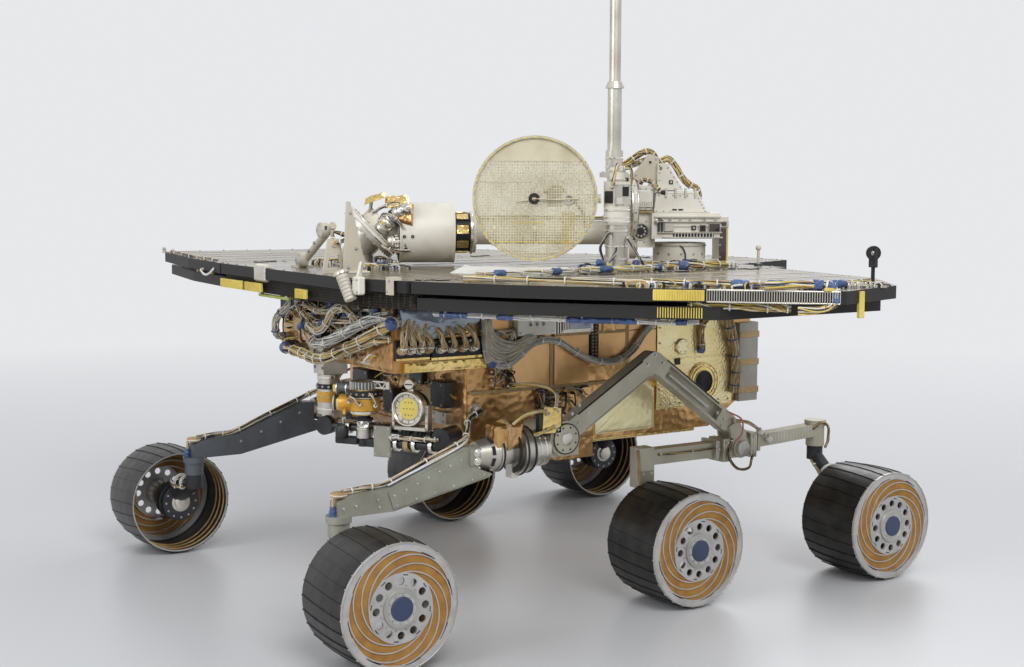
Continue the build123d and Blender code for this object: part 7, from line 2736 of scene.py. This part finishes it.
    def camera_box(self, work: Workpiece) -> None:
        """Layers, dark windows, posts and knobs on the camera box.

        Args:
            work: The workpiece that takes the shapes.
        """
        face = self.box_face
        layers = (
            (0.696, 0.862, 0.0390, 0.0440, WHITE), (0.704, 0.866, 0.0280, 0.0300, SILVER),
            (0.704, 0.866, 0.0010, 0.0035, SILVER), (0.716, 0.868, -0.0120, -0.0085, SILVER))
        for a0, a1, low, high, finish in layers:
            work.add(finish, block((a0, face - 0.0040, low), (a1, face + 0.006, high), 0.0008))
        self.square(work, 0.7945, face, 0.0140, 0.0055)
        for a0, a1, low, high, finish in (
                (0.8100, 0.8240, 0.0050, 0.0200, BLACK), (0.8330, 0.8600, 0.0045, 0.0240, LENS),
                (0.7220, 0.7420, 0.0060, 0.0240, SILVER)):
            work.add(SILVER, block(
                (a0 - 0.002, face - 0.0030, low - 0.0015), (a1 + 0.002, face + 0.001, high + 0.0015),
                0.0008))
            work.add(finish, block((a0, face - 0.0042, low), (a1, face - 0.0025, high), 0.0006))
        post = turned(
            (0, 0, -0.0080), (0, 0, 0.0010),
            [(0, 0.0022), (0.2, 0.0022), (0.22, 0.0014), (0.78, 0.0014), (0.8, 0.0022), (1, 0.0022)], 10)
        places = np.array([(a, face - 0.0010, -0.0005) for a in np.linspace(0.748, 0.842, 13)])
        work.add(BRIGHT, post.repeated(places))
        work.add(BLACK, block((0.744, face + 0.0005, -0.0085), (0.846, face + 0.003, 0.0010), 0.0004))
        knobs = [(a, face - 0.002, 0.0340) for a in (0.715, 0.735, 0.760, 0.785, 0.822, 0.850)]
        work.add(BOLT, bolts(knobs, MINUS_Y, 0.0022, 0.0024))
        for a in (0.704, 0.712):
            work.add(DARK_METAL, block((a, face - 0.003, 0.004), (a + 0.005, face + 0.004, 0.036), 0.0008))
        work.add(SILVER, turned(
            (0.701, -0.070, 0.030), (0.701, -0.088, 0.030),
            [(0, 0.006), (0.6, 0.006), (0.62, 0.004), (1, 0.003)], 18))

    def wires(self, work: Workpiece) -> None:
        """The gold and white bundles over the yoke and down the hood's slope.

        Args:
            work: The workpiece that takes the shapes.
        """
        runs = (
            (
                0.0085,
                (
                    (0.6080, -0.018, 0.128), (0.6150, -0.028, 0.158), (0.6380, -0.032, 0.176),
                    (0.6680, -0.030, 0.196), (0.6900, -0.026, 0.202), (0.7060, -0.020, 0.190),
                    (0.7120, -0.014, 0.172)), 26),
            (
                0.0080,
                (
                    (0.6180, -0.004, 0.136), (0.6300, -0.016, 0.160), (0.6600, -0.020, 0.172),
                    (0.6860, -0.016, 0.180), (0.7080, -0.006, 0.174)), 18),
            (
                0.0090,
                (
                    (0.7160, -0.030, 0.174), (0.7360, -0.036, 0.184), (0.7560, -0.038, 0.164),
                    (0.7740, -0.038, 0.136), (0.7920, -0.036, 0.120), (0.8100, -0.030, 0.112),
                    (0.8180, -0.022, 0.098), (0.8200, -0.016, 0.084)), 26),
            (
                0.0060,
                (
                    (0.6640, -0.044, 0.118), (0.6720, -0.052, 0.132), (0.6900, -0.056, 0.128),
                    (0.7060, -0.062, 0.112), (0.7140, -0.062, 0.104)), 12))
        for number, (radius, route, count) in enumerate(runs):
            Bundle(
                route, radius, 0.0016, count, 4.0, 350 + number, 70,
                (TAN, CREAM, TAN, BLACK_WIRE, YELLOW_WIRE), 6).lay(work)
        for number, route in enumerate((
                (
                    (0.6400, -0.012, 0.134), (0.6240, -0.030, 0.140), (0.6120, -0.034, 0.122),
                    (0.6060, -0.038, 0.100)),
                (
                    (0.6020, -0.030, 0.040), (0.5900, -0.040, 0.020), (0.5960, -0.046, -0.010),
                    (0.6100, -0.040, -0.040)))):
            Bundle(
                route, 0.0050, 0.0014, 8, 2.0, 360 + number, 40, (BLACK_WIRE, GREY_WIRE, BLACK_WIRE),
                3).lay(work)


@dataclass
class DishDetails:
    """Rim, centre, feed arm and tag on the dish; boxes and wires on its gimbal; the rod antenna's clamps."""

    seat: Seat = Seat((0.073, 0.230, 0.912), math.radians(-34.0))
    radius: float = 0.145
    stand: tuple = (-0.0845, 0.336)
    rod: tuple = (-0.182, 0.194)

    def build(self) -> None:
        """Make the pieces of the dish, its gimbal, its stand and the rod antenna."""
        self.dish()
        self.gimbal()
        self.fixed()

    def dish(self) -> None:
        """In the dish's directions: x to the viewer's left, y out, z up."""
        work = Workpiece("dish_details", "antenna_reflector", self.seat)
        angle = np.linspace(0, 2 * math.pi, 121)[:, None]
        rim = np.concatenate([0.1405 * np.cos(angle), np.full((121, 1), 0.0185), 0.1405 * np.sin(angle)], -1)
        for k, finish in enumerate((CREAM, TAG, GREY_WIRE)):
            swing = 40 * angle + 2.1 * k
            out = np.concatenate([np.cos(angle), np.zeros((121, 1)), np.sin(angle)], -1)
            line = rim + 0.0016 * np.cos(swing) * out + np.array((0, 0.0012, 0)) * np.sin(swing)
            work.add(finish, tube(line, 0.0017, 6))
        work.add(BLACK, ring((0.002, 0.0140, 0.000), (0.002, 0.0225, 0.000), 0.0050, 0.0130, 32))
        work.add(TAN, turned((0.002, 0.0140, 0.000), (0.002, 0.0200, 0.000), [(0, 0.006), (1, 0.005)], 20))
        feed = (
            (0.002, 0.0205, 0.000), (-0.040, 0.0215, -0.002), (-0.080, 0.0200, -0.001),
            (-0.100, 0.0175, 0.000))
        work.add(CREAM, tube(curve(feed, 20), 0.0022, 8))
        work.add(CREAM, tube(
            curve(((0.002, 0.0205, 0), (0.020, 0.0195, -0.004), (0.044, 0.0170, -0.008)), 12), 0.0018, 8))
        work.add(SILVER, ring((-0.078, 0.0150, -0.001), (-0.078, 0.0195, -0.001), 0.0080, 0.0125, 28))
        for z, a, b in (
                (0.086, -0.110, 0.110), (-0.055, -0.020, 0.046), (0.038, 0.010, 0.128),
                (-0.100, -0.090, 0.094)):
            work.add(TAG if z < 0 else CREAM, block((a, 0.0146, z - 0.0009), (b, 0.0158, z + 0.0009), 0.0003))
        back = (
            (-0.020, -0.030, 0.012), (-0.052, -0.036, 0.028), (-0.080, -0.030, 0.004),
            (-0.110, -0.020, -0.030), (-0.118, -0.016, -0.070))
        Bundle(back, 0.0045, 0.0014, 6, 2.0, 371, 50, (YELLOW_WIRE, CREAM, WHITE_WIRE), 3).lay(work)
        work.add(SILVER, block((-0.064, -0.024, -0.020), (-0.028, 0.007, 0.022), 0.002))
        work.add(TAG, block((-0.094, -0.0060, -0.108), (-0.062, 0.0070, -0.030), 0.001))
        work.add(TAPE, block((-0.088, -0.0075, -0.066), (-0.068, -0.0055, -0.040), 0.0006))
        work.make()

    def gimbal(self) -> None:
        """Boxes, covers, screws and loops of wire on the turning yoke."""
        x, y = self.stand
        work = Workpiece("gimbal_details", "antenna_turntable")
        for low, high, finish in (
                ((x - 0.0225, y + 0.0215, 0.896), (x + 0.0225, y + 0.0240, 0.946), SILVER),
                ((x + 0.0215, y - 0.0150, 0.902), (x + 0.0245, y + 0.0150, 0.930), BLACK),
                ((x - 0.0150, y + 0.0235, 0.918), (x + 0.0010, y + 0.0265, 0.940), BLACK),
                ((x + 0.0030, y + 0.0235, 0.900), (x + 0.0190, y + 0.0262, 0.914), WHITE)):
            work.add(finish, block(low, high, 0.001))
        for z in (0.899, 0.943):
            work.add(BOLT, bolts(
                [(x + d, y + 0.0240, z) for d in (-0.018, 0.0, 0.018)], PLUS_Y, *HEAD_36))
        for z, radius in ((0.856, 0.0312), (0.866, 0.0306), (0.884, 0.0315)):
            work.add(BRIGHT, ring((x, y, z), (x, y, z + 0.004), 0.026, radius, 48))
        work.add(BOLT, bolts(on_ring((x, y, 0.8885), PLUS_Z, 0.0270, 12), PLUS_Z, *HEAD_32))
        work.add(SILVER, ring((x, y, 0.954), (x, y, 0.958), 0.014, 0.0215, 40), ring(
            (x, y, 0.974), (x, y, 0.978), 0.014, 0.0195, 40))
        loops = (
            (
                (x + 0.010, y + 0.016, 0.984), (x + 0.020, y + 0.026, 0.990), (x + 0.027, y + 0.024, 0.960),
                (x + 0.0255, y + 0.012, 0.936)),
            (
                (x - 0.006, y + 0.016, 0.982), (x - 0.020, y + 0.026, 0.980), (x - 0.026, y + 0.020, 0.950),
                (x - 0.023, y + 0.010, 0.930)))
        for number, route in enumerate(loops):
            Bundle(
                route, 0.0042, 0.0013, 7, 2.0, 380 + number, 40, (BLACK_WIRE, YELLOW_WIRE, WHITE_WIRE),
                2).lay(work)
        work.make()

    def fixed(self) -> None:
        """The stand's bolts, black cables and blue plug; the rod antenna's screws and wires."""
        x, y = self.stand
        work = Workpiece("antenna_details", "chassis")
        work.add(BOLT, bolts(on_ring((x, y, 0.757), PLUS_Z, 0.035, 8), PLUS_Z, 0.0026, 0.0024))
        for z in (0.770, 0.800, 0.836):
            work.add(BRIGHT, ring((x, y, z), (x, y, z + 0.005), 0.020, 0.0280, 40))
        for number, route in enumerate((
                (
                    (x + 0.024, y + 0.010, 0.836), (x + 0.046, y + 0.020, 0.826),
                    (x + 0.060, y + 0.018, 0.800), (x + 0.052, y + 0.020, 0.770),
                    (x + 0.060, y + 0.024, 0.752)),
                (
                    (x + 0.016, y + 0.022, 0.800), (x + 0.030, y + 0.038, 0.790),
                    (x + 0.050, y + 0.034, 0.766), (x + 0.080, y + 0.026, 0.752)),
                (
                    (x - 0.012, y + 0.024, 0.824), (x - 0.020, y + 0.040, 0.800),
                    (x - 0.040, y + 0.040, 0.770), (x - 0.060, y + 0.034, 0.752)))):
            Bundle(
                route, 0.0038, 0.0013, 6, 2.0, 390 + number, 44, (BLACK_WIRE, BLACK_WIRE, GREY_WIRE),
                2).lay(work)
        start = np.array((x + 0.052, y + 0.028, 0.753))
        work.add(BLUE_WRAP, turned(
            start, start + (0.030, 0.012, 0.018), [(0, 0.0085), (0.5, 0.0105), (0.8, 0.0095), (1, 0.006)],
            20))
        x, y = self.rod
        for z in (0.985, 1.006):
            work.add(BRIGHT, ring((x, y, z), (x, y, z + 0.004), 0.019, 0.0225, 40))
            work.add(BOLT, bolts(
                [(x + 0.0125, y + 0.0185, z + 0.002), (x + 0.020, y + 0.010, z + 0.002)], (0.55, 0.83, 0),
                0.0022, 0.003))
        work.add(BOLT, bolts(
            [(x + a, y + b, 0.974) for a in (-0.019, 0.019) for b in (-0.019, 0.019)], PLUS_Z, 0.0028,
            0.0024))
        work.add(BLACK, block((x - 0.018, y + 0.0160, 0.930), (x + 0.018, y + 0.0300, 0.9615), 0.0015))
        work.add(SILVER, block((x - 0.008, y + 0.0290, 0.936), (x + 0.008, y + 0.0315, 0.956), 0.001))
        for z in (0.790, 0.850, 0.905):
            work.add(BRIGHT, ring((x, y, z), (x, y, z + 0.006), 0.014, 0.0190, 36))
        up = (
            (x + 0.006, y + 0.020, 0.752), (x + 0.008, y + 0.022, 0.800), (x + 0.004, y + 0.023, 0.860),
            (x + 0.006, y + 0.022, 0.932))
        Bundle(up, 0.0036, 0.0012, 6, 4.0, 395, 50, (BLACK_WIRE, TAN, WHITE_WIRE), 5).lay(work)
        work.add(BOLT, bolts(on_ring((x, y, 0.7600), PLUS_Z, 0.0285, 8), PLUS_Z, *HEAD_44))
        work.make()


@dataclass
class InstrumentArm:
    """Instruments, bands, bolts and wires on the stowed arm. Own directions: x along the upper link, z up."""

    seat: Seat = Seat((0.4877, -0.0110, 0.0), math.radians(122.3))
    turret: tuple = (0.130, -0.060)
    sensor: tuple = (0.247, 0.446)

    def build(self) -> None:
        """Make the pieces of each of the arm's bodies and of its mount."""
        self.shoulder()
        self.upper_link()
        self.forearm()
        self.turret_head()
        self.mount()

    def bands(self, work: Workpiece, middle: tuple, table: tuple, sides: int = 48) -> None:
        """Rings about an upright axis: low and high z, inner and outer radius, finish."""
        for low, high, inner, outer, finish in table:
            work.add(finish, ring((*middle, low), (*middle, high), inner, outer, sides))

    def shoulder(self) -> None:
        """Bands and bolts on the shoulder."""
        work = Workpiece("arm_shoulder_details", "arm_turntable", self.seat)
        self.bands(
            work, (0.0, 0.0),
            (
                (0.494, 0.501, 0.020, 0.0275, BRIGHT), (0.470, 0.482, 0.020, 0.0285, BLACK),
                (0.440, 0.464, 0.020, 0.0280, AMBER), (0.420, 0.426, 0.020, 0.0275, BRIGHT)))
        work.add(BOLT, bolts(on_ring((0, 0, 0.476), PLUS_Z, 0.0300, 2), PLUS_Z, 0.0012, 0.001))
        for angle in np.radians(np.arange(180, 360, 30)):
            out = np.array((math.cos(angle), math.sin(angle), 0.0))
            work.add(BOLT, bolts(
                [0.0284 * out + (0, 0, 0.476), 0.0279 * out + (0, 0, 0.452)], out, 0.0018, 0.0016))
        work.make()

    def upper_link(self) -> None:
        """Collars and tied wires on the upper link."""
        work = Workpiece("arm_upper_link_details", "upper_link", self.seat)
        for a in (0.060, 0.130, 0.200, 0.270):
            work.add(SILVER, ring((a, -0.015, 0.385), (a + 0.010, -0.015, 0.385), 0.010, 0.0150, 32))
        route = (
            (0.040, -0.022, 0.398), (0.110, -0.024, 0.399), (0.180, -0.022, 0.399), (0.250, -0.024, 0.398),
            (0.300, -0.022, 0.396))
        Bundle(route, 0.0050, 0.0013, 8, 5.0, 401, 60, (BLACK_WIRE, TAN, GREY_WIRE), 6).lay(work)
        work.make()

    def forearm(self) -> None:
        """The round sensor, its bracket, the wrist's plate, collars and wires."""
        work = Workpiece("arm_forearm_details", "forearm", self.seat)
        a, z = self.sensor
        work.add(SILVER, ring((a, -0.0500, z), (a, -0.0720, z), 0.0330, 0.0395, 72, 0.0015))
        work.add(BRIGHT, ring((a, -0.0715, z), (a, -0.0745, z), 0.0345, 0.0385, 72))
        work.add(WHITE, ring((a, -0.0600, z), (a, -0.0655, z), 0.0250, 0.0345, 60))
        work.add(TAG, turned((a, -0.0600, z), (a, -0.0672, z), [(0, 0.0255), (0.8, 0.0255), (1, 0.0240)], 56))
        work.add(SILVER, ring((a, -0.0665, z), (a, -0.0680, z), 0.0240, 0.0262, 56))
        angle = np.linspace(0, 2 * math.pi, 12, endpoint=False)
        out = np.stack([np.cos(angle), np.zeros(12), np.sin(angle)], -1)
        turns = np.stack([out, np.broadcast_to((0, 1.0, 0), (12, 3)), np.cross(out, (0, 1.0, 0))], -1)
        tick = block((-0.0030, -0.0006, -0.0006), (0.0030, 0.0006, 0.0006), 0.0002)
        work.add(BLACK, tick.repeated(np.array((a, -0.0657, z)) + 0.0298 * out, turns))
        dots = [
            (a + x, -0.0672, z + u)
            for x, u in (
                (-0.012, 0.0), (-0.004, 0.0), (0.004, 0.0), (0.012, 0.0), (-0.008, 0.014), (0.0, 0.014),
                (0.008, 0.014), (-0.008, -0.014), (0.0, -0.014), (0.008, -0.014))]
        dot = turned((0, 0, -0.0004), (0, 0, 0.0006), [(0, 0.0016), (1, 0.0012)], 10)
        work.add(BLACK, dot.repeated(np.array(dots), facing(MINUS_Y)))
        work.add(
            SILVER, block((a - 0.042, -0.0660, z - 0.050), (a + 0.042, -0.0340, z - 0.040), 0.0015),
            block((a - 0.046, -0.0620, z - 0.048), (a - 0.038, -0.0400, z + 0.010), 0.0012),
            block((a + 0.038, -0.0620, z - 0.048), (a + 0.046, -0.0400, z + 0.010), 0.0012))
        work.add(BOLT, bolts(
            [(a + s * 0.042, -0.0620, z + u) for s in (-1, 1) for u in (-0.030, -0.010, 0.004)], MINUS_Y,
            *HEAD_36))
        for s in (-0.022, -0.008, 0.008, 0.022):
            work.add(DARK_METAL, turned(
                (a + s, -0.0520, 0.370), (a + s, -0.0520, z - 0.046), [(0, 0.0045), (1, 0.0045)], 14))
        work.add(SILVER, block((a - 0.006, -0.0560, z + 0.034), (a + 0.006, -0.0460, z + 0.052), 0.001))
        work.add(SILVER, turned(
            (a - 0.002, -0.0460, z + 0.054), (a - 0.002, -0.0620, z + 0.054),
            [(0, 0.0125), (0.85, 0.0125), (1, 0.011)], 36))
        work.add(BLACK, block((a - 0.011, -0.0630, z + 0.0525), (a + 0.007, -0.0615, z + 0.0550), 0.0003))
        work.add(OLIVE, block((0.1630, -0.0770, 0.334), (0.2060, -0.0705, 0.404), 0.0015))
        work.add(BOLT, bolts(
            [(x, -0.0770, u) for x in (0.168, 0.201) for u in (0.340, 0.398)], MINUS_Y, *HEAD_40))
        for start in (0.212, 0.258, 0.300):
            work.add(BRIGHT, ring((start, -0.060, 0.365), (start + 0.009, -0.060, 0.365), 0.012, 0.0175, 32))
        work.add(TAPE, ring((0.236, -0.060, 0.365), (0.248, -0.060, 0.365), 0.012, 0.0165, 32))
        route = (
            (0.205, -0.078, 0.378), (0.230, -0.0800, 0.382), (0.262, -0.0790, 0.381), (0.300, -0.0790, 0.382),
            (0.326, -0.0740, 0.384))
        Bundle(route, 0.0050, 0.0014, 9, 4.0, 411, 60, (WHITE_WIRE, TAN, BLACK_WIRE, CREAM), 5).lay(work)
        # The upright cylinder below the turret.
        self.bands(
            work, self.turret,
            (
                (0.372, 0.392, 0.010, 0.0190, SILVER), (0.392, 0.396, 0.010, 0.0210, BRIGHT),
                (0.396, 0.412, 0.010, 0.0175, FOIL_SILVER), (0.412, 0.417, 0.010, 0.0205, BLACK)))
        work.add(DARK_METAL, block((0.060, -0.074, 0.356), (0.118, -0.048, 0.372), 0.002))
        work.add(DARK_METAL, turned(
            (0.078, -0.072, 0.372), (0.078, -0.072, 0.398), [(0, 0.0150), (0.8, 0.0150), (1, 0.012)], 28))
        work.make()

    def turret_head(self) -> None:
        """Ribbed drum, black and amber bands, lens tube, end cube, strap and truss on the turret."""
        work = Workpiece("arm_turret_details", "turret", self.seat)
        a, y = self.turret
        self.bands(
            work, self.turret,
            (
                (0.484, 0.502, 0.020, 0.0310, STEEL_BLUE), (0.468, 0.482, 0.028, 0.0410, BLACK),
                (0.465, 0.468, 0.028, 0.0385, SILVER), (0.429, 0.435, 0.020, 0.0320, BRIGHT)))
        work.add(AMBER, ring((a, y, 0.436), (a, y, 0.464), 0.0290, 0.0365, 12))
        angle = np.linspace(0, 2 * math.pi, 26, endpoint=False)
        rib = block((-0.0016, -0.0016, -0.0085), (0.0016, 0.0016, 0.0085), 0.0005)
        spots = np.stack([a + 0.0315 * np.cos(angle), y + 0.0315 * np.sin(angle), np.full(26, 0.493)], -1)
        work.add(GREY_WIRE, rib.repeated(spots))
        for angle in np.radians(np.arange(170, 380, 21)):
            out = np.array((math.cos(angle), math.sin(angle), 0.0))
            middle = np.array((a, y, 0.0))
            work.add(BOLT, bolts([middle + 0.0408 * out + (0, 0, 0.475)], out, *HEAD_36))
        start, end = np.array((0.108, -0.0722, 0.451)), np.array((0.066, -0.0846, 0.4525))
        ahead = unit(end - start)
        work.add(AMBER, turned(
            start, start + 0.030 * ahead, [(0, 0.0190), (0.08, 0.0200), (0.92, 0.0200), (1, 0.0190)], 12))
        work.add(DARK_METAL, turned(start + 0.036 * ahead, end, [(0, 0.0185), (1, 0.0185)], 40))
        work.add(BRIGHT, ring(end - 0.0035 * ahead, end, 0.0160, 0.0200, 44))
        work.add(LENS, turned(end - 0.004 * ahead, end - 0.0012 * ahead, [(0, 0.0164), (1, 0.0164)], 40))
        work.add(BLACK, ring(end - 0.0014 * ahead, end - 0.0004 * ahead, 0.0070, 0.0130, 36))
        work.add(STEEL_BLUE, turned(
            (0.100, -0.060, 0.482), (0.064, -0.060, 0.482), [(0, 0.0152), (0.9, 0.0152), (1, 0.0140)], 32))
        work.add(BRIGHT, ring((0.092, -0.060, 0.482), (0.088, -0.060, 0.482), 0.0100, 0.0162, 32), ring(
            (0.066, -0.060, 0.482), (0.063, -0.060, 0.482), 0.0100, 0.0156, 32))
        work.add(TAG, block((0.0525, -0.0700, 0.4730), (0.064, -0.0510, 0.4900), 0.0012))
        work.add(BLACK, block((0.0500, -0.0690, 0.4745), (0.0530, -0.0520, 0.4885), 0.001))
        work.add(AMBER, block((0.0960, -0.0990, 0.428), (0.1030, -0.0965, 0.446), 0.0008), block(
            (0.0960, -0.0990, 0.438), (0.1030, -0.0880, 0.446), 0.0008))
        # The truss: two rails with slanted struts between them.
        for z in (0.4880, 0.5020):
            work.add(WHITE, tube(spread((0.156, -0.066, z), (0.200, -0.066, z), 5), 0.0022, 8))
        for number, at in enumerate(np.linspace(0.158, 0.190, 4)):
            low, high = ((0.4880, 0.5020), (0.5020, 0.4880))[number % 2]
            work.add(WHITE, tube(spread((at, -0.066, low), (at + 0.0105, -0.066, high), 4), 0.0016, 8))
        work.add(SILVER, block((0.190, -0.0700, 0.4860), (0.200, -0.0580, 0.5040), 0.001))
        for number, route in enumerate((
                (
                    (0.150, -0.084, 0.470), (0.164, -0.0900, 0.476), (0.172, -0.0860, 0.460),
                    (0.168, -0.0760, 0.446)),
                (
                    (0.112, -0.096, 0.456), (0.118, -0.1060, 0.470), (0.134, -0.1080, 0.462),
                    (0.144, -0.0960, 0.450)))):
            Bundle(
                route, 0.0040, 0.0013, 6, 2.0, 420 + number, 36, (BLACK_WIRE, TAN, WHITE_WIRE), 2).lay(work)
        work.make()

    def mount(self) -> None:
        """Bolts on the mount, the lime bar under the deck's edge, plates and wires in the recess."""
        work = Workpiece("arm_mount_details", "chassis")
        work.add(BOLT, bolts(
            [(0.514, y, z) for y in (-0.031, 0.009) for z in (0.520, 0.540, 0.560)], PLUS_X, 0.0026, 0.0024))
        bar = spread((0.560, -0.234, 0.6775), (0.560, -0.063, 0.6775), 6)
        work.add(LIME, tube(bar, 0.0042, 14))
        for y in (-0.225, -0.075):
            work.add(SILVER, block((0.555, y - 0.005, 0.6780), (0.565, y + 0.005, 0.6845), 0.0008))
        extra = (
            (
                (0.494, 0.300, 0.662), (0.507, 0.250, 0.652), (0.512, 0.190, 0.634), (0.515, 0.120, 0.609),
                (0.517, 0.050, 0.586), (0.512, -0.020, 0.574), (0.498, -0.070, 0.574),
                (0.480, -0.090, 0.576)),
            (
                (0.480, 0.280, 0.610), (0.500, 0.262, 0.606), (0.507, 0.190, 0.588), (0.509, 0.120, 0.566),
                (0.505, 0.070, 0.553), (0.480, 0.050, 0.552)),
            (
                (0.480, -0.120, 0.668), (0.504, -0.100, 0.664), (0.512, -0.020, 0.652), (0.512, 0.060, 0.656),
                (0.510, 0.130, 0.668), (0.480, 0.160, 0.672)))
        for number, route in enumerate(extra):
            finishes = (
                (GREY_WIRE, WHITE_WIRE, GREY_WIRE), (TAN, CREAM, YELLOW_WIRE),
                (CREAM, TAN, GREY_WIRE))[number]
            Bundle(
                route, (0.0130, 0.0085, 0.0080)[number], 0.0017, (26, 14, 12)[number], 4.0, 430 + number, 80,
                finishes, 6).lay(work)
        panel = Sheet(
            ((0.293, 0.150, 0.392), (0.293, 0.020, 0.392), (0.293, 0.020, 0.525), (0.293, 0.150, 0.525)),
            PLUS_X, 0.003, 0.05, 441, 0.006, 0.004)
        work.add(TAPE, panel.shape())
        boxes = (
            ((0.292, 0.180, 0.440), (0.326, 0.240, 0.500), DARK_METAL),
            ((0.292, 0.170, 0.400), (0.316, 0.230, 0.430), SILVER),
            ((0.292, -0.040, 0.400), (0.330, 0.010, 0.460), BLACK),
            ((0.292, 0.060, 0.480), (0.314, 0.120, 0.520), DARK_METAL),
            ((0.292, -0.200, 0.420), (0.330, -0.120, 0.490), DARK_METAL))
        for low, high, finish in boxes:
            work.add(finish, block(low, high, 0.002))
            work.add(BOLT, bolts(
                [
                    (high[0], y, z) for y in (low[1] + 0.008, high[1] - 0.008)
                    for z in (low[2] + 0.007, high[2] - 0.007)], PLUS_X, 0.0022, 0.0022))
        for z in (0.546, 0.640):
            for y in (0.16, -0.02, -0.16):
                work.add(SILVER, block((0.477, y - 0.020, z - 0.004), (0.483, y + 0.020, z + 0.004), 0.001))
        Tangle(
            (0.479, 0.285, 0.600), (0, -0.34, 0), (0, 0, 0.080), PLUS_X, 40, 0.026, 0.11, 0.0019, 444,
            (GREY_WIRE, CREAM, BLUE_WRAP, TAN, BLACK_WIRE)).lay(work)
        for number, (y, z) in enumerate((
                (0.090, 0.640), (0.020, 0.660), (-0.060, 0.640), (0.150, 0.620), (-0.140, 0.600))):
            knot = spread((0.490, y - 0.020, z), (0.500, y + 0.020, z + 0.012), 10)
            work.add(BLUE_WRAP, sleeve(knot, 0.0080, 450 + number))
        for y, z, r in (
                (-0.205, 0.655, 0.016), (0.185, 0.655, 0.012), (-0.02, 0.600, 0.013), (0.10, 0.585, 0.010)):
            work.add(DARK_METAL, turned(
                (NOSE_X, y, z), (0.506, y, z), [(0, r), (0.55, r), (0.56, 0.8 * r), (1, 0.7 * r)], 28))
        work.make()


def dress(names: dict[str, Finish]) -> None:
    """Give CAD nodes their finishes.

    Args:
        names: The finish for each node's name.
    """
    for node, finish in names.items():
        mesh = FRAME["nodes"][node].data
        mesh.materials.clear()
        mesh.materials.append(finish.material())


def plain_finishes() -> dict[str, Finish]:
    """The finish of each CAD node that stays in view.

    Returns:
        The finish for each node's name.
    """
    plain = {
        "body_box": FOIL_COPPER,
        "deck_frame": DECK_EDGE,
        "deck_panel": DECK_TOP,
        "tail_panel": DECK_TOP,
        "mast_base": SILVER,
        "mast": WHITE,
        "mast_head": WHITE,
        "mast_rest": WHITE,
        "antenna_stand": SILVER,
        "antenna_yoke": WHITE,
        "antenna_dish": DISH,
        "rod_antenna": SILVER,
        "arm_mount": SILVER,
        "arm_shoulder": SILVER,
        "arm_upper_link": DARK_METAL,
        "arm_forearm": DARK_METAL,
        "arm_turret": FOIL_GOLD,
        "foil_tiles_port": FOIL_TILE,
        "foil_tiles_starboard": FOIL_TILE,
        "gold_panel_port": FOIL_GOLD,
        "pale_panel_port": FOIL_PALE,
        "rear_blanket": BLANKET,
        "service_box_port": WHITE,
        "relay_box_port": SILVER,
        "connector_row_port": BLACK,
        "nose_strip_port": FOIL_GOLD,
        "side_harness": GREY_WIRE,
        "nose_harness": CREAM,
        "tail_harness": TAN,
        "deck_fittings": CREAM_PAINT,
        "deck_cloth": CLOTH,
    }
    for side_name in SIDES:
        port = side_name == "port"
        plain[f"arm_harness_{side_name}"] = BLACK_WIRE
        plain[f"wing_{side_name}"] = DECK_TOP
        plain[f"front_arm_{side_name}"] = OLIVE if port else STEEL_BLUE
        plain[f"rocker_{side_name}"] = ARCH_GREY
        plain[f"bogie_{side_name}"] = ARCH_GREY
        plain[f"deploy_motor_{side_name}"] = SILVER
        for row in ("front", "rear"):
            plain[f"steering_strut_{row}_{side_name}"] = DARK_METAL
        for row in ("front", "middle", "rear"):
            low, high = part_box(f"wheel_{row}_{side_name}")
            middle = (low + high) / 2
            plain[f"wheel_{row}_{side_name}"] = WheelMetal(
                f"wheel_metal_{row}_{side_name}", (0.03, 0.03, 0.03), roughness=0.36, metallic=0.35,
                centre=(middle.x, middle.y - 0.002 * SIDES[side_name], middle.z), outward=SIDES[side_name],
                slot="wheel_metal")
            plain[f"wheel_foam_{row}_{side_name}"] = FOAM
    return plain


def main() -> None:
    """Build the rover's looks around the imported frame."""
    logging.basicConfig(level=logging.INFO, format="%(message)s")
    FRAME.update(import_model())
    bpy.context.scene.view_settings.view_transform = "Standard"
    PhotoCamera().build()
    Studio().build()
    dress(plain_finishes())
    for assembly in (
            WheelSet(), WheelDrives(), RunningGear(), FoilSkin(), WallEquipment(), BodyWiring(),
            DeckDetails(), DeckCloth(), MastDetails(), HeadDetails(), DishDetails(), InstrumentArm()):
        assembly.build()


if __name__ == "__main__":
    main()
